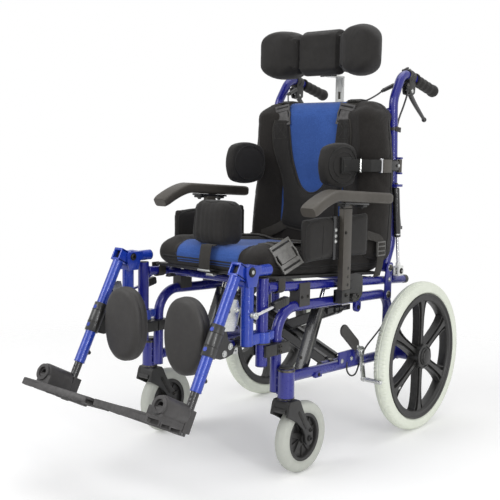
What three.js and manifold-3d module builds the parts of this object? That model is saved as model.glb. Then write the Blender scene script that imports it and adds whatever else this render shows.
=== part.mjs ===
// Tilt in space wheelchair: a rolling base, a tilting seat frame, a reclining back and two legrests.
// Millimetres, +Z up. The chair faces -Y and +X is its user's left. Sizes are measured from the
// rear axle, at y = 0 and z = 0 on the floor, and the whole chair is centred at the end.
import * as THREE from 'three';
import { mergeVertices } from 'three/addons/utils/BufferGeometryUtils.js';
import Module from 'manifold-3d';

const wasm = await Module();
wasm.setup();

const DEG = Math.PI / 180;
const TAU = Math.PI * 2;
const RIGHT_ANGLE = Math.PI / 2;

// Clearances shared by every fit
const touch = 0.3; // between pieces that rest on each other
const running = 0.5; // between a shaft and its bore
const overrun = 4; // how far a cut runs past its face

// Round sections
const fineSides = 12;
const plainSides = 10;
const smallSides = 6;
const wheelSides = 24;
const casterSides = 20;

// Colours from the photograph
const paint = (name, color, roughness, metalness) => {
  const material = new THREE.MeshStandardMaterial({ color, roughness, metalness });
  material.name = name;
  return material;
};
const finishes = {
  blue: () => paint('frame_blue', 0x2438a8, 0.3, 0.4),
  black: () => paint('black_steel', 0x1c1c1e, 0.45, 0.3),
  plastic: () => paint('black_plastic', 0x2a2a2b, 0.55, 0),
  chrome: () => paint('bright_steel', 0xc8c8cc, 0.2, 1),
  tyre: () => paint('pale_rubber', 0xc9cdc0, 0.8, 0),
  casterTyre: () => paint('grey_rubber', 0xa9aca3, 0.75, 0),
  brown: () => paint('arm_grey_brown', 0x504c44, 0.6, 0.1),
  fabric: () => paint('black_fabric', 0x2d2a28, 0.95, 0),
  blueFabric: () => paint('blue_fabric', 0x42609f, 0.95, 0),
  webbing: () => paint('webbing', 0x262422, 0.9, 0),
};

// Base frame
const tubeD = 25; // frame tube
const frameX = 191; // centre plane of a side frame
const frontY = -534; // front downtube
const frontFootZ = 195; // its lower end
const topFrontZ = 386; // upper tube where it leaves the front bend
const topRearZ = 369; // upper tube at the rear bend
const rearY = -57; // rear downtube
const rearFootZ = 170; // its lower end
const frontBendR = 62;
const rearBendR = 46;
const lowerFrontZ = 221; // lower tube at the front downtube
const lowerRearZ = 203; // lower tube at the rear downtube
const bendSteps = 4;

// Rear wheels
const wheelR = 200;
const wheelOut = 65;
const wheelX = frameX + wheelOut;
const tyreW = 35;
const tyreDepth = 31;
const rimR = wheelR - tyreDepth;
const rimDepth = 22;
const rimInnerR = rimR - rimDepth;
const rimW = 34;
const rimGroove = 6; // depth of the channel that holds the tyre
const hubR = 33;
const hubOut = 33;
const hubOuterX = wheelX + hubOut;
const hubIn = 16;
const hubInnerX = wheelX - hubIn;
const capR = 21;
const capProud = 5;
const spokes = 6;
const spokeW = 27;
const spokeT = 22;
const spokeRibW = 8;
const spokeRibT = 6;
const axleR = 6;
const axlePlateT = 8;
const axleBossR = 17;
const bossIn = 24;
const axleBossX = wheelX - bossIn; // where the axle sleeve ends, against the hub

// Casters
const casterOut = 31;
const casterX = frameX + casterOut;
const casterTrail = 59;
const casterY = frontY + casterTrail;
const casterR = 83.5;
const casterW = 32;
const casterRimR = 56;
const casterRimW = 24;
const casterHubR = 15;
const casterSpokes = 5;
const casterWebT = 8;
const casterBoltR = 4;
const stemY = frontY;
const stemR = 8;
const stemCapR = 17;
const stemCapH = 5;
const housingD = 38;
const forkRoom = 16; // between the caster's top and its housing
const housingLowZ = casterR * 2 + forkRoom;
const housingTopZ = 254;
const crownH = 22;
const legT = 7;
const legTipR = 13;
const boltHeadR = 8;
const boltHeadH = 4;

// Cross brace
const braceY = -262; // middle of the two crossed pairs
const bracePitchY = 46; // between the front and the rear bar of a pair
const braceBarW = 26;
const braceBarT = 14;
const braceIn = 26;
const braceFootX = frameX - braceIn;
const braceHeadZ = 348;
const braceTubeD = 20;
const braceTubeFrontY = -322;
const braceTubeRearY = -165;
const braceCapL = 8;

// Tilt
const pivotY = -84;
const pivotZ = 370;
const pivotPinR = 5;
const pivotPlateW = 30;
const pivotPlateT = 5;
const strutIn = 31;
const strutX = frameX - strutIn;
const strutFootY = -397;
const strutFootZ = 214;
const strutHeadY = -306;
const strutHeadZ = 412;
const strutW = 25;
const strutCylL = 172;
const strutRodR = 5;
const strutEyeR = 9;
const strutEyeW = 10;
const lugT = 5;

// Parking brake
const brakeOut = 25;
const brakeX = frameX + brakeOut;
const brakeY = -219;
const brakeZ = 240;
const brakeShoeZ = 166;
const brakeShoeR = 4.5;
const brakeShoeReach = 54;
const brakeShoeGap = 1.2;
const brakeHandleY = -297;
const brakeHandleZ = 305;
const brakeHandleW = 30;
const brakeHandleT = 6;
const brakeArmT = 5;
const brakeArmW = 14;
const brakePinR = 4;
const brakeBracketT = 5;
const brakeBracketFrontY = -296;
const brakeBracketRearY = -202;

// Seat frame
const railD = 22;
const postAhead = 52; // the seat post stands this far in front of the downtube
const railFrontY = frontY - postAhead;
const railFrontZ = 439;
const railRearY = 24;
const railRearZ = 399;
const railCapL = 9;
const postD = 27;
const postTopZ = 462;
const postFootZ = 263;
const crossTubeD = 20;
const crossTubeYs = [-500, -135];
const gussetL = 48;
const gussetT = 5;
const gussetDrop = 44;
const boardT = 11;
const boardBehind = 20;
const boardFrontY = railFrontY + boardBehind;
const boardRearY = -98;
const boardIn = 7;
const boardHalfX = frameX - boardIn;
const boardLip = 16;
const boardLipT = 6;
const saddleY = -448;
const saddleL = 40;
const saddleW = 30;
const saddleCup = 8; // how far a saddle reaches up beside the rail
const dockZ = 286;
const dockH = 26;
const dockWall = 7;
const dockGap = 0.8; // between the dock and the post
const bandL = 9;
const bandWall = 3;

// Recline hinge and gas spring
const hingeY = -78;
const hingeZ = 440;
const hingeR = 12.5;
const hingePinR = 5;
const earT = 5;
const earHalfY = 14;
const springOut = 23;
const springX = frameX + springOut;
const springFootY = -46;
const springFootZ = 430;
const springHeadY = -72;
const springHeadZ = 650;
const springCylR = 9;
const springCylL = 130;
const springRodR = 4.5;
const springBlockL = 26;
const springBlockW = 18;
const springBush = 4; // play round the spring's foot pin, which the back's swing takes up

// Back frame
const caneD = 24;
const caneX = frameX;
const caneY = -50; // back face line of the canes at mid height
const caneKneeZ = 640;
const caneTopY = -62;
const caneTopZ = 876;
const handleY = -14; // where the line of the grip meets the line of the cane
const gripFrontY = 48;
const gripFrontZ = 938;
const gripEndY = 150;
const gripEndZ = 914;
const gripD = 31;
const gripIn = 4;
const gripX = frameX - gripIn;
const backTubeD = 18;
const backTubeZs = [520, 690, 846];
const handleBendR = 45;
const caneBendR = 200;
const lowerCaneBendR = 60;
const leverPivotY = 22;
const leverPivotZ = 905;
const leverTipY = 110;
const leverTipZ = 833;
const leverBallR = 7;
const leverT = 8;
const leverW = 11;
const leverHousingL = 34;
const leverHousingH = 22;
const leverClampR = 16;
const leverPinR = 3;
const cableR = 2.5;
const cableOut = 22; // from the cane's centre line to the cable beside it
const cableBehind = 23;

// Headrest
const stalkY = -30;
const stalkW = 26;
const stalkT = 5;
const stalkLowZ = 790;
const stalkTopZ = 948;
const stalkSlotW = 8;
const stalkSlotL = 54;
const stalkForkL = 70;
const bracketT = 6;
const bracketH = 46;
const bracketW = 46;
const headCentreHalfX = 66;
const headCentreY = -112;
const headZ = 1003;
const headH = 134;
const headT = 46;
const wingTipX = 190;
const wingTipY = -158;
const wingH = 140;

// Cushions
const seatIn = 4;
const seatHalfX = frameX - seatIn;
const cushionAhead = 6;
const seatFrontY = railFrontY - cushionAhead;
const seatRearY = -132;
const seatT = 62;
const seatBolster = 15;
const seatDip = 6;
const seatCornerShare = 0.1; // how much the seat cushion narrows at its front corners
const backOut = 12;
const backHalfX = frameX + backOut;
const backT = 74;
const backLowZ = 507;
const backTopZ = 872;
const backFaceY = -150;
const backBolster = 26;
const sidePadT = 20;
const sidePadFrontY = -466;
const sidePadRearY = -190;
const sidePadLowZ = 480;
const sidePadTopZ = 592;
const pommelY = -528;
const pommelW = 118;
const pommelD = 78;
const pommelH = 108;
const pommelStrapW = 34;
const pommelStrapT = 3;
const lateralIn = 41;
const lateralX = frameX - lateralIn;
const lateralY = -233;
const lateralZ = 707;
const lateralW = 112;
const lateralH = 114;
const lateralT = 32;
const lateralPlateT = 4;
const lateralPlateW = 40;
const lateralPlateH = 34;
const lateralArmR = 6;
const lateralClampL = 34;
const lateralSwingX = caneX + caneD / 2 + touch + lateralArmR; // the upright pin it swings on

// Armrests
const armOut = 46;
const armX = frameX + armOut;
const armPostOut = 31;
const armPostX = frameX + armPostOut;
const armPostY = -314;
const armPostW = 34;
const armPostT = 15;
const armPostWall = 2.6;
const armPostLowZ = 409;
const armPostTopZ = 607;
const armBladeTopZ = 520;
const armPadW = 46;
const armPadT = 27;
const armRearY = -156;
const armRearZ = 626;
const armBendY = -424;
const armBendZ = 641;
const armTipY = -487;
const armTipZ = 606;
const armPlateT = 5;
const socketLowZ = 376;
const socketL = 118;
const socketT = 8;
const socketKnobR = 11;
const socketKnobH = 10;

// Pelvic belt
const beltW = 38;
const beltT = 3;
const beltBend = 14;
const beltBendY = armPostY + beltBend;
const beltReach = 126;
const beltFrontY = armPostY - beltReach;
const beltRightReach = 6;
const beltRightEndY = armPostY - beltRightReach;
const buckleReach = 178;
const buckleY = armPostY - buckleReach;
// Chest harness
const harnessW = 46;
const harnessT = 5;
const strapTopX = 104; // centre line of a strap at the shoulder buckle
const strapChestX = 100;
const strapRibX = 84;
const strapBibX = 64;
const strapEndX = 58;
const strapChestDrop = 92; // below the cushion's top
const strapRibDrop = 172;
const strapBibDrop = 222;
const strapEndDrop = 262;
const bibHalfW = 96;
const bibTopDrop = 204; // below the cushion's top
const bibH = 144;

// Legrests
const legAngle = 27.7 * DEG; // between a legrest at rest and the vertical
const hangerD = 28;
const hangerAhead = 51;
const hangerY = railFrontY - hangerAhead;
const hangerLowZ = 316;
const hangerArmZ = 478;
const hangerArmD = 25;
const hangerArmPast = 21;
const hangerArmRearY = railFrontY + hangerArmPast;
const hangerCheekT = 5;
const hangerCheekW = 40;
const pivotAhead = 4;
const legPivotY = hangerY - pivotAhead;
const calfX = 98;
const calfAhead = 86.5;
const calfY = legPivotY - calfAhead;
const calfZ = 338;
const calfW = 118;
const calfH = 172;
const calfT = 37;
const legPivotZ = 480;
const legPivotR = 14;
const legPivotPinR = 5;
const knuckleW = 28;
const legOffset = 24; // the leg tube lies this far in front of its pivot
const legIn = 4.5;
const legX = frameX - legIn; // the leg tube clears the hanger's inner cheek
const cheekIn = 4;
const cheekX = frameX - cheekIn; // middle of the two cheeks
const legTubeD = 25;
const legTubeTop = 12;
const legTubeL = 279;
const legInnerD = 19;
const innerBelow = 93;
const legInnerEnd = legTubeL + innerBelow;
const legInnerStop = 17; // from the bore's end to the inner tube's top
const legTubeWall = 2.6;
const sleeveTop = 133;
const sleeveL = 70;
const sleeveD = 32;
const sidePlateT = 6;
const sidePlateReach = 48;
const quadrantT = 4;
const quadrantR = 58;
const collarZ = 330;
const collarH = 24;
const collarWall = 5;
const collarGap = 1; // round the post, which the hanger swings about
const releaseZ = 386;
const releaseRise = 5; // how much higher the grip's root and then its tip lie
const releaseRodR = 4;
const releaseGripR = 8;
const releaseGripL = 44;

// Footplates, in the leg's own frame: down the leg and square to it
const barrelBelow = 51; // from the outer tube's end to the barrel
const barrelDrop = legTubeL + barrelBelow;
const barrelR = 22;
const barrelL = 84;
const barrelStart = 30; // in front of the leg pivot line
const barrelPinR = 7;
const socketBlockL = 60;
const socketBlockH = 58;
const socketBlockW = 38;
const plateT = 16;
const plateBelow = 32;
const plateDrop = barrelDrop + plateBelow;
const plateFront = 148;
const plateRear = -14;
const plateInnerX = 6;
const plateHeelX = 146; // the heel's inner edge, clear of the calf pad when the plate is folded up
const plateRib = 8;

const v3 = (x, y, z) => new THREE.Vector3(x, y, z);

// A run of straight tube with round bends: its stations lie at the ends of each straight and along
// each bend, so no ring is spent on the straights.
class BentRun extends THREE.Curve {
  constructor(corners, bendRadii, steps = bendSteps) {
    super();
    this.stations = [];
    this.tangents = [];
    const add = (point, tangent) => {
      this.stations.push(point);
      this.tangents.push(tangent);
    };
    const first = corners[1].clone().sub(corners[0]).normalize();
    add(corners[0].clone(), first);
    for (let i = 1; i < corners.length - 1; i += 1) {
      const before = corners[i].clone().sub(corners[i - 1]).normalize();
      const after = corners[i + 1].clone().sub(corners[i]).normalize();
      const turn = before.angleTo(after);
      const radius = bendRadii[i - 1];
      const inset = radius * Math.tan(turn / 2);
      const start = corners[i].clone().addScaledVector(before, -inset);
      const inward = after.clone().addScaledVector(before, -Math.cos(turn)).normalize();
      const centre = start.clone().addScaledVector(inward, radius);
      for (let step = 0; step <= steps; step += 1) {
        const angle = turn * step / steps;
        const point = centre.clone()
          .addScaledVector(before, radius * Math.sin(angle))
          .addScaledVector(inward, -radius * Math.cos(angle));
        const tangent = before.clone().multiplyScalar(Math.cos(angle))
          .addScaledVector(inward, Math.sin(angle));
        add(point, tangent);
      }
    }
    const last = corners[corners.length - 1];
    add(last.clone(), last.clone().sub(corners[corners.length - 2]).normalize());
  }

  get steps() {
    return this.stations.length - 1;
  }

  getPoint(t) {
    return this.stations[Math.round(t * this.steps)].clone();
  }

  getPointAt(u) {
    return this.getPoint(u);
  }

  getTangentAt(u) {
    return this.tangents[Math.round(u * this.steps)].clone();
  }
}

// Solids: closed geometries as manifolds, so that they can be joined and cut
const solid = (geometry) => {
  const bare = geometry.clone();
  bare.deleteAttribute('normal');
  bare.deleteAttribute('uv');
  const merged = mergeVertices(bare, 1e-4);
  return new wasm.Manifold(new wasm.Mesh({
    numProp: 3,
    vertProperties: new Float32Array(merged.attributes.position.array),
    triVerts: new Uint32Array(merged.index.array),
  }));
};

const joined = (...pieces) => pieces.reduce((whole, piece) => whole.add(piece));

const geometryOf = (manifold) => {
  const mesh = manifold.getMesh();
  const geometry = new THREE.BufferGeometry();
  geometry.setAttribute('position', new THREE.BufferAttribute(Float32Array.from(mesh.vertProperties), 3));
  geometry.setIndex(Array.from(mesh.triVerts));
  return geometry;
};

// The other side's copy of a geometry, mirrored across x = 0 with its faces turned outward again
const mirrored = (geometry) => {
  const copy = geometry.clone();
  copy.scale(-1, 1, 1);
  const corners = copy.index.array;
  for (let i = 0; i < corners.length; i += 3) {
    const first = corners[i];
    corners[i] = corners[i + 1];
    corners[i + 1] = first;
  }
  return copy;
};

const polygon = (radius, sides) => Array.from({ length: sides }, (_, i) => {
  const angle = TAU * i / sides;
  return new THREE.Vector2(radius * Math.cos(angle), radius * Math.sin(angle));
});

const tube = (corners, diameter, bendRadii = [], sides = fineSides, steps = bendSteps) => {
  const run = new BentRun(corners, bendRadii, steps);
  return solid(new THREE.ExtrudeGeometry(new THREE.Shape(polygon(diameter / 2, sides)), {
    steps: run.steps, extrudePath: run, bevelEnabled: false,
  }));
};

// A straight round bar from one point to another
const bar = (from, to, radius, sides = fineSides, endRadius = radius) => {
  const length = from.distanceTo(to);
  const geometry = new THREE.CylinderGeometry(endRadius, radius, length, sides);
  const turn = new THREE.Quaternion().setFromUnitVectors(v3(0, 1, 0), to.clone().sub(from).normalize());
  geometry.applyQuaternion(turn);
  const middle = from.clone().add(to).multiplyScalar(0.5);
  geometry.translate(middle.x, middle.y, middle.z);
  return solid(geometry);
};

const block = (x0, x1, y0, y1, z0, z1) => {
  const geometry = new THREE.BoxGeometry(x1 - x0, y1 - y0, z1 - z0);
  geometry.translate((x0 + x1) / 2, (y0 + y1) / 2, (z0 + z1) / 2);
  return solid(geometry);
};

// A flat bar of rectangular section from one point to another in a plane of constant x
const flatBarYZ = (from, to, width, thickness) => {
  const length = from.distanceTo(to);
  const geometry = new THREE.BoxGeometry(thickness, length, width);
  geometry.rotateX(Math.atan2(to.z - from.z, to.y - from.y));
  const middle = from.clone().add(to).multiplyScalar(0.5);
  geometry.translate(middle.x, middle.y, middle.z);
  return solid(geometry);
};

// The same in a plane of constant y
const flatBarXZ = (from, to, width, thickness) => {
  const length = from.distanceTo(to);
  const geometry = new THREE.BoxGeometry(length, thickness, width);
  geometry.rotateY(-Math.atan2(to.z - from.z, to.x - from.x));
  const middle = from.clone().add(to).multiplyScalar(0.5);
  geometry.translate(middle.x, middle.y, middle.z);
  return solid(geometry);
};

// A plate whose outline is drawn in y and z, from x0 to x1
const plateYZ = (outline, x0, x1) => {
  const shape = new THREE.Shape(outline.map(([y, z]) => new THREE.Vector2(y, z)));
  const geometry = new THREE.ExtrudeGeometry(shape, { depth: x1 - x0, bevelEnabled: false });
  const axes = new THREE.Matrix4().makeBasis(v3(0, 1, 0), v3(0, 0, 1), v3(1, 0, 0));
  geometry.applyMatrix4(axes);
  geometry.translate(x0, 0, 0);
  return solid(geometry);
};

// A stadium outline between two round ends, in y and z
const stadiumYZ = (from, to, radius, arcSteps = 5) => {
  const along = Math.atan2(to.z - from.z, to.y - from.y);
  const arc = (centre, start) => Array.from({ length: arcSteps + 1 }, (_, i) => {
    const angle = start + Math.PI * i / arcSteps;
    return [centre.y + radius * Math.cos(angle), centre.z + radius * Math.sin(angle)];
  });
  return [...arc(to, along - RIGHT_ANGLE), ...arc(from, along + RIGHT_ANGLE)];
};

// A solid of revolution about the x axis through a point; the profile is [radius, x] pairs
const turnedX = (profile, y, z, sides) => {
  const points = profile.map(([radius, x]) => new THREE.Vector2(radius, x));
  const geometry = new THREE.LatheGeometry(points, sides);
  geometry.applyMatrix4(new THREE.Matrix4().makeBasis(v3(0, 1, 0), v3(1, 0, 0), v3(0, 0, -1)));
  geometry.translate(0, y, z);
  return solid(geometry);
};

// A block with rounded edges whose vertices a function then moves, for cushions and pads
const pillow = (size, counts, round, reshape = (p) => p) => {
  const half = size.map((side) => side / 2);
  const geometry = new THREE.BoxGeometry(...size, ...counts);
  geometry.deleteAttribute('normal');
  geometry.deleteAttribute('uv');
  const merged = mergeVertices(geometry, 1e-3);
  const places = merged.attributes.position;
  const point = new THREE.Vector3();
  const inner = new THREE.Vector3();
  for (let i = 0; i < places.count; i += 1) {
    point.fromBufferAttribute(places, i);
    inner.set(
      THREE.MathUtils.clamp(point.x, round - half[0], half[0] - round),
      THREE.MathUtils.clamp(point.y, round - half[1], half[1] - round),
      THREE.MathUtils.clamp(point.z, round - half[2], half[2] - round),
    );
    const out = point.clone().sub(inner);
    if (out.length() > 0) {
      point.copy(inner).addScaledVector(out.normalize(), round);
    }
    const moved = reshape(point.clone(), point.x / half[0], point.y / half[1], point.z / half[2]);
    places.setXYZ(i, moved.x, moved.y, moved.z);
  }
  return merged;
};

// A flat strap along a list of points, with its width along a given direction at each point
const ribbon = (points, across, width, thickness) => {
  const corners = [];
  const tangentAt = (i) => {
    const before = points[Math.max(i - 1, 0)];
    const after = points[Math.min(i + 1, points.length - 1)];
    return after.clone().sub(before).normalize();
  };
  points.forEach((point, i) => {
    const side = (Array.isArray(across) ? across[i] : across).clone().normalize();
    const flat = new THREE.Vector3().crossVectors(tangentAt(i), side).normalize();
    const square = new THREE.Vector3().crossVectors(flat, tangentAt(i)).normalize();
    for (const [w, t] of [[-1, -1], [1, -1], [1, 1], [-1, 1]]) {
      corners.push(point.clone().addScaledVector(square, w * width / 2)
        .addScaledVector(flat, t * thickness / 2));
    }
  });
  const faces = [0, 1, 2, 0, 2, 3];
  for (let i = 0; i < points.length - 1; i += 1) {
    for (let k = 0; k < 4; k += 1) {
      const a = 4 * i + k;
      const b = 4 * i + (k + 1) % 4;
      faces.push(a, a + 4, b, b, a + 4, b + 4);
    }
  }
  const end = 4 * (points.length - 1);
  faces.push(end, end + 2, end + 1, end, end + 3, end + 2);
  const geometry = new THREE.BufferGeometry();
  const flatCorners = corners.flatMap((corner) => [corner.x, corner.y, corner.z]);
  geometry.setAttribute('position', new THREE.BufferAttribute(new Float32Array(flatCorners), 3));
  geometry.setIndex(faces);
  const whole = solid(geometry);
  if (whole.volume() > 0) {
    return whole;
  }
  const turned = geometry.index.array;
  for (let i = 0; i < turned.length; i += 3) {
    const first = turned[i];
    turned[i] = turned[i + 1];
    turned[i + 1] = first;
  }
  return solid(geometry);
};

const chair = new THREE.Group();

// Adds one named mesh to a group
const put = (group, name, geometry, material) => {
  const mesh = new THREE.Mesh(geometry, material);
  mesh.name = name;
  group.add(mesh);
  return mesh;
};

// Adds a left mesh and its mirrored right twin
const putPair = (group, name, manifold, finish) => {
  const geometry = geometryOf(manifold);
  put(group, `${name}_left`, geometry, finish());
  put(group, `${name}_right`, mirrored(geometry), finish());
};

const lineZ = (y, y0, z0, y1, z1) => z0 + (z1 - z0) * (y - y0) / (y1 - y0);
const topTubeZ = (y) => lineZ(y, frontY, topFrontZ, rearY, topRearZ);
const lowerTubeZ = (y) => lineZ(y, frontY, lowerFrontZ, rearY, lowerRearZ);
const railZ = (y) => lineZ(y, railFrontY, railFrontZ, railRearY, railRearZ);
const railSlope = Math.atan2(railRearZ - railFrontZ, railRearY - railFrontY);

const baseFrame = () => {
  const hoop = tube([
    v3(frameX, frontY, frontFootZ),
    v3(frameX, frontY, topTubeZ(frontY)),
    v3(frameX, rearY, topTubeZ(rearY)),
    v3(frameX, rearY, rearFootZ),
  ], tubeD, [frontBendR, rearBendR]);
  const lower = tube([v3(frameX, frontY, lowerTubeZ(frontY)), v3(frameX, rearY, lowerTubeZ(rearY))], tubeD);
  const housingX0 = casterX;
  const housing = bar(v3(housingX0, stemY, housingLowZ), v3(housingX0, stemY, housingTopZ), housingD / 2);
  const housingBore = bar(
    v3(housingX0, stemY, housingLowZ - overrun),
    v3(housingX0, stemY, housingTopZ + overrun),
    stemR + running,
  );
  const lowerReach = tubeD / 2;
  const axlePlate = plateYZ([
    [rearY - lowerReach, rearFootZ],
    [rearY + lowerReach, rearFootZ],
    [axleBossR, wheelR - axleBossR],
    [axleBossR, wheelR + axleBossR],
    [rearY + lowerReach, wheelR + tubeD * 3],
    [rearY, wheelR + tubeD * 3],
  ], frameX - axlePlateT / 2, frameX + axlePlateT / 2);
  const sleeve = bar(v3(frameX, 0, wheelR), v3(axleBossX, 0, wheelR), axleBossR, fineSides);
  const axle = bar(v3(frameX, 0, wheelR), v3(hubOuterX - capProud, 0, wheelR), axleR, plainSides);
  const braceTube = tube([
    v3(braceFootX, braceTubeFrontY, lowerTubeZ(braceTubeFrontY)),
    v3(braceFootX, braceTubeRearY, lowerTubeZ(braceTubeRearY)),
  ], braceTubeD, [], plainSides);
  const braceStays = [braceTubeFrontY + braceTubeD, braceTubeRearY - braceTubeD].map((y) => block(
    braceFootX, frameX, y - lugT, y + lugT, lowerTubeZ(y) - lugT, lowerTubeZ(y) + lugT,
  ));
  const bracketLow = lowerTubeZ(brakeBracketFrontY);
  const brakeBracket = plateYZ([
    [brakeBracketFrontY, bracketLow],
    [brakeBracketRearY, lowerTubeZ(brakeBracketRearY)],
    [brakeBracketRearY, brakeZ - brakeArmW / 2],
    [brakeY + brakeArmW / 2, brakeZ + brakeArmW / 2],
    [brakeBracketFrontY, brakeZ + brakeArmW / 2],
  ], frameX + tubeD / 2 - brakeBracketT, frameX + tubeD / 2);
  const brakePin = bar(
    v3(frameX + tubeD / 2 - brakeBracketT, brakeY, brakeZ),
    v3(brakeX + brakeArmT / 2 + brakePinR, brakeY, brakeZ),
    brakePinR, plainSides,
  );
  const strutPin = bar(
    v3(strutX - strutW / 2 - lugT, strutFootY, strutFootZ), v3(frameX, strutFootY, strutFootZ),
    strutRodR, plainSides,
  );
  const strutPinHead = bar(
    v3(strutX - strutW / 2 - lugT, strutFootY, strutFootZ),
    v3(strutX - strutW / 2 - touch, strutFootY, strutFootZ), boltHeadR, smallSides,
  );
  const earY = strutHeadY + tubeD * 4;
  const ear = plateYZ(stadiumYZ(
    v3(0, earY, topTubeZ(earY)), v3(0, earY, topTubeZ(earY) - tubeD), tubeD / 2,
  ), frameX - lugT, frameX + lugT);
  const pivotBore = bar(
    v3(frameX - tubeD, pivotY, pivotZ), v3(frameX + tubeD, pivotY, pivotZ),
    pivotPinR + running, plainSides,
  );
  return joined(
    hoop, lower, housing, axlePlate, sleeve, axle, braceTube, ...braceStays, brakeBracket, brakePin,
    strutPin, strutPinHead, ear, frontDock(),
  ).subtract(housingBore).subtract(pivotBore);
};

const crossBrace = () => {
  const barBetween = (y, side) => flatBarXZ(
    v3(side * braceFootX, y, lowerTubeZ(braceY)),
    v3(-side * braceFootX, y, braceHeadZ),
    braceBarW, braceBarT,
  );
  const bars = [-1, 1].flatMap((end) => [
    barBetween(braceY + end * bracePitchY / 2, 1),
    barBetween(braceY + end * (bracePitchY / 2 - braceBarT), -1),
  ]);
  const headRails = [-1, 1].map((side) => block(
    side * braceFootX - braceBarT / 2, side * braceFootX + braceBarT / 2,
    strutHeadY, strutHeadY + tubeD * 4,
    braceHeadZ - braceBarT / 2, braceHeadZ + braceBarT / 2,
  ));
  const bolt = bar(
    v3(0, braceY - bracePitchY / 2 - braceBarT, (lowerTubeZ(braceY) + braceHeadZ) / 2),
    v3(0, braceY + bracePitchY / 2 + braceBarT, (lowerTubeZ(braceY) + braceHeadZ) / 2),
    boltHeadR, plainSides,
  );
  const tubes = [-1, 1].map((side) => tube([
    v3(side * braceFootX, braceTubeFrontY - overrun, lowerTubeZ(braceTubeFrontY)),
    v3(side * braceFootX, braceTubeRearY + overrun, lowerTubeZ(braceTubeRearY)),
  ], braceTubeD + touch * 2, [], plainSides));
  return joined(...bars, ...headRails, bolt).subtract(tubes[0]).subtract(tubes[1]);
};

const rearTyre = () => {
  const half = tyreW / 2;
  const seat = rimR - rimGroove + touch;
  const rimLip = half - rimGroove;
  const crownR = wheelR;
  const shoulder = wheelR - half / 2;
  return turnedX([
    [seat, wheelX - rimLip], [rimR + touch, wheelX - rimLip], [rimR + rimGroove, wheelX - half],
    [shoulder, wheelX - half], [crownR - half / 6, wheelX - half / 1.6], [crownR, wheelX],
    [crownR - half / 6, wheelX + half / 1.6], [shoulder, wheelX + half],
    [rimR + rimGroove, wheelX + half], [rimR + touch, wheelX + rimLip], [seat, wheelX + rimLip],
    [seat, wheelX - rimLip],
  ], 0, wheelR, wheelSides);
};

const rearWheel = () => {
  const half = rimW / 2;
  const rimLip = tyreW / 2 - rimGroove + touch;
  const rim = turnedX([
    [rimInnerR, wheelX - half], [rimR, wheelX - half], [rimR, wheelX - rimLip],
    [rimR - rimGroove, wheelX - rimLip], [rimR - rimGroove, wheelX + rimLip], [rimR, wheelX + rimLip],
    [rimR, wheelX + half], [rimInnerR, wheelX + half], [rimInnerR, wheelX - half],
  ], 0, wheelR, wheelSides);
  const hub = turnedX([
    [0, hubInnerX], [hubR * 0.7, hubInnerX], [hubR, wheelX - spokeT / 2], [hubR, hubOuterX - capProud * 2],
    [capR + capProud, hubOuterX - capProud], [capR, hubOuterX - capProud], [capR * 0.8, hubOuterX],
    [0, hubOuterX],
  ], 0, wheelR, fineSides);
  const arms = Array.from({ length: spokes }, (_, i) => {
    const angle = RIGHT_ANGLE + TAU * i / spokes;
    const reach = (radius, x) => v3(x, radius * Math.cos(angle), wheelR + radius * Math.sin(angle));
    const outer = (rimInnerR + rimR - rimGroove) / 2;
    return [
      flatBarYZ(reach(hubR / 2, wheelX), reach(outer, wheelX), spokeW, spokeRibT),
      flatBarYZ(reach(hubR / 2, wheelX), reach(outer, wheelX), spokeRibW, spokeT),
    ];
  }).flat();
  const bore = bar(v3(hubInnerX - overrun, 0, wheelR), v3(hubOuterX - capProud + touch, 0, wheelR),
    axleR + running, plainSides);
  return joined(rim, hub, ...arms).subtract(bore);
};

const casterTyre = () => {
  const half = casterW / 2;
  const seat = casterRimR + touch;
  const lip = casterRimW / 2;
  return turnedX([
    [seat, casterX - lip], [casterRimR * 1.12, casterX - half], [casterR - half * 0.7, casterX - half],
    [casterR - half * 0.16, casterX - half * 0.62], [casterR, casterX],
    [casterR - half * 0.16, casterX + half * 0.62], [casterR - half * 0.7, casterX + half],
    [casterRimR * 1.12, casterX + half], [seat, casterX + lip], [seat, casterX - lip],
  ], casterY, casterR, casterSides);
};

const casterWheel = () => {
  const lip = casterRimW / 2;
  const rimInner = casterRimR * 0.84;
  const rim = turnedX([
    [rimInner, casterX - lip], [casterRimR, casterX - lip], [casterRimR, casterX + lip],
    [rimInner, casterX + lip], [rimInner, casterX - lip],
  ], casterY, casterR, casterSides);
  const hub = bar(v3(casterX - casterW / 2, casterY, casterR), v3(casterX + casterW / 2, casterY, casterR),
    casterHubR, fineSides);
  const arms = Array.from({ length: casterSpokes }, (_, i) => {
    const angle = RIGHT_ANGLE + TAU * i / casterSpokes;
    const reach = (radius) => v3(casterX, casterY + radius * Math.cos(angle),
      casterR + radius * Math.sin(angle));
    return flatBarYZ(reach(0), reach((rimInner + casterRimR) / 2), casterHubR, casterWebT);
  });
  const bore = bar(v3(casterX - casterW, casterY, casterR), v3(casterX + casterW, casterY, casterR),
    casterBoltR + running, plainSides);
  return joined(rim, hub, ...arms).subtract(bore);
};

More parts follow.
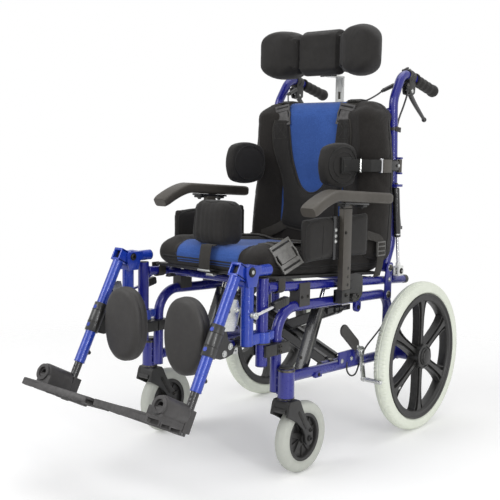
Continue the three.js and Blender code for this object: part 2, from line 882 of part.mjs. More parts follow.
const casterFork = () => {
  const crownTop = housingLowZ - touch;
  const crownLow = crownTop - crownH;
  const legInner = casterW / 2 + legTipR / 4;
  const crown = plateYZ([
    [stemY - stemCapR - legT, crownLow - crownH / 2], [stemY - stemCapR, crownTop],
    [stemY + stemCapR, crownTop], [stemY + stemCapR + legT, crownLow],
    [stemY + stemCapR, crownLow + legT / 2], [stemY, crownLow + legT / 2],
  ], casterX - legInner - legT, casterX + legInner + legT);
  const legs = [-1, 1].map((side) => {
    const inner = casterX + side * legInner;
    const outer = inner + side * legT;
    return plateYZ([
      [stemY - stemCapR - legT, crownLow - crownH / 2], [stemY - stemCapR, crownTop],
      [stemY + stemCapR, crownTop], [stemY + stemCapR + legT, crownLow],
      [casterY + legTipR, casterR + legTipR / 2], [casterY + legTipR, casterR - legTipR],
      [casterY, casterR - legTipR * 1.3], [casterY - legTipR, casterR - legTipR / 2],
    ], Math.min(inner, outer), Math.max(inner, outer));
  });
  const stem = bar(v3(casterX, stemY, crownTop - legT), v3(casterX, stemY, housingTopZ + stemCapH), stemR);
  const cap = bar(v3(casterX, stemY, housingTopZ + touch),
    v3(casterX, stemY, housingTopZ + touch + stemCapH), stemCapR);
  const bolt = bar(
    v3(casterX - legInner - legT - boltHeadH, casterY, casterR),
    v3(casterX + legInner + legT + boltHeadH, casterY, casterR),
    casterBoltR, plainSides,
  );
  const heads = [-1, 1].map((side) => bar(
    v3(casterX + side * (legInner + legT), casterY, casterR),
    v3(casterX + side * (legInner + legT + boltHeadH), casterY, casterR),
    boltHeadR, smallSides,
  ));
  return joined(crown, ...legs, stem, cap, bolt, ...heads);
};

const railSaddle = () => {
  const baseTop = topTubeZ(saddleY);
  const cupTop = railZ(saddleY) + saddleCup;
  const body = block(
    frameX - saddleW / 2, frameX + saddleW / 2, saddleY - saddleL / 2, saddleY + saddleL / 2,
    baseTop, cupTop,
  );
  const along = [saddleY - saddleL, saddleY + saddleL];
  const baseTube = tube(along.map((y) => v3(frameX, y, topTubeZ(y))), tubeD + touch * 2);
  const rail = tube(along.map((y) => v3(frameX, y, railZ(y))), railD + touch * 2);
  const mouth = block(
    frameX - railD / 2 - touch, frameX + railD / 2 + touch,
    saddleY - saddleL, saddleY + saddleL, railZ(saddleY), cupTop + overrun,
  );
  return body.subtract(baseTube).subtract(rail).subtract(mouth);
};

// Block round the front downtube, open in front so that the seat's post can lift out forwards
const frontDock = () => {
  const postR = postD / 2 + dockGap;
  const wallX = postR + dockWall;
  const tubeR = tubeD / 2;
  const body = block(
    frameX - wallX, frameX + wallX, railFrontY - postD / 3, frontY + tubeR + dockWall,
    dockZ, dockZ + dockH,
  );
  const post = bar(v3(frameX, railFrontY, dockZ - overrun), v3(frameX, railFrontY, dockZ + dockH + overrun),
    postR);
  const mouth = block(frameX - postR, frameX + postR, railFrontY - postD, railFrontY,
    dockZ - overrun, dockZ + dockH + overrun);
  return body.subtract(post).subtract(mouth);
};

const parkingBrake = () => {
  const tyreFaceY = -Math.sqrt(wheelR ** 2 - (wheelR - brakeShoeZ) ** 2);
  const shoeY = tyreFaceY - brakeShoeGap - brakeShoeR;
  const arm = flatBarYZ(v3(brakeX, brakeY, brakeZ), v3(brakeX, shoeY, brakeShoeZ), brakeArmW, brakeArmT);
  const hub = bar(v3(brakeX - brakeArmT / 2, brakeY, brakeZ), v3(brakeX + brakeArmT / 2, brakeY, brakeZ),
    brakeArmW, plainSides);
  const shoe = bar(v3(brakeX - brakeArmT, shoeY, brakeShoeZ), v3(brakeX + brakeShoeReach, shoeY, brakeShoeZ),
    brakeShoeR, smallSides);
  const handle = plateYZ(
    stadiumYZ(
      v3(0, brakeY + (brakeHandleY - brakeY) * 0.35, brakeZ + (brakeHandleZ - brakeZ) * 0.35),
      v3(0, brakeHandleY, brakeHandleZ), brakeHandleW / 2,
    ),
    brakeX - brakeHandleT / 2, brakeX + brakeHandleT / 2,
  );
  const neck = flatBarYZ(
    v3(brakeX, brakeY, brakeZ),
    v3(brakeX, (brakeY + brakeHandleY) / 2, (brakeZ + brakeHandleZ) / 2), brakeArmW, brakeArmT,
  );
  const bore = bar(v3(brakeX - brakeArmW, brakeY, brakeZ), v3(brakeX + brakeArmW, brakeY, brakeZ),
    brakePinR + running, plainSides);
  return joined(arm, hub, shoe, handle, neck).subtract(bore);
};

const strutFoot = v3(strutX, strutFootY, strutFootZ);
const strutHead = v3(strutX, strutHeadY, strutHeadZ);
const strutAlong = strutHead.clone().sub(strutFoot).normalize();

const tiltStrutCylinder = () => {
  const top = strutFoot.clone().addScaledVector(strutAlong, strutCylL);
  const guard = flatBarYZ(strutFoot.clone().addScaledVector(strutAlong, -strutEyeR), top, strutW, strutW);
  const bore = bar(strutFoot.clone().addScaledVector(strutAlong, strutEyeR * 2),
    top.clone().addScaledVector(strutAlong, overrun), strutRodR + running, plainSides);
  const eye = bar(v3(strutX - strutW, strutFootY, strutFootZ), v3(strutX + strutW, strutFootY, strutFootZ),
    strutRodR + running, plainSides);
  return guard.subtract(bore).subtract(eye);
};

const tiltStrutRod = () => {
  const start = strutFoot.clone().addScaledVector(strutAlong, strutEyeR * 3);
  const rod = bar(start, strutHead, strutRodR, plainSides);
  const eye = bar(v3(strutX - strutEyeW / 2, strutHeadY, strutHeadZ),
    v3(strutX + strutEyeW / 2, strutHeadY, strutHeadZ), strutEyeR, plainSides);
  return joined(rod, eye);
};

const seatFrame = () => {
  const half = (side) => {
    const x = side * frameX;
    const rail = tube([v3(x, railFrontY, railZ(railFrontY)), v3(x, railRearY, railZ(railRearY))], railD);
    const cap = bar(v3(x, railRearY - railCapL, railZ(railRearY - railCapL)),
      v3(x, railRearY + railCapL, railZ(railRearY + railCapL)), railD / 2 + touch * 2);
    const post = bar(v3(x, railFrontY, postFootZ), v3(x, railFrontY, postTopZ), postD / 2);
    const gusset = plateYZ([
      [railFrontY, railZ(railFrontY)], [railFrontY, railZ(railFrontY) - gussetDrop],
      [railFrontY + gussetL, railZ(railFrontY + gussetL)],
    ], x - gussetT / 2, x + gussetT / 2);
    const plateX = side * (frameX + tubeD / 2 + touch * 2);
    const plateEdges = [plateX, plateX + side * pivotPlateT].sort((a, b) => a - b);
    const plate = plateYZ([
      [pivotY - pivotPlateW / 2, pivotZ - pivotPlateW / 2], [pivotY + pivotPlateW / 2, pivotZ - pivotPlateW / 2],
      [pivotY + pivotPlateW / 2, railZ(pivotY) + railD / 2], [hingeY + earHalfY, hingeZ + earHalfY],
      [hingeY - earHalfY, hingeZ + earHalfY], [pivotY - pivotPlateW / 2, railZ(pivotY) + railD / 2],
    ], ...plateEdges);
    const plateStay = block(...[x, plateX].sort((a, b) => a - b), pivotY - pivotPlateW / 2,
      pivotY + pivotPlateW / 2, railZ(pivotY) - railD / 4, railZ(pivotY) + railD / 4);
    const pivotPin = bar(v3(side * (frameX - tubeD / 2 - touch), pivotY, pivotZ),
      v3(plateX + side * (pivotPlateT + boltHeadH), pivotY, pivotZ), pivotPinR, plainSides);
    const hingePin = bar(v3(side * (caneX - caneD / 2), hingeY, hingeZ),
      v3(plateX + side * (pivotPlateT + boltHeadH), hingeY, hingeZ), hingePinR, plainSides);
    const bolts = [[pivotY, pivotZ], [hingeY, hingeZ]].map(([y, z]) => bar(
      v3(plateX + side * pivotPlateT, y, z), v3(plateX + side * (pivotPlateT + boltHeadH), y, z),
      boltHeadR, smallSides,
    ));
    const lugX = side * (strutX + strutEyeW / 2 + touch);
    const lug = block(...[lugX, x].sort((a, b) => a - b), strutHeadY - strutEyeR, strutHeadY + strutEyeR,
      railZ(strutHeadY) - lugT, railZ(strutHeadY) + lugT);
    const lugDrop = block(...[lugX, lugX + side * lugT].sort((a, b) => a - b),
      strutHeadY - strutEyeR, strutHeadY + strutEyeR, strutHeadZ - strutEyeR, railZ(strutHeadY) + lugT);
    const frame = joined(rail, cap, post, gusset, plate, plateStay, pivotPin, hingePin, ...bolts, lug, lugDrop);
    if (side < 0) {
      return frame;
    }
    const springLug = plateYZ([
      [springFootY - springCylR, railZ(springFootY)], [springFootY + springCylR, railZ(springFootY)],
      [springFootY + springCylR, springFootZ + springCylR], [springFootY - springCylR, springFootZ + springCylR],
    ], springX - springBlockW / 2 - touch - lugT, springX - springBlockW / 2 - touch);
    const springPin = bar(v3(springX - springBlockW / 2 - lugT, springFootY, springFootZ),
      v3(springX + springBlockW / 2 + boltHeadH, springFootY, springFootZ), springRodR, smallSides);
    return joined(frame, springLug, springPin);
  };
  const crossTubes = crossTubeYs.map((y) => bar(v3(-frameX, y, railZ(y)), v3(frameX, y, railZ(y)),
    crossTubeD / 2, plainSides));
  return joined(half(1), half(-1), ...crossTubes);
};

// The seat's own frame of reference: its origin on the board's top at the front edge
const boardTopZ = (y) => railZ(y) + railD / 2 + touch + boardT;
const seatBoard = () => {
  const board = plateYZ([
    [boardFrontY, boardTopZ(boardFrontY)],
    [boardFrontY, boardTopZ(boardFrontY) - boardT - boardLip],
    [boardFrontY + boardLipT, boardTopZ(boardFrontY) - boardT - boardLip],
    [boardFrontY + boardLipT, boardTopZ(boardFrontY + boardLipT) - boardT],
    [boardRearY, boardTopZ(boardRearY) - boardT],
    [boardRearY, boardTopZ(boardRearY)],
  ], -boardHalfX, boardHalfX);
  const railRoom = [-1, 1].map((side) => tube([
    v3(side * frameX, railFrontY, railZ(railFrontY)), v3(side * frameX, railRearY, railZ(railRearY)),
  ], railD + touch * 2));
  return board.subtract(railRoom[0]).subtract(railRoom[1]);
};

const seatCushion = () => {
  const middleY = (seatFrontY + seatRearY) / 2;
  const geometry = pillow([seatHalfX * 2, seatRearY - seatFrontY, seatT], [12, 11, 3], seatT * 0.42,
    (p, u, v, w) => {
      if (w > 0) {
        const side = THREE.MathUtils.smoothstep(Math.abs(u), 0.5, 0.8);
        const edge = 1 - THREE.MathUtils.smoothstep(Math.abs(v), 0.75, 1);
        p.z += (side * seatBolster - (1 - side) * seatDip) * edge * w;
        p.z -= THREE.MathUtils.smoothstep(-v, 0.8, 1) * seatDip;
      }
      p.x *= 1 - seatCornerShare * THREE.MathUtils.smoothstep(-v, 0.62, 0.92);
      return p;
    });
  geometry.translate(0, 0, seatT / 2 + touch);
  geometry.rotateX(railSlope);
  geometry.translate(0, middleY, boardTopZ(middleY));
  return solid(geometry);
};

const seatTopZ = (y) => boardTopZ(y) + seatT + touch;

const pommel = () => {
  const geometry = pillow([pommelW, pommelD, pommelH], [6, 5, 5], pommelD * 0.3, (p, u, v, w) => {
    p.x *= 1 - 0.12 * w;
    return p;
  });
  const padLowZ = seatTopZ(pommelY) - seatDip * 0.85 + touch;
  geometry.translate(0, 0, pommelH / 2);
  geometry.rotateX(railSlope);
  geometry.translate(0, pommelY, padLowZ);
  const strapY = pommelY - pommelD / 2;
  const skin = pommelStrapT / 2;
  const frontY0 = seatFrontY - skin - touch * 2;
  const strap = ribbon([
    v3(0, strapY + pommelD / 4, padLowZ + pommelD / 3),
    v3(0, strapY + skin, padLowZ + pommelD / 6),
    v3(0, strapY - pommelD / 7, seatTopZ(strapY) + skin),
    v3(0, frontY0 + seatT / 4, seatTopZ(seatFrontY) - skin),
    v3(0, frontY0, seatTopZ(seatFrontY) - seatT / 3),
    v3(0, frontY0, boardTopZ(seatFrontY)),
    v3(0, frontY0 + seatT / 4, boardTopZ(seatFrontY) - boardT - boardLip),
  ], v3(1, 0, 0), pommelStrapW, pommelStrapT);
  return joined(solid(geometry), strap);
};

const armrestSocket = () => {
  const innerX = frameX + tubeD / 2 + touch * 2;
  const outerX = armPostX - armPostT / 2 - touch;
  const bandY = armPostY + socketL * 0.4;
  const frontEdge = armPostY - armPostW / 2;
  const blade = block(
    armPostX - armPostT / 2 + armPostWall + running, armPostX + armPostT / 2 - armPostWall - running,
    frontEdge + armPostWall + running, armPostY + armPostW / 2 - armPostWall - running,
    socketLowZ, armBladeTopZ,
  );
  const foot = block(
    innerX, armPostX + armPostT / 2, frontEdge, armPostY + armPostW / 2,
    socketLowZ, armPostLowZ - touch,
  );
  const tail = plateYZ([
    [frontEdge, socketLowZ], [frontEdge + socketL * 0.75, socketLowZ - railD / 3],
    [frontEdge + socketL, socketLowZ + railD / 2], [frontEdge + socketL, railZ(armPostY) + railD / 2],
    [frontEdge + socketL * 0.7, railZ(armPostY) + railD], [armPostY + armPostW / 2 + touch, railZ(armPostY) + railD],
    [armPostY + armPostW / 2 + touch, armPostLowZ - touch], [frontEdge, armPostLowZ - touch],
  ], innerX, innerX + socketT);
  const knob = bar(
    v3(armPostX, armPostY + armPostW, socketLowZ + socketKnobR),
    v3(armPostX + socketKnobH, armPostY + armPostW, socketLowZ + socketKnobR), socketKnobR, plainSides,
  );
  const knobNeck = bar(
    v3(innerX + socketT / 2, armPostY + armPostW, socketLowZ + socketKnobR),
    v3(armPostX + socketKnobH / 2, armPostY + armPostW, socketLowZ + socketKnobR), socketKnobR / 2, smallSides,
  );
  const band = block(
    frameX - railD / 2 - touch - bandWall, outerX, bandY - bandL, bandY + bandL,
    railZ(bandY) - railD / 2 - touch - bandWall, railZ(bandY) + railD / 2 - bandWall,
  );
  const railRoom = tube([v3(frameX, railFrontY, railZ(railFrontY)), v3(frameX, railRearY, railZ(railRearY))],
    railD + touch * 2);
  return joined(foot, blade, tail, knob, knobNeck, band.subtract(railRoom));
};

const armrestPost = () => {
  const half = armPostT / 2;
  const shell = block(armPostX - half, armPostX + half, armPostY - armPostW / 2, armPostY + armPostW / 2,
    armPostLowZ, armPostTopZ);
  const room = block(armPostX - half + armPostWall, armPostX + half - armPostWall,
    armPostY - armPostW / 2 + armPostWall, armPostY + armPostW / 2 - armPostWall,
    armPostLowZ - overrun, armPostTopZ - armPostWall);
  const padUnder = (y) => lineZ(y, armBendY, armBendZ, armRearY, armRearZ) - armPadT / 2 - touch * 2;
  const carrierFrontY = armPostY - armPostW * 1.2;
  const carrierRearY = armPostY + armPostW * 1.8;
  const carrier = plateYZ([
    [carrierFrontY, padUnder(carrierFrontY) - armPlateT], [carrierRearY, padUnder(carrierRearY) - armPlateT],
    [carrierRearY, padUnder(carrierRearY)], [carrierFrontY, padUnder(carrierFrontY)],
  ], armPostX - half, armX + armPadW / 4);
  const neck = block(armPostX - half, armPostX + half, armPostY - armPostW / 2, armPostY + armPostW / 2,
    armPostTopZ - armPostWall * 2, padUnder(armPostY + armPostW / 2) - armPlateT / 2);
  return joined(shell.subtract(room), neck, carrier);
};

const armrestPad = () => {
  // Constant section along a straight top and a drooping front
  const geometry = pillow([armPadW, armRearY - armTipY, armPadT], [3, 12, 2], armPadT * 0.4,
    (p, u, v) => {
      const y = (armRearY + armTipY) / 2 + p.y;
      const top = lineZ(y, armBendY, armBendZ, armRearY, armRearZ);
      const droopShare = THREE.MathUtils.clamp((armBendY + armPadW - y) / (armBendY + armPadW - armTipY), 0, 1);
      const droop = (armBendZ - armTipZ + armPadT / 4) * droopShare ** 2;
      return v3(armX + p.x, y, top - droop + p.z);
    });
  return solid(geometry);
};

const sidePad = () => {
  const length = sidePadRearY - sidePadFrontY;
  const height = sidePadTopZ - sidePadLowZ;
  const x = armPostX - armPostT / 2 - touch - sidePadT / 2;
  const geometry = pillow([sidePadT, length, height], [2, 8, 5], sidePadT * 0.42, (p, u, v, w) => {
    const slant = THREE.MathUtils.smoothstep(-v, 0.35, 1) * THREE.MathUtils.smoothstep(w, -0.4, 1);
    p.z -= slant * height * 0.28;
    return p;
  });
  geometry.translate(x, (sidePadFrontY + sidePadRearY) / 2, (sidePadLowZ + sidePadTopZ) / 2);
  return solid(geometry);
};

const pelvicBelt = () => {
  const width = beltW;
  const thick = beltT;
  const lift = thick / 2 + touch;
  const cornerX = seatHalfX - seatT * 0.7;
  const rideZ = (y) => seatTopZ(y) + seatBolster + lift + thick * 2;
  const sideX = seatHalfX + thick / 2;
  const rearBeltY = seatRearY - width;
  const left = ribbon([
    v3(0, rearBeltY, seatTopZ(rearBeltY) + lift + thick),
    v3(cornerX * 0.6, rearBeltY, seatTopZ(rearBeltY) + lift + thick),
    v3(cornerX, rearBeltY - width, rideZ(rearBeltY)),
    v3(cornerX, beltBendY, rideZ(beltBendY)),
    v3(cornerX + thick, beltFrontY, rideZ(beltFrontY)),
  ], [v3(0, 1, 0), v3(0, 1, 0), v3(0.5, 1, 0), v3(1, 0, 0), v3(1, 0, 0)], width * 0.8, thick);
  const over = ribbon([
    v3(cornerX, buckleY + thick * 3, rideZ(buckleY + thick * 3)),
    v3(seatHalfX - seatT * 0.2, buckleY, rideZ(buckleY) - thick * 2),
    v3(sideX, buckleY, seatTopZ(buckleY) - seatT * 0.1),
    v3(sideX, buckleY, seatTopZ(buckleY) - seatT * 0.55),
  ], v3(0, 1, 0), width, thick);
  const bridge = ribbon([
    v3(cornerX + thick, beltFrontY + thick * 3, rideZ(beltFrontY + thick * 3)),
    v3(cornerX, (beltFrontY + buckleY) / 2, rideZ((beltFrontY + buckleY) / 2)),
    v3(cornerX, buckleY, rideZ(buckleY)),
  ], v3(1, 0, 0), width * 0.8, thick);
  const buckle = block(sideX - thick / 2, sideX + thick * 2.5, buckleY - width * 0.6, buckleY + width * 0.6,
    seatTopZ(buckleY) - seatT * 0.95, seatTopZ(buckleY) - seatT * 0.2);
  const right = ribbon([
    v3(0, rearBeltY, seatTopZ(rearBeltY) + lift + thick),
    v3(-cornerX * 0.6, rearBeltY, seatTopZ(rearBeltY) + lift + thick),
    v3(-cornerX, rearBeltY - width, rideZ(rearBeltY)),
    v3(-cornerX, beltRightEndY, rideZ(beltRightEndY)),
  ], [v3(0, 1, 0), v3(0, 1, 0), v3(-0.5, 1, 0), v3(-1, 0, 0)], width * 0.8, thick);
  return joined(left, bridge, over, buckle, right);
};

const hanger = () => {
  const x = frameX;
  const cheekInner = knuckleW / 2 + running;
  const cheekLow = legPivotZ - hangerCheekW / 2;
  const upright = bar(v3(x, hangerY, hangerLowZ), v3(x, hangerY, cheekLow - touch * 2), hangerD / 2);
  const cheeks = [-1, 1].map((side) => {
    const edges = [
      cheekX + side * cheekInner, cheekX + side * (cheekInner + hangerCheekT),
    ].sort((a, b) => a - b);
    return plateYZ([
      [legPivotY - hangerCheekW * 0.45, legPivotZ - hangerCheekW * 0.2],
      [legPivotY - hangerCheekW * 0.3, cheekLow - hangerCheekW / 2],
      [legPivotY + hangerCheekW / 2, cheekLow - hangerCheekW / 2],
      [legPivotY + hangerCheekW * 0.8, legPivotZ - hangerCheekW / 4],
      [legPivotY + hangerCheekW * 0.8, legPivotZ + hangerCheekW * 0.3],
      [legPivotY - hangerCheekW * 0.45, legPivotZ + hangerCheekW * 0.3],
    ], ...edges);
  });
  const cheekTie = block(cheekX - cheekInner - hangerCheekT, cheekX + cheekInner + hangerCheekT,
    legPivotY - hangerCheekW * 0.3, legPivotY + hangerCheekW / 2,
    cheekLow - hangerCheekW / 2, cheekLow - touch * 2);
  const arm = bar(v3(x, legPivotY + legPivotR + running * 4, hangerArmZ), v3(x, hangerArmRearY, hangerArmZ),
    hangerArmD / 2);
  const armTie = block(cheekX - cheekInner - hangerCheekT, cheekX + cheekInner + hangerCheekT,
    legPivotY + hangerCheekW * 0.5, legPivotY + hangerCheekW * 0.8,
    legPivotZ - hangerCheekW / 4, legPivotZ + hangerCheekW * 0.3);
  const pin = bar(v3(cheekX - cheekInner - hangerCheekT, legPivotY, legPivotZ),
    v3(cheekX + cheekInner + hangerCheekT + boltHeadH, legPivotY, legPivotZ), legPivotPinR, plainSides);
  const head = bar(v3(cheekX + cheekInner + hangerCheekT, legPivotY, legPivotZ),
    v3(cheekX + cheekInner + hangerCheekT + boltHeadH, legPivotY, legPivotZ), boltHeadR, smallSides);
  const collarR = postD / 2 + collarGap + collarWall;
  const collar = bar(v3(x, railFrontY, collarZ - collarH / 2), v3(x, railFrontY, collarZ + collarH / 2), collarR);
  const collarBore = bar(v3(x, railFrontY, collarZ - collarH), v3(x, railFrontY, collarZ + collarH),
    postD / 2 + collarGap);
  const link = block(x - collarWall, x + collarWall + touch, hangerY, railFrontY - postD / 2 - collarGap,
    collarZ - collarH / 2, collarZ + collarH / 2);
  return joined(upright, ...cheeks, cheekTie, arm, armTie, pin, head, collar.subtract(collarBore), link);
};

const hangerRelease = () => {
  const x = frameX + hangerD / 2 + touch + releaseGripR;
  const pivot = v3(x, hangerY, releaseZ);
  const knee = v3(x, hangerY + releaseGripL * 1.5, releaseZ + releaseRise);
  const tip = v3(x, knee.y + releaseGripL, knee.z + releaseRise);
  const rod = bar(pivot, knee.clone().lerp(tip, 0.5), releaseRodR, smallSides);
  const grip = bar(knee, tip, releaseGripR, plainSides);
  const disc = bar(v3(x - releaseGripR, pivot.y, pivot.z), v3(x + releaseRodR, pivot.y, pivot.z),
    releaseGripR, plainSides);
  return joined(rod, grip, disc);
};

// Leg frame: a group at the leg pivot, turned so that its -Z runs down the leg
const legFrame = (side) => {
  const group = new THREE.Group();
  group.position.set(0, legPivotY, legPivotZ);
  group.rotation.x = -legAngle;
  group.name = '';
  chair.add(group);
  return { group, side };
};

const legrestTube = () => {
  const x = cheekX;
  const tubeX = legX;
  const outer = bar(v3(tubeX, -legOffset, -legTubeL), v3(tubeX, -legOffset, -legTubeTop), legTubeD / 2);
  const bore = bar(v3(tubeX, -legOffset, -legTubeL - overrun), v3(tubeX, -legOffset, -sleeveTop),
    legTubeD / 2 - legTubeWall);
  const knuckle = bar(v3(x - knuckleW / 2, 0, 0), v3(x + knuckleW / 2, 0, 0), legPivotR);
  const reach = block(x - knuckleW / 2, x + knuckleW / 2, -legOffset - legTubeD / 2, 0,
    -legPivotR, legPivotR);
  const pinBore = bar(v3(x - knuckleW, 0, 0), v3(x + knuckleW, 0, 0), legPivotPinR + running, plainSides);
  const sleeve = bar(v3(tubeX, -legOffset, -sleeveTop - sleeveL), v3(tubeX, -legOffset, -sleeveTop),
    sleeveD / 2);
  const sidePlate = plateYZ([
    [-legOffset, -sleeveTop + sleeveL * 0.1], [legOffset * 0.7, -sleeveTop + sleeveL * 0.25],
    [sidePlateReach, -sleeveTop - sleeveL * 0.35], [legOffset * 0.6, -sleeveTop - sleeveL * 0.9],
    [-legOffset, -sleeveTop - sleeveL],
  ], tubeX - sidePlateT / 2, tubeX + sidePlateT / 2);
  const quadrant = plateYZ([
    [-legOffset, -sleeveTop + sleeveL * 0.6], [legOffset / 4, -sleeveTop + sleeveL],
    [legOffset * 0.9, -sleeveTop + sleeveL * 0.75], [legOffset * 1.2, -sleeveTop + sleeveL * 0.1],
    [-legOffset, -sleeveTop - sleeveL * 0.2],
  ], tubeX - quadrantT / 2, tubeX + quadrantT / 2);
  return joined(outer, reach, knuckle, sleeve, sidePlate, quadrant).subtract(pinBore).subtract(bore);
};

const legExtension = () => {
  const x = legX;
  const inner = bar(v3(x, -legOffset, -legInnerEnd), v3(x, -legOffset, -sleeveTop - legInnerStop), legInnerD / 2);
  const blockTop = -barrelDrop + socketBlockH * 0.25;
  const clamp = block(x - socketBlockW / 2, x + socketBlockW / 2 - legInnerD / 3,
    -legOffset - legInnerD / 2 - overrun / 2, -legOffset + legInnerD / 2 + overrun / 2,
    -legInnerEnd + plateT / 2, blockTop);
  const pin = bar(v3(x, -barrelStart - barrelL + barrelPinR, -barrelDrop), v3(x, -legOffset, -barrelDrop),
    barrelPinR, plainSides);
  return joined(inner, clamp, pin);
};

const footplate = () => {
  const x = legX;
  const start = -legOffset - legInnerD / 2 - overrun / 2 - touch;
  const end = -barrelStart - barrelL;
  const barrel = bar(v3(x, end, -barrelDrop), v3(x, start, -barrelDrop), barrelR, fineSides);
  const bore = bar(v3(x, end - overrun, -barrelDrop), v3(x, start + overrun, -barrelDrop),
    barrelPinR + running, plainSides);
  const plateTop = -plateDrop + plateT / 2;
  const plate = block(plateInnerX, x + barrelR * 0.6, -plateFront, start, plateTop - plateT, plateTop);
  const heel = block(plateHeelX, x - socketBlockW / 2 - touch * 2, start - touch, -plateRear,
    plateTop - plateT, plateTop);
  const cheek = block(x - barrelR, x + barrelR * 0.6, end + plateRib, start, plateTop - plateT / 2, -barrelDrop);
  return joined(barrel, plate, heel, cheek).subtract(bore);
};

const calfPad = () => {
  const geometry = pillow([calfW, calfT, calfH], [6, 2, 8], calfT * 0.4, (p, u, v, w) => {
    // Oval outline: each vertex is drawn in towards the ellipse that fits the pad
    const squareness = Math.max(Math.abs(u), Math.abs(w));
    const roundness = Math.hypot(u, w);
    const pull = roundness > 0 ? squareness / roundness : 1;
    p.x *= pull;
    p.z *= pull;
    p.y += calfT * 0.12 * (1 - u * u);
    return p;
  });
  geometry.translate(calfX, calfY, calfZ);
  const armZ = calfZ;
  const rear = calfY + calfT / 2;
  const arm = bar(v3(calfX, rear - calfT / 5, armZ), v3(calfX, rear + calfT / 4, armZ), calfT / 4, smallSides);
  const reach = bar(v3(calfX, rear + calfT / 4, armZ),
    v3(legX - sidePlateT / 2 - touch, rear + calfT / 4, armZ), calfT / 6, smallSides);
  return joined(solid(geometry), arm, reach);
};

const gripLineZ = (y) => lineZ(y, gripFrontY, gripFrontZ, gripEndY, gripEndZ);

const backFrame = () => {
  const half = (side) => {
    const x = side * caneX;
    const cane = tube([
      v3(x, hingeY, hingeZ), v3(x, caneY, hingeZ + tubeD * 2.4), v3(x, caneY, caneKneeZ),
      v3(x, caneTopY, caneTopZ), v3(side * gripX, handleY, gripLineZ(handleY)),
      v3(side * gripX, gripEndY - gripD, gripLineZ(gripEndY - gripD)),
    ], caneD, [lowerCaneBendR, caneBendR, lowerCaneBendR, handleBendR], fineSides, bendSteps / 2);
    const knuckle = bar(v3(x - hingeR + touch * 2, hingeY, hingeZ), v3(x + hingeR - touch * 2, hingeY, hingeZ),
      hingeR, fineSides);
    const bore = bar(v3(x - caneD, hingeY, hingeZ), v3(x + caneD, hingeY, hingeZ), hingePinR + running, plainSides);
    const lug = block(...[x, side * springX].sort((a, b) => a - b), springHeadY - springCylR,
      caneY, springHeadZ + springCylR / 4, springHeadZ + springCylR);
    const clampGap = lateralClampL / 2 + touch;
    const lateralTabs = [lateralZ - clampGap - lugT, lateralZ + clampGap].map((z) => block(
      ...[x, side * (lateralSwingX + lateralArmR)].sort((a, b) => a - b), caneY - lateralArmR,
      caneY + lateralArmR, z, z + lugT,
    ));
    const handleTube = v3(side * gripX, leverPivotY, gripLineZ(leverPivotY));
    const housing = block(
      side * gripX - leverW, side * gripX + leverW, leverPivotY - leverHousingL / 2,
      leverPivotY + leverHousingL / 2, leverPivotZ - leverHousingH / 2, handleTube.z + leverClampR,
    );
    const leverRoom = block(
      side * gripX - leverT / 2 - running, side * gripX + leverT / 2 + running, leverPivotY - leverHousingL,
      leverPivotY + leverHousingL, leverPivotZ - leverHousingH, handleTube.z - leverClampR,
    );
    const leverPin = bar(v3(side * gripX - leverW, leverPivotY, leverPivotZ),
      v3(side * gripX + leverW, leverPivotY, leverPivotZ), leverPinR, smallSides);
    const whole = joined(
      joined(cane, knuckle).subtract(bore), ...lateralTabs, housing.subtract(leverRoom), leverPin,
    );
    return side > 0 ? joined(whole, lug) : whole;
  };
  const backTubeY = backFaceY + backT + touch + backTubeD / 2;
  const tubes = backTubeZs.map((z) => bar(v3(-caneX, backTubeY, z), v3(caneX, backTubeY, z), backTubeD / 2,
    plainSides));
  const stalkRoom = stalkY + stalkT / 2 + touch;
  const clampPlate = block(-bracketW / 2, bracketW / 2, backTubeY, stalkRoom + bracketT,
    backTubeZs[2] - bracketH / 2, backTubeZs[2] + bracketH / 2);
  const slot = block(-stalkW / 2 - touch, stalkW / 2 + touch, stalkY - stalkT / 2 - touch,
    stalkY + stalkT / 2 + touch, backTubeZs[2] - bracketH, backTubeZs[2] + bracketH);
  return joined(half(1), half(-1), ...tubes, clampPlate).subtract(slot);
};

const pushGrip = () => {
  const from = v3(gripX, gripFrontY, gripFrontZ);
  const to = v3(gripX, gripEndY, gripEndZ);
  const along = to.clone().sub(from).normalize();
  const grip = bar(from, to, gripD / 2);
  const ball = new THREE.SphereGeometry(gripD / 2 * 1.08, plainSides, smallSides);
  ball.translate(to.x, to.y - gripD * 0.1, to.z);
  const bore = bar(from.clone().addScaledVector(along, -overrun), to.clone().addScaledVector(along, -gripD),
    caneD / 2 + touch);
  return joined(grip, solid(ball)).subtract(bore);
};

const brakeHandle = () => {
  const x = gripX;
  const pivot = v3(x, leverPivotY, leverPivotZ);
  const tip = v3(x, leverTipY, leverTipZ);
  const lever = flatBarYZ(pivot, tip, leverW, leverT);
  const ball = new THREE.SphereGeometry(leverBallR, smallSides + 2, smallSides - 1);
  ball.translate(tip.x, tip.y, tip.z);
  const root = bar(v3(x - leverT / 2, pivot.y, pivot.z), v3(x + leverT / 2, pivot.y, pivot.z), leverHousingH / 2 - touch,
    plainSides);
  const bore = bar(v3(x - leverW, pivot.y, pivot.z), v3(x + leverW, pivot.y, pivot.z), leverPinR + running,
    smallSides);
  return joined(lever, solid(ball), root).subtract(bore);
};

const springFoot = v3(springX, springFootY, springFootZ);
const springHead = v3(springX, springHeadY, springHeadZ);
const springAlong = springHead.clone().sub(springFoot).normalize();

const reclineCylinder = () => {
  const low = springHead.clone().addScaledVector(springAlong, -springCylL);
  const body = bar(low, springHead, springCylR, plainSides);
  const bore = bar(low.clone().addScaledVector(springAlong, -overrun),
    springHead.clone().addScaledVector(springAlong, -springCylR), springRodR + running, smallSides);
  return body.subtract(bore);
};

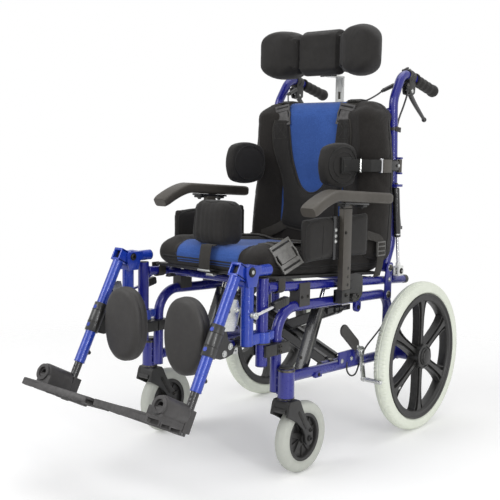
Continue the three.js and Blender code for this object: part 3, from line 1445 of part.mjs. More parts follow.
const reclineRod = () => {
  const top = springHead.clone().addScaledVector(springAlong, -springCylL + springBlockL);
  const rod = bar(springFoot, top, springRodR, smallSides);
  const head = block(springX - springBlockW / 2, springX + springBlockW / 2, springFootY - springBlockL / 2,
    springFootY + springBlockL / 2, springFootZ - springBlockL / 2, springFootZ + springBlockL / 2);
  const eye = bar(v3(springX - springBlockW, springFootY, springFootZ),
    v3(springX + springBlockW, springFootY, springFootZ), springRodR + springBush, plainSides);
  return joined(rod, head).subtract(eye);
};

const backCushion = () => {
  const height = backTopZ - backLowZ;
  const geometry = pillow([backHalfX * 2, backT, height], [12, 2, 10], backT * 0.36, (p, u, v, w) => {
    if (v < 0) {
      const side = THREE.MathUtils.smoothstep(Math.abs(u), 0.45, 0.85);
      const edge = 1 - THREE.MathUtils.smoothstep(Math.abs(w), 0.82, 1);
      p.y += (side * backBolster) * edge * v;
      p.y += v * backBolster * 0.35 * THREE.MathUtils.smoothstep(-w, -0.2, 0.7) * edge;
    }
    p.x *= 1 - 0.08 * THREE.MathUtils.smoothstep(w, 0.2, 1);
    return p;
  });
  geometry.translate(0, backFaceY + backT / 2, (backLowZ + backTopZ) / 2);
  return solid(geometry);
};

const lateralSupport = () => {
  const geometry = pillow([lateralT, lateralW, lateralH], [2, 5, 5], lateralT * 0.42, (p, u, v, w) => {
    const pull = 1 - 0.06 * (u * u + v * v * w * w);
    p.z *= pull;
    return p;
  });
  geometry.translate(lateralX, lateralY, lateralZ);
  const outer = lateralX + lateralT / 2;
  const plate = block(outer - lateralPlateT, outer + lateralPlateT, lateralY - lateralPlateW / 2,
    lateralY + lateralPlateW / 2, lateralZ - lateralPlateH / 2, lateralZ + lateralPlateH / 2);
  const elbow = v3(lateralSwingX, lateralY + lateralPlateW / 2, lateralZ);
  const arm = bar(v3(outer, lateralY, lateralZ), elbow, lateralArmR, smallSides);
  const run = bar(elbow.clone().setY(elbow.y - lateralArmR), v3(elbow.x, caneY, lateralZ), lateralArmR, smallSides);
  const clamp = bar(v3(elbow.x, caneY, lateralZ - lateralClampL / 2),
    v3(elbow.x, caneY, lateralZ + lateralClampL / 2), lateralArmR, plainSides);
  return joined(solid(geometry), plate, arm, run, clamp);
};

const chestHarness = () => {
  const width = harnessW;
  const thick = harnessT;
  const skinY = (z) => backFaceY - thick * 1.5 - touch * 2
    - backBolster * 0.35 * THREE.MathUtils.smoothstep(-(z - (backLowZ + backTopZ) / 2) / (backTopZ - backLowZ) * 2, -0.2, 0.7);
  const across = v3(1, 0, 0);
  const downStrap = (x, drop, proud) => v3(x, skinY(backTopZ - drop) - thick * proud, backTopZ - drop);
  const straps = [-1, 1].map((side) => ribbon([
    v3(side * strapChestX, backFaceY + backT / 2, backTopZ + thick / 2 + touch),
    v3(side * (strapChestX + strapTopX) / 2, backFaceY + backT * 0.1, backTopZ + thick / 2 + touch),
    v3(side * strapTopX, skinY(backTopZ) - thick * 2.5, backTopZ - width * 0.6),
    downStrap(side * strapChestX, strapChestDrop, 2.5),
    downStrap(side * strapRibX, strapRibDrop, 2),
    downStrap(side * strapBibX, strapBibDrop, 1),
    downStrap(side * strapEndX, strapEndDrop, 1),
  ], across, width, thick));
  const bibTopZ = backTopZ - bibTopDrop;
  // Each corner as shares of the bib's half width and of its height, from its top down
  const bib = plateXZ([
    [-0.73, 0.09], [-0.375, 0], [-0.27, 0.19], [0, 0.26], [0.27, 0.19], [0.375, 0], [0.73, 0.09],
    [0.85, 0.47], [1, 0.89], [0.56, 0.96], [0, 1], [-0.56, 0.96], [-1, 0.89], [-0.85, 0.47],
  ].map(([u, w]) => [u * bibHalfW, bibTopZ - w * bibH]),
  skinY(bibTopZ - bibH * 0.75) - thick * 2, skinY(bibTopZ - bibH * 0.75) - thick);
  return joined(...straps, bib);
};

// A plate whose outline is drawn in x and z, from y0 to y1
function plateXZ(outline, y0, y1) {
  const shape = new THREE.Shape(outline.map(([x, z]) => new THREE.Vector2(x, z)));
  const geometry = new THREE.ExtrudeGeometry(shape, { depth: y1 - y0, bevelEnabled: false });
  geometry.rotateX(RIGHT_ANGLE);
  geometry.translate(0, y1, 0);
  return solid(geometry);
}

const headrestStalk = () => {
  const strip = block(-stalkW / 2, stalkW / 2, stalkY - stalkT / 2, stalkY + stalkT / 2, stalkLowZ, stalkTopZ);
  const slot = block(-stalkSlotW / 2, stalkSlotW / 2, stalkY - stalkT, stalkY + stalkT,
    stalkLowZ + stalkSlotW, stalkLowZ + stalkSlotW + stalkSlotL);
  const arm = block(-stalkW / 2, stalkW / 2, headCentreY + headT / 2 + touch, stalkY + stalkT / 2,
    stalkTopZ - stalkT, stalkTopZ);
  const face = block(-stalkW, stalkW, headCentreY + headT / 2 + touch, headCentreY + headT / 2 + touch + stalkT,
    stalkTopZ - stalkT, headZ);
  return joined(strip.subtract(slot), arm, face);
};

const headrestPad = () => {
  const geometry = pillow([wingTipX * 2, headT, headH], [16, 2, 5], headT * 0.42, (p, u, v, w) => {
    const out = Math.abs(p.x);
    const bend = THREE.MathUtils.smoothstep(out, headCentreHalfX * 0.8, wingTipX);
    p.y -= bend * (headCentreY - wingTipY) * 1.2;
    const crease = Math.exp(-(((out - headCentreHalfX) / 9) ** 2));
    if (v < 0) {
      p.y += crease * 8;
    }
    p.z *= (1 + (wingH / headH - 1) * bend) * (1 - 0.1 * THREE.MathUtils.smoothstep(out, wingTipX * 0.8, wingTipX));
    return p;
  });
  geometry.translate(0, headCentreY, headZ);
  return solid(geometry);
};

const brakeCable = () => {
  const cableX = gripX + (leverW + leverT / 2) / 2;
  const cableY = leverPivotY - leverHousingL / 2 - cableR - touch;
  const bendZ = (share) => lineZ(share, 0, leverPivotZ, 1, springFootZ + springCylL);
  const route = [
    [cableX, cableY, leverPivotZ + cableR * 3], [cableX, cableY, leverPivotZ - cableR * 3],
    [cableX + cableR * 1.5, cableY - cableR * 3, bendZ(0.13)],
    [caneX + cableOut * 0.6, caneY + cableBehind * 1.3, bendZ(0.3)],
    [caneX + cableOut * 0.75, caneY + cableBehind, bendZ(0.48)],
    [caneX + cableOut * 0.8, caneY + cableBehind, bendZ(0.71)],
    [caneX + cableOut, caneY + cableBehind * 0.6, bendZ(0.91)],
    [springX, springFootY + cableR, springFootZ + springCylL * 0.9],
  ].map(([x, y, z]) => v3(x, y, z));
  const curve = new THREE.CatmullRomCurve3(route);
  return solid(new THREE.ExtrudeGeometry(new THREE.Shape(polygon(cableR, smallSides)), {
    steps: 24, extrudePath: curve, bevelEnabled: false,
  }));
};

// Base
putPair(chair, 'base_frame', baseFrame(), finishes.blue);
put(chair, 'cross_brace', geometryOf(crossBrace()), finishes.black());
putPair(chair, 'rear_tyre', rearTyre(), finishes.tyre);
putPair(chair, 'rear_wheel', rearWheel(), finishes.plastic);
putPair(chair, 'caster_tyre', casterTyre(), finishes.casterTyre);
putPair(chair, 'caster_wheel', casterWheel(), finishes.plastic);
putPair(chair, 'caster_fork', casterFork(), finishes.plastic);
putPair(chair, 'rail_saddle', railSaddle(), finishes.plastic);
putPair(chair, 'parking_brake', parkingBrake(), finishes.chrome);
putPair(chair, 'tilt_strut_cylinder', tiltStrutCylinder(), finishes.black);
putPair(chair, 'tilt_strut_rod', tiltStrutRod(), finishes.chrome);

// Seat
put(chair, 'seat_frame', geometryOf(seatFrame()), finishes.blue());
put(chair, 'seat_board', geometryOf(seatBoard()), finishes.plastic());
put(chair, 'seat_cushion', geometryOf(seatCushion()), finishes.blueFabric());
put(chair, 'pommel', geometryOf(pommel()), finishes.fabric());
putPair(chair, 'armrest_socket', armrestSocket(), finishes.plastic);
putPair(chair, 'armrest_post', armrestPost(), finishes.brown);
putPair(chair, 'armrest_pad', armrestPad(), finishes.brown);
putPair(chair, 'side_pad', sidePad(), finishes.fabric);
put(chair, 'pelvic_belt', geometryOf(pelvicBelt()), finishes.webbing());

// Legrests
putPair(chair, 'hanger', hanger(), finishes.blue);
putPair(chair, 'hanger_release', hangerRelease(), finishes.chrome);
const { group: legs } = legFrame(1);
putPair(legs, 'legrest_tube', legrestTube(), finishes.blue);
putPair(legs, 'leg_extension', legExtension(), finishes.chrome);
putPair(legs, 'footplate', footplate(), finishes.plastic);
putPair(chair, 'calf_pad', calfPad(), finishes.fabric);

// Back
put(chair, 'back_frame', geometryOf(backFrame()), finishes.blue());
putPair(chair, 'push_grip', pushGrip(), finishes.plastic);
putPair(chair, 'brake_handle', brakeHandle(), finishes.black);
put(chair, 'recline_cylinder', geometryOf(reclineCylinder()), finishes.black());
put(chair, 'recline_rod', geometryOf(reclineRod()), finishes.chrome());
put(chair, 'back_cushion', geometryOf(backCushion()), finishes.blueFabric());
putPair(chair, 'lateral_support', lateralSupport(), finishes.fabric);
put(chair, 'chest_harness', geometryOf(chestHarness()), finishes.webbing());
put(chair, 'headrest_stalk', geometryOf(headrestStalk()), finishes.chrome());
put(chair, 'headrest_pad', geometryOf(headrestPad()), finishes.fabric());
put(chair, 'brake_cable', geometryOf(brakeCable()), finishes.plastic());

// The chair stands on z = 0 with the middle of its length and width at the origin
chair.updateMatrixWorld(true);
const bounds = new THREE.Box3().setFromObject(chair);
const middle = bounds.getCenter(new THREE.Vector3());
chair.position.set(-middle.x, -middle.y, -bounds.min.z);

export default chair;
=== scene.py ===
"""Tilt in space wheelchair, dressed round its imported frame.

Shapes are written in millimetres on the user's left, with the rear axle at y = 0, the chair facing -y and
+x on its user's left. A piece turns into the frame's metres when it is made, mirrored for the right side.
"""
from __future__ import annotations

import logging
import math
from dataclasses import dataclass
from enum import Enum
from typing import Callable, Iterable, Sequence

import bmesh
import bpy
from mathutils import Matrix, Vector, noise
from mathutils.bvhtree import BVHTree

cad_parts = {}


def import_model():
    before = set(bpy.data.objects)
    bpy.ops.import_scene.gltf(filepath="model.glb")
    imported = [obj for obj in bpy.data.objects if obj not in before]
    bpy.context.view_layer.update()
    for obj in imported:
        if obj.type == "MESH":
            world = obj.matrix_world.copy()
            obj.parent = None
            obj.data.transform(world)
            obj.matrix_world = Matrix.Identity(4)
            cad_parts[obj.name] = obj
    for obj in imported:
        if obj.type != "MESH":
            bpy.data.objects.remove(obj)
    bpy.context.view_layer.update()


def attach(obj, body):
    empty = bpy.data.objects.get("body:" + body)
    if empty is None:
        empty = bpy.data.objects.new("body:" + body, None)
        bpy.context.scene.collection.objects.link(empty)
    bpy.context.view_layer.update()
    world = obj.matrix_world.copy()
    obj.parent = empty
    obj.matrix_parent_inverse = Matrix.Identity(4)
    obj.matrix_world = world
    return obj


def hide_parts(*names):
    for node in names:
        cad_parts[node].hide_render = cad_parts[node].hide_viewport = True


LOG = logging.getLogger("wheelchair")
MM = 0.001
AXLE_Y = 0.37201  # the rear axle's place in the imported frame
SHARP = math.radians(36)
WHOLE_BODIES = ("base", "seat", "back")

Point = Sequence[float]
Pair = tuple[float, float]
Shaper = Callable[[Vector, float, float, float], Vector]


class Side(Enum):
    """The user's own left and right."""

    LEFT = 1
    RIGHT = -1

    @property
    def word(self) -> str:
        """The side's word in node and body names."""
        return self.name.lower()


class Plane(Enum):
    """The plane that a plate's outline is drawn in, and which axis it is thick along."""

    YZ = 0
    XZ = 1
    XY = 2

    def lift(self, u: float, v: float, w: float) -> Vector:
        """Turns an outline's point and its depth into a point of the chair."""
        return Vector({0: (w, u, v), 1: (u, w, v), 2: (u, v, w)}[self.value])


class Texture(Enum):
    """The small relief that a finish shows."""

    SMOOTH = "smooth"
    GRAIN = "grain"
    PEBBLE = "pebble"
    WEAVE = "weave"
    RIB = "rib"
    BRUSHED = "brushed"


class Look(Enum):
    """Every finish on the chair."""

    ENAMEL = "blue enamel"
    LEG_ENAMEL = "hanger enamel"
    BLACK_BAR = "black extrusion"
    PLASTIC = "black plastic"
    FOOT_PLASTIC = "grey moulding"
    BUCKLE = "buckle plastic"
    CHROME = "chrome"
    ZINC = "zinc"
    WHITE_STEEL = "white steel"
    BOLT = "blackened bolt"
    TYRE = "pale tyre"
    CASTER = "grey tyre"
    ARM_FOAM = "arm foam"
    ARM_METAL = "arm metal"
    KNIT = "black knit"
    SLEEK = "black neoprene"
    BLUE_KNIT = "blue knit"
    WEBBING = "webbing"
    PIPING = "piping"
    THREAD = "thread"
    SKIN = "foam skin"
    JACKET = "cable jacket"


@dataclass(frozen=True)
class Finish:
    """What one finish is made of: its colours, gloss, relief and wear."""

    colour: tuple[float, float, float]
    shade: tuple[float, float, float]
    worn: tuple[float, float, float]
    roughness: float
    texture: Texture = Texture.SMOOTH
    metallic: float = 0.0
    coat: float = 0.0
    sheen: float = 0.0
    scale: float = 300.0
    relief: float = 0.0001
    wear: float = 0.3
    spread: float = 0.12
    specular: float = 0.5


FINISHES: dict[Look, Finish] = {
    Look.ENAMEL: Finish((0.011, 0.014, 0.235), (0.008, 0.010, 0.190), (0.03, 0.05, 0.33), 0.27, Texture.GRAIN,
                        0.10, 0.40, 0, 500, 0.00002, 0.2, 0.06),
    Look.LEG_ENAMEL: Finish((0.008, 0.042, 0.400), (0.006, 0.032, 0.330), (0.03, 0.10, 0.48), 0.27,
                            Texture.GRAIN, 0.10, 0.45, 0, 500, 0.00002, 0.2, 0.06),
    Look.BLACK_BAR: Finish((0.012, 0.012, 0.013), (0.016, 0.016, 0.017), (0.10, 0.10, 0.10), 0.26,
                           Texture.GRAIN, 0.20, 0.40, 0, 700, 0.00002, 0.06, 0.05),
    Look.PLASTIC: Finish((0.017, 0.0165, 0.016), (0.012, 0.0118, 0.0115), (0.06, 0.058, 0.055), 0.42,
                         Texture.GRAIN, 0, 0, 0, 900, 0.00005, 0.25, 0.10),
    Look.FOOT_PLASTIC: Finish((0.048, 0.045, 0.045), (0.036, 0.034, 0.034), (0.13, 0.125, 0.125), 0.48,
                              Texture.PEBBLE, 0, 0, 0, 700, 0.00010, 0.5, 0.16),
    Look.BUCKLE: Finish((0.092, 0.089, 0.082), (0.070, 0.067, 0.062), (0.19, 0.19, 0.18), 0.36,
                        Texture.GRAIN, 0, 0.15, 0, 800, 0.00004, 0.4, 0.12),
    Look.CHROME: Finish((0.78, 0.78, 0.80), (0.66, 0.66, 0.68), (0.50, 0.50, 0.50), 0.14, Texture.BRUSHED,
                        1.0, 0, 0, 220, 0.00002, 0.2, 0.10),
    Look.ZINC: Finish((0.66, 0.67, 0.66), (0.52, 0.53, 0.52), (0.40, 0.40, 0.38), 0.30, Texture.GRAIN,
                      1.0, 0, 0, 420, 0.00005, 0.3, 0.16),
    Look.WHITE_STEEL: Finish((0.80, 0.81, 0.79), (0.70, 0.71, 0.69), (0.55, 0.55, 0.52), 0.28,
                             Texture.GRAIN, 0.1, 0.4, 0, 420, 0.00003, 0.2, 0.10),
    Look.BOLT: Finish((0.016, 0.016, 0.017), (0.010, 0.010, 0.010), (0.24, 0.22, 0.18), 0.36,
                      Texture.GRAIN, 0.6, 0, 0, 700, 0.00004, 0.6, 0.14),
    Look.TYRE: Finish((0.80, 0.835, 0.730), (0.73, 0.765, 0.660), (0.56, 0.58, 0.51), 0.62, Texture.GRAIN,
                      0, 0, 0, 520, 0.00008, 0.4, 0.10),
    Look.CASTER: Finish((0.50, 0.515, 0.465), (0.44, 0.455, 0.41), (0.30, 0.31, 0.28), 0.55, Texture.GRAIN,
                        0, 0, 0, 520, 0.00006, 0.3, 0.10),
    Look.ARM_FOAM: Finish((0.062, 0.055, 0.045), (0.050, 0.044, 0.036), (0.11, 0.10, 0.085), 0.52,
                          Texture.PEBBLE, 0, 0.05, 0, 620, 0.00010, 0.3, 0.12),
    Look.ARM_METAL: Finish((0.060, 0.053, 0.044), (0.054, 0.048, 0.040), (0.13, 0.12, 0.10), 0.42,
                           Texture.GRAIN, 0.15, 0.1, 0, 800, 0.00003, 0.2, 0.05),
    Look.KNIT: Finish((0.027, 0.0235, 0.021), (0.019, 0.0165, 0.015), (0.045, 0.041, 0.037), 0.86,
                      Texture.WEAVE, 0, 0, 0.12, 420, 0.00032, 0.15, 0.08, 0.25),
    Look.SLEEK: Finish((0.020, 0.0178, 0.0165), (0.014, 0.0125, 0.0115), (0.036, 0.033, 0.030), 0.72,
                       Texture.WEAVE, 0, 0, 0.10, 620, 0.00016, 0.15, 0.08, 0.3),
    Look.BLUE_KNIT: Finish((0.052, 0.142, 0.500), (0.042, 0.118, 0.430), (0.08, 0.18, 0.52), 0.88,
                           Texture.WEAVE, 0, 0, 0.18, 420, 0.00030, 0.15, 0.06, 0.25),
    Look.WEBBING: Finish((0.040, 0.036, 0.031), (0.029, 0.026, 0.022), (0.07, 0.065, 0.056), 0.72,
                         Texture.RIB, 0, 0, 0.14, 420, 0.00030, 0.4, 0.10, 0.3),
    Look.PIPING: Finish((0.013, 0.012, 0.012), (0.009, 0.009, 0.008), (0.04, 0.04, 0.04), 0.66,
                        Texture.WEAVE, 0, 0, 0.1, 900, 0.00010, 0.3, 0.08, 0.3),
    Look.THREAD: Finish((0.085, 0.082, 0.078), (0.05, 0.05, 0.046), (0.12, 0.12, 0.11), 0.70, Texture.RIB,
                        0, 0, 0, 1500, 0.00008, 0.1, 0.08, 0.3),
    Look.SKIN: Finish((0.036, 0.034, 0.032), (0.028, 0.026, 0.025), (0.07, 0.068, 0.064), 0.56,
                      Texture.PEBBLE, 0, 0, 0, 520, 0.00010, 0.3, 0.12),
    Look.JACKET: Finish((0.013, 0.013, 0.013), (0.010, 0.010, 0.010), (0.05, 0.05, 0.05), 0.34,
                        Texture.GRAIN, 0, 0.35, 0, 900, 0.00003, 0.1, 0.08),
}


class Graph:
    """A node tree being wired."""

    def __init__(self, tree: bpy.types.NodeTree) -> None:
        """Keeps the tree."""
        self.tree = tree

    def node(self, kind: str, values: dict[str | int, object] | None = None,
             **settings: object) -> bpy.types.Node:
        """Adds a node.

        Args:
            kind: Blender's type name, without its ShaderNode prefix where it has one.
            values: What each input socket holds, or the output socket that feeds it.
            settings: The node's own options.

        Returns:
            The new node.
        """
        name = kind if kind.startswith("NodeGroup") else "ShaderNode" + kind
        made = self.tree.nodes.new(name)
        for option, value in settings.items():
            setattr(made, option, value)
        for socket, value in (values or {}).items():
            if isinstance(value, bpy.types.NodeSocket):
                self.tree.links.new(value, made.inputs[socket])
            else:
                made.inputs[socket].default_value = value
        return made

    def sums(self, operation: str, first: object, second: object = 0.0,
             third: object = 0.0) -> bpy.types.NodeSocket:
        """Adds a Math node and returns its result."""
        return self.node("Math", {0: first, 1: second, 2: third}, operation=operation).outputs[0]


class PaintShop:
    """Makes each finish's material once, from shader groups that the finishes share."""

    def __init__(self) -> None:
        """Starts with no groups and no materials."""
        self.groups: dict[str, bpy.types.NodeTree] = {}
        self.materials: dict[Look, bpy.types.Material] = {}

    def _group(self, name: str, inputs: dict[str, float], outputs: Sequence[str],
               wire: Callable[[Graph, bpy.types.Node, bpy.types.Node], None]) -> bpy.types.NodeTree:
        """Makes a shader group once.

        Args:
            name: The group's name.
            inputs: Each input's name and usual value.
            outputs: The outputs' names.
            wire: Adds the group's nodes between its input and output nodes.

        Returns:
            The group.
        """
        if name not in self.groups:
            tree = bpy.data.node_groups.new(name, "ShaderNodeTree")
            for socket, value in inputs.items():
                made = tree.interface.new_socket(socket, in_out="INPUT", socket_type="NodeSocketFloat")
                made.default_value = value
            for socket in outputs:
                tree.interface.new_socket(socket, in_out="OUTPUT", socket_type="NodeSocketFloat")
            graph = Graph(tree)
            wire(graph, graph.node("NodeGroupInput"), graph.node("NodeGroupOutput"))
            self.groups[name] = tree
        return self.groups[name]

    def _relief(self, texture: Texture) -> bpy.types.NodeTree:
        """The group that gives a texture's height and its mask, from a scale in cells a metre.

        Args:
            texture: Which texture the group makes.

        Returns:
            The node group.
        """

        def wire(graph: Graph, source: bpy.types.Node, sink: bpy.types.Node) -> None:
            """Wires one texture between the group's ends."""
            place = graph.node("TexCoord").outputs["Object"]
            scale = source.outputs["Scale"]
            if texture is Texture.WEAVE:
                cells = graph.node("TexVoronoi", {"Vector": place, "Scale": scale, "Randomness": 0.55})
                holes = graph.node("MapRange", {"Value": cells.outputs["Distance"], 1: 0.12,
                                                2: 0.5}).outputs[0]
                height = graph.sums("SUBTRACT", 1.0, holes)
                # the weave's mask is high in its hollows; the material darkens the colour there as painted
                # shade
                mask = holes
            elif texture is Texture.RIB:
                parts = graph.node("SeparateXYZ", {0: place})
                rows = graph.sums("MULTIPLY", graph.sums("ADD", parts.outputs[1], parts.outputs[2]), scale)
                cols = graph.sums("MULTIPLY", parts.outputs[0], scale)
                wave = graph.sums("SINE", graph.sums("MULTIPLY", rows, 6.283))
                cross = graph.sums("SINE", graph.sums("MULTIPLY", cols, 3.6))
                height = graph.sums("MULTIPLY_ADD", graph.sums("MULTIPLY", wave, cross), 0.5, 0.5)
                mask = height
            elif texture is Texture.BRUSHED:
                stretched = graph.node("Mapping", {"Vector": place, "Scale": (1.0, 0.06, 1.0)})
                brush = graph.node("TexNoise", {"Vector": stretched.outputs[0], "Scale": scale,
                                                "Detail": 2.0})
                height = brush.outputs[0]
                mask = height
            elif texture is Texture.PEBBLE:
                cells = graph.node("TexVoronoi", {"Vector": place, "Scale": scale}, feature="SMOOTH_F1")
                height = graph.sums("POWER", cells.outputs["Distance"], 1.4)
                mask = height
            else:
                fine = graph.node("TexNoise", {"Vector": place, "Scale": scale, "Detail": 3.0})
                height = fine.outputs[0]
                mask = height
            graph.tree.links.new(height, sink.inputs["Height"])
            graph.tree.links.new(mask, sink.inputs["Mask"])

        return self._group(f"{texture.value} relief", {"Scale": 300.0}, ("Height", "Mask"), wire)

    def _tone(self) -> bpy.types.NodeTree:
        """The group that gives the slow drift of tone over a surface."""

        def wire(graph: Graph, source: bpy.types.Node, sink: bpy.types.Node) -> None:
            """Two sizes of cloud, added."""
            place = graph.node("TexCoord").outputs["Object"]
            broad = graph.node("TexNoise", {"Vector": place, "Scale": source.outputs["Scale"], "Detail": 2.0})
            near = graph.node("TexNoise", {"Vector": place, "Scale": 70.0, "Detail": 4.0, "Roughness": 0.6})
            both = graph.sums("MULTIPLY_ADD", near.outputs[0], 0.4,
                              graph.sums("MULTIPLY", broad.outputs[0], 0.6))
            even = graph.node("MapRange", {"Value": both, 1: 0.36, 2: 0.64}).outputs[0]
            graph.tree.links.new(even, sink.inputs["Tone"])

        return self._group("tone drift", {"Scale": 9.0}, ("Tone",), wire)

    def _wear(self) -> bpy.types.NodeTree:
        """The group that finds worn edges, broken up by noise."""

        def wire(graph: Graph, source: bpy.types.Node, sink: bpy.types.Node) -> None:
            """Pointed places, times patches."""
            edge = graph.node("MapRange", {"Value": graph.node("NewGeometry").outputs["Pointiness"],
                                           1: 0.53, 2: 0.62}).outputs[0]
            place = graph.node("TexCoord").outputs["Object"]
            patch = graph.node("TexNoise", {"Vector": place, "Scale": 130.0, "Detail": 4.0})
            kept = graph.node("MapRange", {"Value": patch.outputs[0], 1: 0.40, 2: 0.62}).outputs[0]
            worn = graph.sums("MULTIPLY", graph.sums("MULTIPLY", edge, kept), source.outputs["Amount"])
            graph.tree.links.new(worn, sink.inputs["Mask"])

        return self._group("edge wear", {"Amount": 0.3}, ("Mask",), wire)

    def _dust(self) -> bpy.types.NodeTree:
        """The group that finds the faint dust on what faces up."""

        def wire(graph: Graph, source: bpy.types.Node, sink: bpy.types.Node) -> None:
            """How far a surface faces up, times patches."""
            up = graph.node("SeparateXYZ", {0: graph.node("NewGeometry").outputs["Normal"]}).outputs[2]
            facing = graph.node("MapRange", {"Value": up, 1: 0.4, 2: 1.0}).outputs[0]
            place = graph.node("TexCoord").outputs["Object"]
            patch = graph.node("TexNoise", {"Vector": place, "Scale": 26.0, "Detail": 5.0})
            dust = graph.sums("MULTIPLY", graph.sums("MULTIPLY", facing, patch.outputs[0]),
                              source.outputs["Amount"])
            graph.tree.links.new(dust, sink.inputs["Mask"])

        return self._group("top dust", {"Amount": 0.1}, ("Mask",), wire)

    def material(self, look: Look) -> bpy.types.Material:
        """The material of a finish, made on first use."""
        if look not in self.materials:
            self.materials[look] = self._make(look.value, FINISHES[look])
        return self.materials[look]

    def _make(self, name: str, finish: Finish) -> bpy.types.Material:
        """Wires a finish's material.

        Args:
            name: The material's name.
            finish: Its colours, gloss, relief and wear.

        Returns:
            The material.
        """
        made = bpy.data.materials.new(name)
        made.use_nodes = True
        made.node_tree.nodes.clear()
        graph = Graph(made.node_tree)
        tone = graph.node("Group", node_tree=self._tone()).outputs["Tone"]
        relief = graph.node("Group", {}, node_tree=self._relief(finish.texture))
        relief.inputs["Scale"].default_value = finish.scale
        wear = graph.node("Group", node_tree=self._wear())
        wear.inputs["Amount"].default_value = finish.wear
        dust = graph.node("Group", node_tree=self._dust())
        dust.inputs["Amount"].default_value = 0.018
        base = self._mix(graph, tone, finish.colour, finish.shade)
        # Painted shade: in the weave the colour darkens towards 0.35 of the second tone colour in the
        # hollows; in the rib the same darkening lies on the ridges as a pattern
        if finish.texture in (Texture.WEAVE, Texture.RIB):
            base = self._mix(graph, graph.sums("MULTIPLY", relief.outputs["Mask"], 0.55), base,
                             tuple(c * 0.35 for c in finish.shade))
        base = self._mix(graph, wear.outputs["Mask"], base, finish.worn)
        base = self._mix(graph, dust.outputs["Mask"], base, (0.42, 0.41, 0.39))
        rough = graph.sums("MULTIPLY_ADD", tone, finish.spread, finish.roughness - finish.spread / 2)
        rough = graph.sums("MULTIPLY_ADD", wear.outputs["Mask"], 0.15, rough)
        bump = graph.node("Bump", {"Strength": 0.7, "Distance": finish.relief,
                                   "Height": relief.outputs["Height"]})
        shader = graph.node("BsdfPrincipled", {
            "Base Color": base, "Roughness": rough, "Metallic": finish.metallic, "Coat Weight": finish.coat,
            "Coat Roughness": 0.06, "Specular IOR Level": finish.specular, "Sheen Weight": finish.sheen,
            "Sheen Roughness": 0.5, "Normal": bump.outputs[0],
        })
        graph.node("OutputMaterial", {"Surface": shader.outputs[0]})
        return made

    @staticmethod
    def _mix(graph: Graph, share: object, first: object, second: object) -> bpy.types.NodeSocket:
        """Mixes two colours, each a socket or three numbers, and returns the result's socket."""
        node = graph.node("Mix", data_type="RGBA")
        graph.tree.links.new(share, node.inputs[0])
        for index, value in ((6, first), (7, second)):
            if isinstance(value, bpy.types.NodeSocket):
                graph.tree.links.new(value, node.inputs[index])
            else:
                node.inputs[index].default_value = (*value, 1.0)
        return node.outputs[2]


def circle(radius: float, sides: int = 24) -> list[Pair]:
    """A round section's points."""
    return [(radius * math.cos(math.tau * k / sides), radius * math.sin(math.tau * k / sides))
            for k in range(sides)]


def lozenge(width: float, thickness: float, corner: float, steps: int = 3) -> list[Pair]:
    """A rounded rectangle's points, counterclockwise.

    Args:
        width: Size along the section's first axis.
        thickness: Size along its second axis.
        corner: The corners' radius.
        steps: Segments in each corner.

    Returns:
        The section's points.
    """
    corner = min(corner, width / 2 - 0.01, thickness / 2 - 0.01)
    points = []
    for quarter, (su, sv) in enumerate(((1, 1), (-1, 1), (-1, -1), (1, -1))):
        for k in range(steps + 1):
            angle = math.pi / 2 * (quarter + k / steps)
            points.append((su * (width / 2 - corner) + corner * math.cos(angle),
                           sv * (thickness / 2 - corner) + corner * math.sin(angle)))
    return points


def channel(width: float, thickness: float, groove: float) -> list[Pair]:
    """An extruded bar's section, with a groove down each wide face."""
    half, thick = width / 2, thickness / 2
    inner = half - groove * 1.6
    top = [(half, thick - 1), (half - 1, thick), (inner + 1, thick), (inner, thick - groove),
           (-inner, thick - groove), (-inner - 1, thick), (-half + 1, thick), (-half, thick - 1)]
    return top + [(-u, -v) for u, v in top]


def bent(corners: Sequence[Point], radii: Sequence[float], steps: int = 10) -> list[Vector]:
    """Rounds a line's corners.

    Args:
        corners: The line's ends and corners.
        radii: The bend radius at each inner corner.
        steps: Segments in each bend.

    Returns:
        The rounded line.
    """
    points = [Vector(c) for c in corners]
    line = [points[0]]
    for index, corner in enumerate(points[1:-1]):
        before = (points[index] - corner).normalized()
        after = (points[index + 2] - corner).normalized()
        half = before.angle(after) / 2
        reach = radii[index] / math.tan(half)
        centre = corner + (before + after).normalized() * (radii[index] / math.sin(half))
        start = corner + before * reach - centre
        end = corner + after * reach - centre
        line += [centre + start.slerp(end, k / steps).normalized() * radii[index] for k in range(steps + 1)]
    return line + [points[-1]]


def flowing(points: Sequence[Point], steps: int = 8) -> list[Vector]:
    """A smooth line through the points, with so many steps between each two."""
    path = [Vector(p) for p in points]
    path = [path[0] * 2 - path[1], *path, path[-1] * 2 - path[-2]]
    line = []
    for a, b, c, d in zip(path, path[1:], path[2:], path[3:]):
        for k in range(steps):
            t = k / steps
            line.append(((b * 2) + (c - a) * t + (a * 2 - b * 5 + c * 4 - d) * t * t
                         + (b * 3 - a - c * 3 + d) * t ** 3) / 2)
    return line + [path[-2]]


def span(y: float, start: Pair, end: Pair) -> float:
    """The height at y of the straight line between two (y, z) points."""
    return start[1] + (end[1] - start[1]) * (y - start[0]) / (end[0] - start[0])


def ease(low: float, high: float, value: float) -> float:
    """A smooth step from 0 at low to 1 at high."""
    t = min(max((value - low) / (high - low), 0.0), 1.0)
    return t * t * (3 - 2 * t)


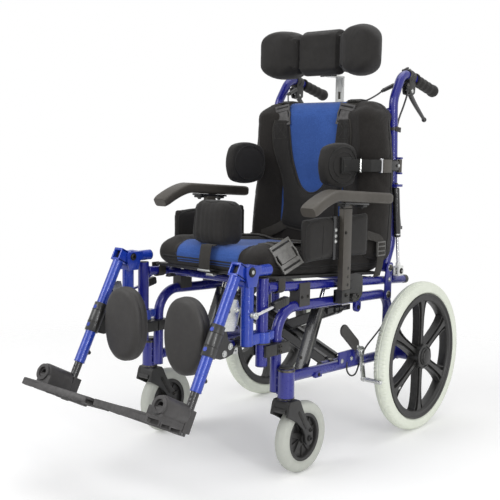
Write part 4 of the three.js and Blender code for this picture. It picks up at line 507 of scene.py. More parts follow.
class Form:
    """A mesh in the making: points in millimetres, faces, and each face's finish."""

    def __init__(self, place: Matrix | None = None) -> None:
        """Starts empty; place carries what is added into the chair's own axes."""
        self.points: list[Vector] = []
        self.faces: list[tuple[int, ...]] = []
        self.looks: list[Look] = []
        self.place = place or Matrix.Identity(4)

    def add(self, points: Iterable[Vector], faces: Iterable[Sequence[int]], look: Look) -> "Form":
        """Adds points and faces with one finish."""
        base = len(self.points)
        self.points += [self.place @ Vector(p) for p in points]
        before = len(self.faces)
        self.faces += [tuple(base + i for i in face) for face in faces]
        self.looks += [look] * (len(self.faces) - before)
        return self

    def take(self, other: "Form") -> "Form":
        """Adds another form's mesh as it stands."""
        base = len(self.points)
        self.points += other.points
        self.faces += [tuple(base + i for i in face) for face in other.faces]
        self.looks += other.looks
        return self

    def sweep(self, centres: Sequence[Point], section: Sequence[Pair], look: Look,
              across: Point | Sequence[Point] | None = None, sizes: Sequence[float] | None = None) -> "Form":
        """Runs a section along a line.

        Args:
            centres: The line.
            section: The section's points, counterclockwise.
            look: The finish.
            across: The way that the section's first axis faces, once or for each point of the line.
            sizes: The section's scale at each point of the line.

        Returns:
            This form.
        """
        line = [Vector(c) for c in centres]
        last = len(line) - 1
        facing: Vector | None = None
        points: list[Vector] = []
        for i, centre in enumerate(line):
            ahead = (line[min(i + 1, last)] - line[max(i - 1, 0)]).normalized()
            if across is not None:
                facing = Vector(across[i] if hasattr(across[0], "__len__") else across)
            elif facing is None:
                facing = Vector((1, 0, 0)) if abs(ahead.x) < 0.8 else Vector((0, 0, 1))
            facing = (facing - ahead * facing.dot(ahead)).normalized()
            other = ahead.cross(facing)
            size = sizes[i] if sizes else 1.0
            points += [centre + (facing * u + other * v) * size for u, v in section]
        n = len(section)
        faces: list[tuple[int, ...]] = [tuple(range(n - 1, -1, -1)), tuple(last * n + k for k in range(n))]
        for i in range(last):
            for k in range(n):
                a, b = i * n + k, i * n + (k + 1) % n
                faces.append((a, b, b + n, a + n))
        return self.add(points, faces, look)

    def tube(self, corners: Sequence[Point], diameter: float, look: Look, radii: Sequence[float] = (),
             sides: int = 26) -> "Form":
        """A round tube with rounded bends."""
        return self.sweep(bent(corners, radii), circle(diameter / 2, sides), look)

    def ribbon(self, points: Sequence[Point], width: float, thickness: float, look: Look,
               across: Point | Sequence[Point] = (1, 0, 0), steps: int = 8) -> "Form":
        """A strap along a smooth line through the points."""
        line = flowing(points, steps)
        if hasattr(across[0], "__len__"):
            facing: Point | Sequence[Point] = flowing(across, steps)
        else:
            facing = across
        return self.sweep(line, lozenge(width, thickness, thickness * 0.45), look, facing)

    def turned(self, profile: Sequence[Pair], at: Point, axis: Point, look: Look, sides: int = 36,
               relief: Callable[[int, int], float] | None = None) -> "Form":
        """Turns a profile about an axis.

        Args:
            profile: Pairs of radius and distance along the axis; closed where its ends are one point.
            at: Where the axis starts.
            axis: Its direction.
            look: The finish.
            sides: Segments round.
            relief: Extra radius for a profile point and a segment.

        Returns:
            This form.
        """
        up = Vector(axis).normalized()
        one = up.orthogonal().normalized() if abs(up.x) < 0.99 else Vector((0, 1, 0))
        two = up.cross(one)
        closed = profile[0] == profile[-1]
        rows: list[list[int]] = []
        points: list[Vector] = []
        for j, (radius, along) in enumerate(profile[:-1] if closed else profile):
            if radius < 1e-6:
                rows.append([len(points)] * sides)
                points.append(Vector(at) + up * along)
                continue
            rows.append(list(range(len(points), len(points) + sides)))
            for k in range(sides):
                angle = math.tau * k / sides
                extra = relief(j, k) if relief else 0.0
                out = one * math.cos(angle) + two * math.sin(angle)
                points.append(Vector(at) + up * along + out * (radius + extra))
        if closed:
            rows.append(rows[0])
        faces: list[tuple[int, ...]] = []
        for low, high in zip(rows, rows[1:]):
            for k in range(sides):
                quad = (low[k], low[(k + 1) % sides], high[(k + 1) % sides], high[k])
                faces.append(tuple(dict.fromkeys(quad)))
        if not closed and len(set(rows[0])) > 1:
            faces.append(tuple(reversed(rows[0])))
        if not closed and len(set(rows[-1])) > 1:
            faces.append(tuple(rows[-1]))
        return self.add(points, faces, look)

    def rod(self, start: Point, end: Point, radius: float, look: Look, sides: int = 24, edge: float = 0.7,
            end_radius: float | None = None) -> "Form":
        """A round bar with eased ends, tapered where it has an end radius."""
        axis = Vector(end) - Vector(start)
        length, last = axis.length, radius if end_radius is None else end_radius
        edge = min(edge, radius / 2, length / 3)
        profile = [(0, 0), (radius - edge, 0), (radius, edge), (last, length - edge), (last - edge, length),
                   (0, length)]
        return self.turned(profile, start, axis, look, sides)

    def pipe(self, start: Point, end: Point, radius: float, wall: float, look: Look,
             sides: int = 28) -> "Form":
        """A tube that shows its open ends."""
        axis = Vector(end) - Vector(start)
        length, inner = axis.length, radius - wall
        profile = [(inner, 0), (radius, 0), (radius, length), (inner, length), (inner, 0)]
        return self.turned(profile, start, axis, look, sides)

    def ring(self, at: Point, axis: Point, radius: float, thick: float, look: Look,
             sides: int = 40) -> "Form":
        """A round ring of round section."""
        loop = [(radius + thick * math.cos(math.tau * k / 12), thick * math.sin(math.tau * k / 12))
                for k in range(12)]
        return self.turned([*loop, loop[0]], at, axis, look, sides)

    def ball(self, at: Point, radius: float, look: Look) -> "Form":
        """A ball."""
        turns = [math.pi * k / 12 for k in range(13)]
        profile = [(radius * math.sin(turn), -radius * math.cos(turn)) for turn in turns]
        profile[0], profile[-1] = (0, -radius), (0, radius)
        return self.turned(profile, at, (0, 0, 1), look, 24)

    def bolt(self, at: Point, axis: Point, radius: float, height: float, look: Look = Look.BOLT) -> "Form":
        """A domed screw head with a washer and a socket."""
        self.turned([(0, 0), (radius * 1.3, 0), (radius * 1.3, height * 0.2), (radius, height * 0.25),
                     (radius * 0.96, height * 0.6), (radius * 0.72, height), (radius * 0.46, height),
                     (radius * 0.40, height * 0.45), (0, height * 0.4)], at, axis, look, 20)
        return self

    def nut(self, at: Point, axis: Point, radius: float, height: float, look: Look = Look.ZINC) -> "Form":
        """A six-sided nut."""
        return self.turned([(0, 0), (radius - 0.6, 0), (radius, 0.6), (radius, height - 0.6),
                            (radius - 0.6, height), (0, height)], at, axis, look, 6)

    def plate(self, outline: Sequence[Pair], low: float, high: float, look: Look, plane: Plane = Plane.YZ,
              edge: float = 1.0, segments: int = 2) -> "Form":
        """A plate of any outline, with eased edges.

        Args:
            outline: Its corners in the plane.
            low: Where its thickness starts.
            high: Where it ends.
            look: The finish.
            plane: The plane that it is drawn in.
            edge: The size of the bevel.
            segments: Segments in the bevel.

        Returns:
            This form.
        """
        low, high = min(low, high), max(low, high)
        work = bmesh.new()
        face = work.faces.new([work.verts.new(plane.lift(u, v, low)) for u, v in outline])
        grown = bmesh.ops.extrude_face_region(work, geom=[face])["geom"]
        shift = plane.lift(0, 0, high - low)
        bmesh.ops.translate(work, verts=[v for v in grown if isinstance(v, bmesh.types.BMVert)], vec=shift)
        bmesh.ops.recalc_face_normals(work, faces=work.faces[:])
        if edge > 0:
            bmesh.ops.bevel(work, geom=work.edges[:], offset=edge, segments=segments, profile=0.6,
                            affect="EDGES", clamp_overlap=True)
        work.verts.index_update()
        points = [v.co.copy() for v in work.verts]
        faces = [tuple(v.index for v in f.verts) for f in work.faces]
        work.free()
        return self.add(points, faces, look)

    def block(self, low: Point, high: Point, look: Look, edge: float = 1.0, segments: int = 2) -> "Form":
        """A block between two corners, with eased edges."""
        (x0, x1), (y0, y1), (z0, z1) = (sorted(pair) for pair in zip(low, high))
        return self.plate([(x0, y0), (x1, y0), (x1, y1), (x0, y1)], z0, z1, look, Plane.XY, edge, segments)

    def bar(self, start: Point, end: Point, width: float, thickness: float, look: Look,
            across: Point = (1, 0, 0), corner: float = 1.2) -> "Form":
        """A flat bar between two points, as wide as width along across."""
        return self.sweep([start, end], lozenge(width, thickness, corner), look, across)

    def pad(self, size: Point, counts: Sequence[int], round_off: float, look: Look,
            shape: Shaper | None = None) -> "Form":
        """A rounded block of many faces that a shaper can bend.

        Args:
            size: Its three sizes.
            counts: Faces along each.
            round_off: The radius of its edges.
            look: The finish.
            shape: Moves each point, given with its three shares from -1 to 1.

        Returns:
            This form.
        """
        half = [s / 2 for s in size]
        radius = min(round_off, *(h * 0.999 for h in half))
        index: dict[tuple[int, int, int], int] = {}
        points: list[Vector] = []
        faces: list[tuple[int, ...]] = []

        def corner(key: tuple[int, int, int]) -> int:
            """The index of a lattice point, made on first use."""
            if key not in index:
                share = [2 * key[i] / counts[i] - 1 for i in range(3)]
                flat = Vector([share[i] * half[i] for i in range(3)])
                core = Vector([min(max(flat[i], radius - half[i]), half[i] - radius) for i in range(3)])
                out = flat - core
                spot = core + out.normalized() * radius if out.length > 1e-9 else flat
                index[key] = len(points)
                points.append(shape(spot, *share) if shape else spot)
            return index[key]

        for axis in range(3):
            one, two = (axis + 1) % 3, (axis + 2) % 3
            for level in (0, counts[axis]):
                for i in range(counts[one]):
                    for j in range(counts[two]):
                        quad = []
                        for di, dj in ((0, 0), (1, 0), (1, 1), (0, 1)):
                            key = [0, 0, 0]
                            key[axis], key[one], key[two] = level, i + di, j + dj
                            quad.append(corner(tuple(key)))
                        faces.append(tuple(quad if level else reversed(quad)))
        return self.add(points, faces, look)


@dataclass
class Workshop:
    """Turns forms into pieces of the chair."""

    paint: PaintShop

    def paired(self, form: Form, name: str, body: str, node: str, slot: str, side: Side) -> bpy.types.Object:
        """Makes a piece that is named for its side, as its node is.

        Args:
            form: The shape, as it is on the user's left.
            name: The piece's name without its side.
            body: The body's name, without its side where the body has one.
            node: The CAD node that it stands for, without its side.
            slot: The record's material slot of its main finish.
            side: Mirrored for the right.

        Returns:
            The object.
        """
        home = body if body in WHOLE_BODIES else f"{body}_{side.word}"
        return self.make(form, f"{name}_{side.word}", home, [f"{node}_{side.word}"], slot, side)

    def make(self, form: Form, name: str, body: str, nodes: Sequence[str], slot: str,
             side: Side = Side.LEFT) -> bpy.types.Object:
        """Makes a form's object, in metres, on its body.

        Args:
            form: The shape, as it is on the user's left.
            name: The piece's name.
            body: The body that it rides on.
            nodes: The CAD nodes that it stands for.
            slot: The record's material slot of its main finish; not used.
            side: Mirrored for the right.

        Returns:
            The object.
        """
        mesh = bpy.data.meshes.new(name)
        sign = side.value
        points = [(sign * p.x * MM, p.y * MM + AXLE_Y, p.z * MM) for p in form.points]
        mesh.from_pydata(points, [], form.faces)
        looks = list(dict.fromkeys(form.looks))
        for look in looks:
            mesh.materials.append(self.paint.material(look))
        mesh.polygons.foreach_set("material_index", [looks.index(look) for look in form.looks])
        work = bmesh.new()
        work.from_mesh(mesh)
        bmesh.ops.recalc_face_normals(work, faces=work.faces[:])
        work.to_mesh(mesh)
        work.free()
        mesh.shade_smooth()
        mesh.set_sharp_from_angle(angle=SHARP)
        made = bpy.data.objects.new(name, mesh)
        bpy.context.scene.collection.objects.link(made)
        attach(made, body)
        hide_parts(*nodes)
        return made

    def swell(self, form: Form, voxel: float, cap: float, pressure: float = 4.0, frames: int = 20) -> Form:
        """Fills a closed form as padding fills its cover, by a cloth simulation.

        Args:
            form: The slightly small shape.
            voxel: The size of the new mesh's faces, in millimetres.
            cap: The furthest that a point may move, in millimetres.
            pressure: The pressure inside.
            frames: How long the simulation runs.

        Returns:
            The filled form, in its first look.
        """
        mesh = bpy.data.meshes.new("cover")
        mesh.from_pydata([p * MM for p in form.points], [], form.faces)
        made = bpy.data.objects.new("cover", mesh)
        bpy.context.scene.collection.objects.link(made)
        remesh = made.modifiers.new("remesh", "REMESH")
        remesh.mode, remesh.voxel_size = "VOXEL", voxel * MM
        self._apply(made)
        rest = [v.co.copy() for v in made.data.vertices]
        cloth = made.modifiers.new("cloth", "CLOTH")
        cloth.settings.quality = 4
        cloth.settings.use_pressure = True
        cloth.settings.uniform_pressure_force = pressure
        cloth.settings.effector_weights.gravity = 0
        cloth.settings.tension_stiffness = 20
        cloth.settings.compression_stiffness = 20
        cloth.settings.shear_stiffness = 8
        cloth.settings.bending_stiffness = 0.8
        cloth.point_cache.frame_end = frames
        for frame in range(1, frames + 1):
            bpy.context.scene.frame_set(frame)
        self._apply(made)
        bpy.context.scene.frame_set(1)
        filled = Form()
        points = []
        for start, vertex in zip(rest, made.data.vertices):
            move = vertex.co - start
            if move.length > cap * MM:
                move = move.normalized() * (cap * MM)
            points.append((start + move) / MM)
        filled.add(points, [tuple(p.vertices) for p in made.data.polygons], form.looks[0])
        bpy.data.objects.remove(made)
        return filled

    @staticmethod
    def _apply(made: bpy.types.Object) -> None:
        """Keeps what an object's modifiers make, and drops them."""
        bpy.context.view_layer.update()
        seen = made.evaluated_get(bpy.context.evaluated_depsgraph_get())
        mesh = bpy.data.meshes.new_from_object(seen)
        made.modifiers.clear()
        made.data = mesh


class Skin:
    """A finished form's surface, for laying seams, piping and stitches on it."""

    def __init__(self, form: Form) -> None:
        """Builds the surface's search tree."""
        self.tree = BVHTree.FromPolygons(form.points, form.faces)

    def drop(self, start: Point, way: Point, proud: float = 0.0) -> Vector | None:
        """Where a ray first meets the surface, stood proud of it."""
        at, normal, _, _ = self.tree.ray_cast(Vector(start), Vector(way).normalized())
        if at is None:
            return None
        outward = normal if normal.dot(Vector(way)) < 0 else -normal
        return at + outward * proud

    def lay(self, starts: Sequence[Point], way: Point, proud: float = 0.0) -> list[Vector]:
        """Drops a whole line on the surface and leaves out what misses."""
        found = [self.drop(start, way, proud) for start in starts]
        return [spot for spot in found if spot is not None]

    def near(self, spot: Point, proud: float = 0.0) -> Vector:
        """The surface's nearest point, stood proud towards the spot."""
        at, normal, _, _ = self.tree.find_nearest(Vector(spot))
        return at + normal * proud


def smoothed(line: Sequence[Vector], rounds: int = 2) -> list[Vector]:
    """Evens out a line's wiggles and keeps its ends."""
    out = list(line)
    for _ in range(rounds):
        out = [out[0]] + [(a + b * 2 + c) / 4 for a, b, c in zip(out, out[1:], out[2:])] + [out[-1]]
    return out


def stitches(form: Form, line: Sequence[Vector], look: Look = Look.THREAD, pitch: float = 5.0,
             thick: float = 0.45) -> None:
    """Lays a row of stitches along a line.

    Args:
        form: What they are added to.
        line: The line, on the surface.
        look: The thread's finish.
        pitch: From one stitch to the next.
        thick: The thread's radius.
    """
    spare = 0.0
    for a, b in zip(line, line[1:]):
        step = b - a
        if step.length < 1e-6:
            continue
        along = spare
        while along < step.length:
            end = min(along + pitch * 0.62, step.length)
            form.sweep([a + step * (along / step.length), a + step * (end / step.length)],
                       circle(thick, 5), look)
            along += pitch
        spare = along - step.length


@dataclass
class Studio:
    """The camera at the photograph's place, the pale floor and the plain light."""

    turn: float = 40.07
    drop: float = 6.32
    roll: float = 0.99
    at: tuple[float, float, float] = (1.3908, -2.0575 + AXLE_Y, 0.7325)
    lens: float = 62.8
    world_light: float = 0.55
    lamps: tuple[tuple[str, tuple[float, float, float], Pair, float], ...] = (
        ("key", (-1.4, -3.2, 3.0), (2.2, 2.2), 62.0),
        ("fill", (3.2, -1.6, 2.0), (2.4, 2.4), 30.0),
        ("top", (0.2, 0.6, 3.4), (2.6, 2.6), 30.0),
        ("strip", (2.7, -1.1, 0.9), (0.07, 2.4), 17.0),
    )

    def build(self) -> None:
        """Makes the camera, then the floor, the world and the lamps."""
        self._camera()
        self._floor()
        self._world()
        for name, place, size, power in self.lamps:
            data = bpy.data.lights.new(name, "AREA")
            data.shape = "RECTANGLE"
            (data.size, data.size_y), data.energy = size, power
            lamp = bpy.data.objects.new(name, data)
            lamp.location = place
            aim = Vector((0, 0.1, 0.5)) - Vector(place)
            lamp.rotation_euler = aim.to_track_quat("-Z", "Y").to_euler()
            bpy.context.scene.collection.objects.link(lamp)

    def _camera(self) -> None:
        """Makes the camera from its turn, drop and roll in degrees."""
        turn, drop, roll = (math.radians(v) for v in (self.turn, self.drop, self.roll))
        forward = Vector((-math.sin(turn) * math.cos(drop), math.cos(turn) * math.cos(drop), -math.sin(drop)))
        right = Vector((math.cos(turn), math.sin(turn), 0))
        up = right.cross(forward)
        over = right * math.cos(roll) + up * math.sin(roll)
        top = up * math.cos(roll) - right * math.sin(roll)
        data = bpy.data.cameras.new("camera")
        data.lens, data.sensor_width = self.lens, 36.0
        made = bpy.data.objects.new("camera", data)
        rows = [(over[i], top[i], -forward[i], self.at[i]) for i in range(3)]
        made.matrix_world = Matrix((*rows, (0, 0, 0, 1)))
        bpy.context.scene.collection.objects.link(made)
        bpy.context.scene.camera = made
        bpy.context.scene.view_settings.view_transform = "Standard"

    def _floor(self) -> None:
        """Makes a round pale floor that fades into the background."""
        mesh = bpy.data.meshes.new("floor")
        count, reach = 64, 6.0
        rim = [(reach * math.cos(math.tau * k / count), reach * math.sin(math.tau * k / count), -0.0004)
               for k in range(count)]
        mesh.from_pydata(rim, [], [tuple(range(count))])
        material = bpy.data.materials.new("pale floor")
        material.use_nodes = True
        material.node_tree.nodes.clear()
        graph = Graph(material.node_tree)
        place = graph.node("TexCoord").outputs["Object"]
        far = graph.node("VectorMath", {0: place}, operation="LENGTH").outputs["Value"]
        fade = graph.node("MapRange", {"Value": far, 1: 0.9, 2: 1.9},
                          interpolation_type="SMOOTHSTEP").outputs[0]
        grain = graph.node("TexNoise", {"Vector": place, "Scale": 60.0})
        rough = graph.sums("MULTIPLY_ADD", grain.outputs[0], 0.05, 0.85)
        body = graph.node("BsdfPrincipled", {"Base Color": (0.93, 0.93, 0.93, 1), "Roughness": rough})
        path = graph.node("LightPath")
        direct = graph.sums("MAXIMUM", path.outputs["Is Camera Ray"], path.outputs["Is Glossy Ray"])
        seen = graph.sums("MAXIMUM", direct, path.outputs["Is Transmission Ray"])
        lift = graph.node("Emission", {"Color": (1, 1, 1, 1), "Strength": 0.0})
        graph.tree.links.new(graph.sums("MULTIPLY", seen, 0.14), lift.inputs["Strength"])
        both = graph.node("AddShader", {0: body.outputs[0], 1: lift.outputs[0]})
        clear = graph.node("BsdfTransparent")
        mixed = graph.node("MixShader", {0: fade, 1: both.outputs[0], 2: clear.outputs[0]})
        graph.node("OutputMaterial", {"Surface": mixed.outputs[0]})
        mesh.materials.append(material)
        made = bpy.data.objects.new("floor", mesh)
        bpy.context.scene.collection.objects.link(made)

    def _world(self) -> None:
        """White behind the chair and in its reflections, and a plain level of light on it."""
        world = bpy.data.worlds.new("studio")
        world.use_nodes = True
        world.node_tree.nodes.clear()
        graph = Graph(world.node_tree)
        path = graph.node("LightPath")
        seen = graph.sums("MAXIMUM", path.outputs["Is Camera Ray"], path.outputs["Is Transmission Ray"])
        glossy = graph.sums("MULTIPLY", path.outputs["Is Glossy Ray"], 0.9)
        shown = graph.sums("MAXIMUM", seen, glossy)
        strength = graph.sums("MAXIMUM", shown, self.world_light)
        back = graph.node("Background", {"Color": (1, 1, 1, 1), "Strength": strength})
        graph.node("OutputWorld", {"Surface": back.outputs[0]})
        bpy.context.scene.world = world


TUBE_D = 25
FRAME_X = 191
FRONT_Y = -534
REAR_Y = -57
CASTER_X = 222
HINGE = (-78.0, 440.0)
PIVOT = (-84.0, 370.0)
RAIL_FRONT_Y = -586
RAIL_REAR_Y = 24
BOARD_RISE = 22.3  # from a rail's middle to the seat board's top
CUSHION_RISE = 62.3  # from the board's top to the plain top of the seat cushion
STRUT_HEAD_Y = -306.0
STRAP_TURN_Y = -592  # the pommel strap takes the board height here, where it turns under


def top_tube(y: float) -> float:
    """The height of the base's upper tube."""
    return span(y, (FRONT_Y, 386), (REAR_Y, 369))


def low_tube(y: float) -> float:
    """The height of the base's lower tube."""
    return span(y, (FRONT_Y, 221), (REAR_Y, 203))


def rail(y: float) -> float:
    """The height of the seat's rail."""
    return span(y, (RAIL_FRONT_Y, 439), (RAIL_REAR_Y, 399))


def board_top(y: float) -> float:
    """The height of the seat board's top."""
    return rail(y) + BOARD_RISE


def seat_top(y: float) -> float:
    """The height of the seat cushion's plain top."""
    return board_top(y) + CUSHION_RISE


def slot_outline(start: Pair, end: Pair, radius: float, steps: int = 8) -> list[Pair]:
    """The outline of a bar with round ends."""
    turn = math.atan2(end[1] - start[1], end[0] - start[0])
    return [(centre[0] + radius * math.cos(a), centre[1] + radius * math.sin(a))
            for centre, base in ((end, turn - math.pi / 2), (start, turn + math.pi / 2))
            for a in (base + math.pi * k / steps for k in range(steps + 1))]


@dataclass
class SideFrame:
    """One side of the rolling base: its bent tube, caster housing, axle plate, dock and brackets."""

    shop: Workshop
    front_bend: float = 62
    rear_bend: float = 46
    housing: Pair = (183, 254)
    housing_d: float = 38
    axle_boss: float = 17
    boss_x: float = 232
    axle_end: float = 284
    brace_x: float = 165
    dock: Pair = (286, 312)

    def build(self, side: Side) -> None:
        """Builds one side frame."""
        form = Form()
        self._tubes(form)
        self._housing(form)
        self._axle(form)
        self._brackets(form)
        self._dock(form)
        name = f"base_frame_{side.word}"
        self.shop.make(form, f"side_frame_{side.word}", "base", [name], "frame_blue", side)

    def _tubes(self, form: Form) -> None:
        """The hoop, the lower tube and the short tube that the brace turns on.

        Args:
            form: The form that takes the shape.
        """
        form.tube([(FRAME_X, FRONT_Y, 195), (FRAME_X, FRONT_Y, top_tube(FRONT_Y)),
                   (FRAME_X, REAR_Y, top_tube(REAR_Y)), (FRAME_X, REAR_Y, 170)], TUBE_D, Look.ENAMEL,
                  [self.front_bend, self.rear_bend], 32)
        form.tube([(FRAME_X, FRONT_Y, low_tube(FRONT_Y)), (FRAME_X, REAR_Y, low_tube(REAR_Y))], TUBE_D,
                  Look.ENAMEL)
        for y, z in ((FRONT_Y, 195), (REAR_Y, 170)):
            form.rod((FRAME_X, y, z + 2), (FRAME_X, y, z - 0.1), TUBE_D / 2 + 0.2, Look.PLASTIC, edge=1.2)
        for y in (FRONT_Y, REAR_Y):
            ahead = 1 if y == FRONT_Y else -1
            form.ring((FRAME_X, y + ahead * 12, low_tube(y)), (0, 1, 0), 12.6, 1.5, Look.ENAMEL)
        x, front, rear = self.brace_x, -322, -165
        form.tube([(x, front, low_tube(front)), (x, rear, low_tube(rear))], 20, Look.ENAMEL)
        for y in (front, rear):
            ahead = 3 if y == rear else -3
            form.rod((x, y, low_tube(y)), (x, y + ahead, low_tube(y)), 10.1, Look.PLASTIC)
        for y in (front + 20, rear - 20):
            form.block((x, y - 6, low_tube(y) - 5), (FRAME_X, y + 6, low_tube(y) + 5), Look.ENAMEL, 1.5)

    def _housing(self, form: Form) -> None:
        """The caster's bearing housing, with its weld and cap ring."""
        low, high = self.housing
        x, r = CASTER_X, self.housing_d / 2
        form.turned([(9, low), (r - 1, low), (r, low + 1), (r, high - 1), (r - 1, high), (9, high), (9, low)],
                    (x, FRONT_Y, 0), (0, 0, 1), Look.ENAMEL)
        form.turned([(r - 2, high - 6), (r + 0.9, high - 6), (r + 0.9, high - 0.5), (r - 2, high - 0.5),
                     (r - 2, high - 6)], (x, FRONT_Y, 0), (0, 0, 1), Look.BOLT)
        form.turned([(r - 2, low + 1), (r + 0.7, low + 1), (r + 0.7, low + 5), (r - 2, low + 5),
                     (r - 2, low + 1)], (x, FRONT_Y, 0), (0, 0, 1), Look.BOLT)
        for z in (196, 214, 232):
            form.ball((FRAME_X + 13, FRONT_Y - 8, z), 3.4, Look.ENAMEL)
            form.ball((FRAME_X + 13, FRONT_Y + 8, z), 3.4, Look.ENAMEL)

    def _axle(self, form: Form) -> None:
        """The plate, sleeve and axle of the rear wheel."""
        form.plate([(-69, 170), (-45, 170), (-10, 183), (6, 184), (17, 192), (17, 208), (8, 222), (-44, 272),
                    (-57, 275), (-69, 268)], 187, 195, Look.ENAMEL, edge=1.4)
        form.rod((188, 0, 200), (self.boss_x, 0, 200), self.axle_boss, Look.ENAMEL, 36, 1.2)
        form.ring((195.5, 0, 200), (1, 0, 0), self.axle_boss + 0.6, 2.0, Look.ENAMEL)
        form.rod((FRAME_X, 0, 200), (self.axle_end, 0, 200), 6, Look.ZINC)
        form.nut((187, 0, 200), (-1, 0, 0), 10, 6)
        for y, z in ((-57, 255), (-57, 186)):
            form.bolt((195, y, z), (1, 0, 0), 5, 3.4)

    def _brackets(self, form: Form) -> None:
        """The parking brake's plate, the strut's foot pin and the brace's ear.

        Args:
            form: The form that takes the shape.
        """
        front, rear = -296, -202
        outline = [(front, low_tube(front)), (rear, low_tube(rear)), (rear, 233), (-212, 247), (front, 247)]
        form.plate(outline, 198.5, 203.5, Look.ENAMEL, edge=1.2)
        form.rod((198.5, -219, 240), (222.5, -219, 240), 4, Look.ZINC)
        form.nut((219.2, -219, 240), (1, 0, 0), 7, 3.3)
        for y in (front + 12, rear - 40):
            form.bolt((203.5, y, 224), (1, 0, 0), 4.4, 3.2, Look.ZINC)
        form.rod((142.5, -397, 214), (FRAME_X, -397, 214), 5, Look.ZINC)
        form.nut((147.2, -397, 214), (-1, 0, 0), 8, 4.7)
        ear = -206.0
        form.plate(slot_outline((ear, top_tube(ear) - 25), (ear, top_tube(ear)), 12.5), 186, 196, Look.ENAMEL,
                   edge=1.5)
        form.bolt((196, ear, top_tube(ear) - 25), (1, 0, 0), 4.6, 3.2)
        y = -448
        form.block((198, y + 48, 203), (208, y + 74, 217), Look.ENAMEL, 1.6)
        form.bolt((208, y + 61, 210), (1, 0, 0), 3.6, 2.6)

    def _dock(self, form: Form) -> None:
        """The block that the seat's post rests in, open in front.

        Args:
            form: The form that takes the shape.
        """
        low, high = self.dock
        r, wall = 14.3, 21.3
        rear = -514.5
        outline = [(FRAME_X + wall, -595), (FRAME_X + wall, rear + 4), (FRAME_X + wall - 5, rear),
                   (FRAME_X - wall + 5, rear), (FRAME_X - wall, rear + 4), (FRAME_X - wall, -595),
                   (FRAME_X - r, -595)]
        arc = [(FRAME_X - r * math.cos(math.pi * k / 14), RAIL_FRONT_Y + r * math.sin(math.pi * k / 14))
               for k in range(15)]
        form.plate([*outline, *arc, (FRAME_X + r, -595)], low, high, Look.PLASTIC, Plane.XY, 1.4)
        for z in (low + 7, high - 7):
            form.bolt((FRAME_X + wall, -545, z), (1, 0, 0), 4.2, 3)
        form.plate([(FRAME_X - wall, -556), (FRAME_X + wall, -556), (FRAME_X + wall, -552),
                    (FRAME_X - wall, -552)], low - 0.6, high + 0.6, Look.BOLT, Plane.XY, 0.6)


@dataclass
class CrossBrace:
    """The two crossed pairs of bars that hold the side frames apart."""

    shop: Workshop
    middle_y: float = -262
    pitch: float = 46
    width: float = 26
    thick: float = 14
    foot_x: float = 165
    head_z: float = 348

    def build(self) -> None:
        """Builds both pairs, their bolt and their head rails."""
        form = Form()
        foot_z = low_tube(self.middle_y)
        section = channel(self.width, self.thick, 1.6)
        for end in (-1, 1):
            for y, hand in ((self.middle_y + end * self.pitch / 2, 1),
                            (self.middle_y + end * (self.pitch / 2 - self.thick), -1)):
                start = Vector((hand * self.foot_x, y, foot_z))
                stop = Vector((-hand * self.foot_x, y, self.head_z))
                along = (stop - start).normalized()
                across = along.cross(Vector((0, 1, 0)))
                form.sweep([start + along * 14, stop], section, Look.BLACK_BAR, across)
                form.pipe(start + Vector((0, -self.thick / 2, 0)), start + Vector((0, self.thick / 2, 0)), 14,
                          3.6, Look.BLACK_BAR)
                form.rod(stop + Vector((0, -self.thick / 2 + 0.2, 0)),
                         stop + Vector((0, self.thick / 2 - 0.2, 0)), 12.5,
                         Look.BLACK_BAR)
        for hand in (-1, 1):
            form.block((hand * (self.foot_x - 7), -306, self.head_z - 7),
                       (hand * (self.foot_x + 7), -206, self.head_z + 7),
                       Look.BLACK_BAR, 1.6)
        centre = (foot_z + self.head_z) / 2
        form.rod((0, self.middle_y - 37, centre), (0, self.middle_y + 37, centre), 5.5, Look.ZINC)
        for end in (-1, 1):
            form.nut((0, self.middle_y + end * 30.5, centre), (0, end, 0), 8, 5.5)
            form.rod((0, self.middle_y + end * 30, centre), (0, self.middle_y + end * 31, centre), 11,
                     Look.ZINC)
        self.shop.make(form, "folding_brace", "base", ["cross_brace"], "black_steel")


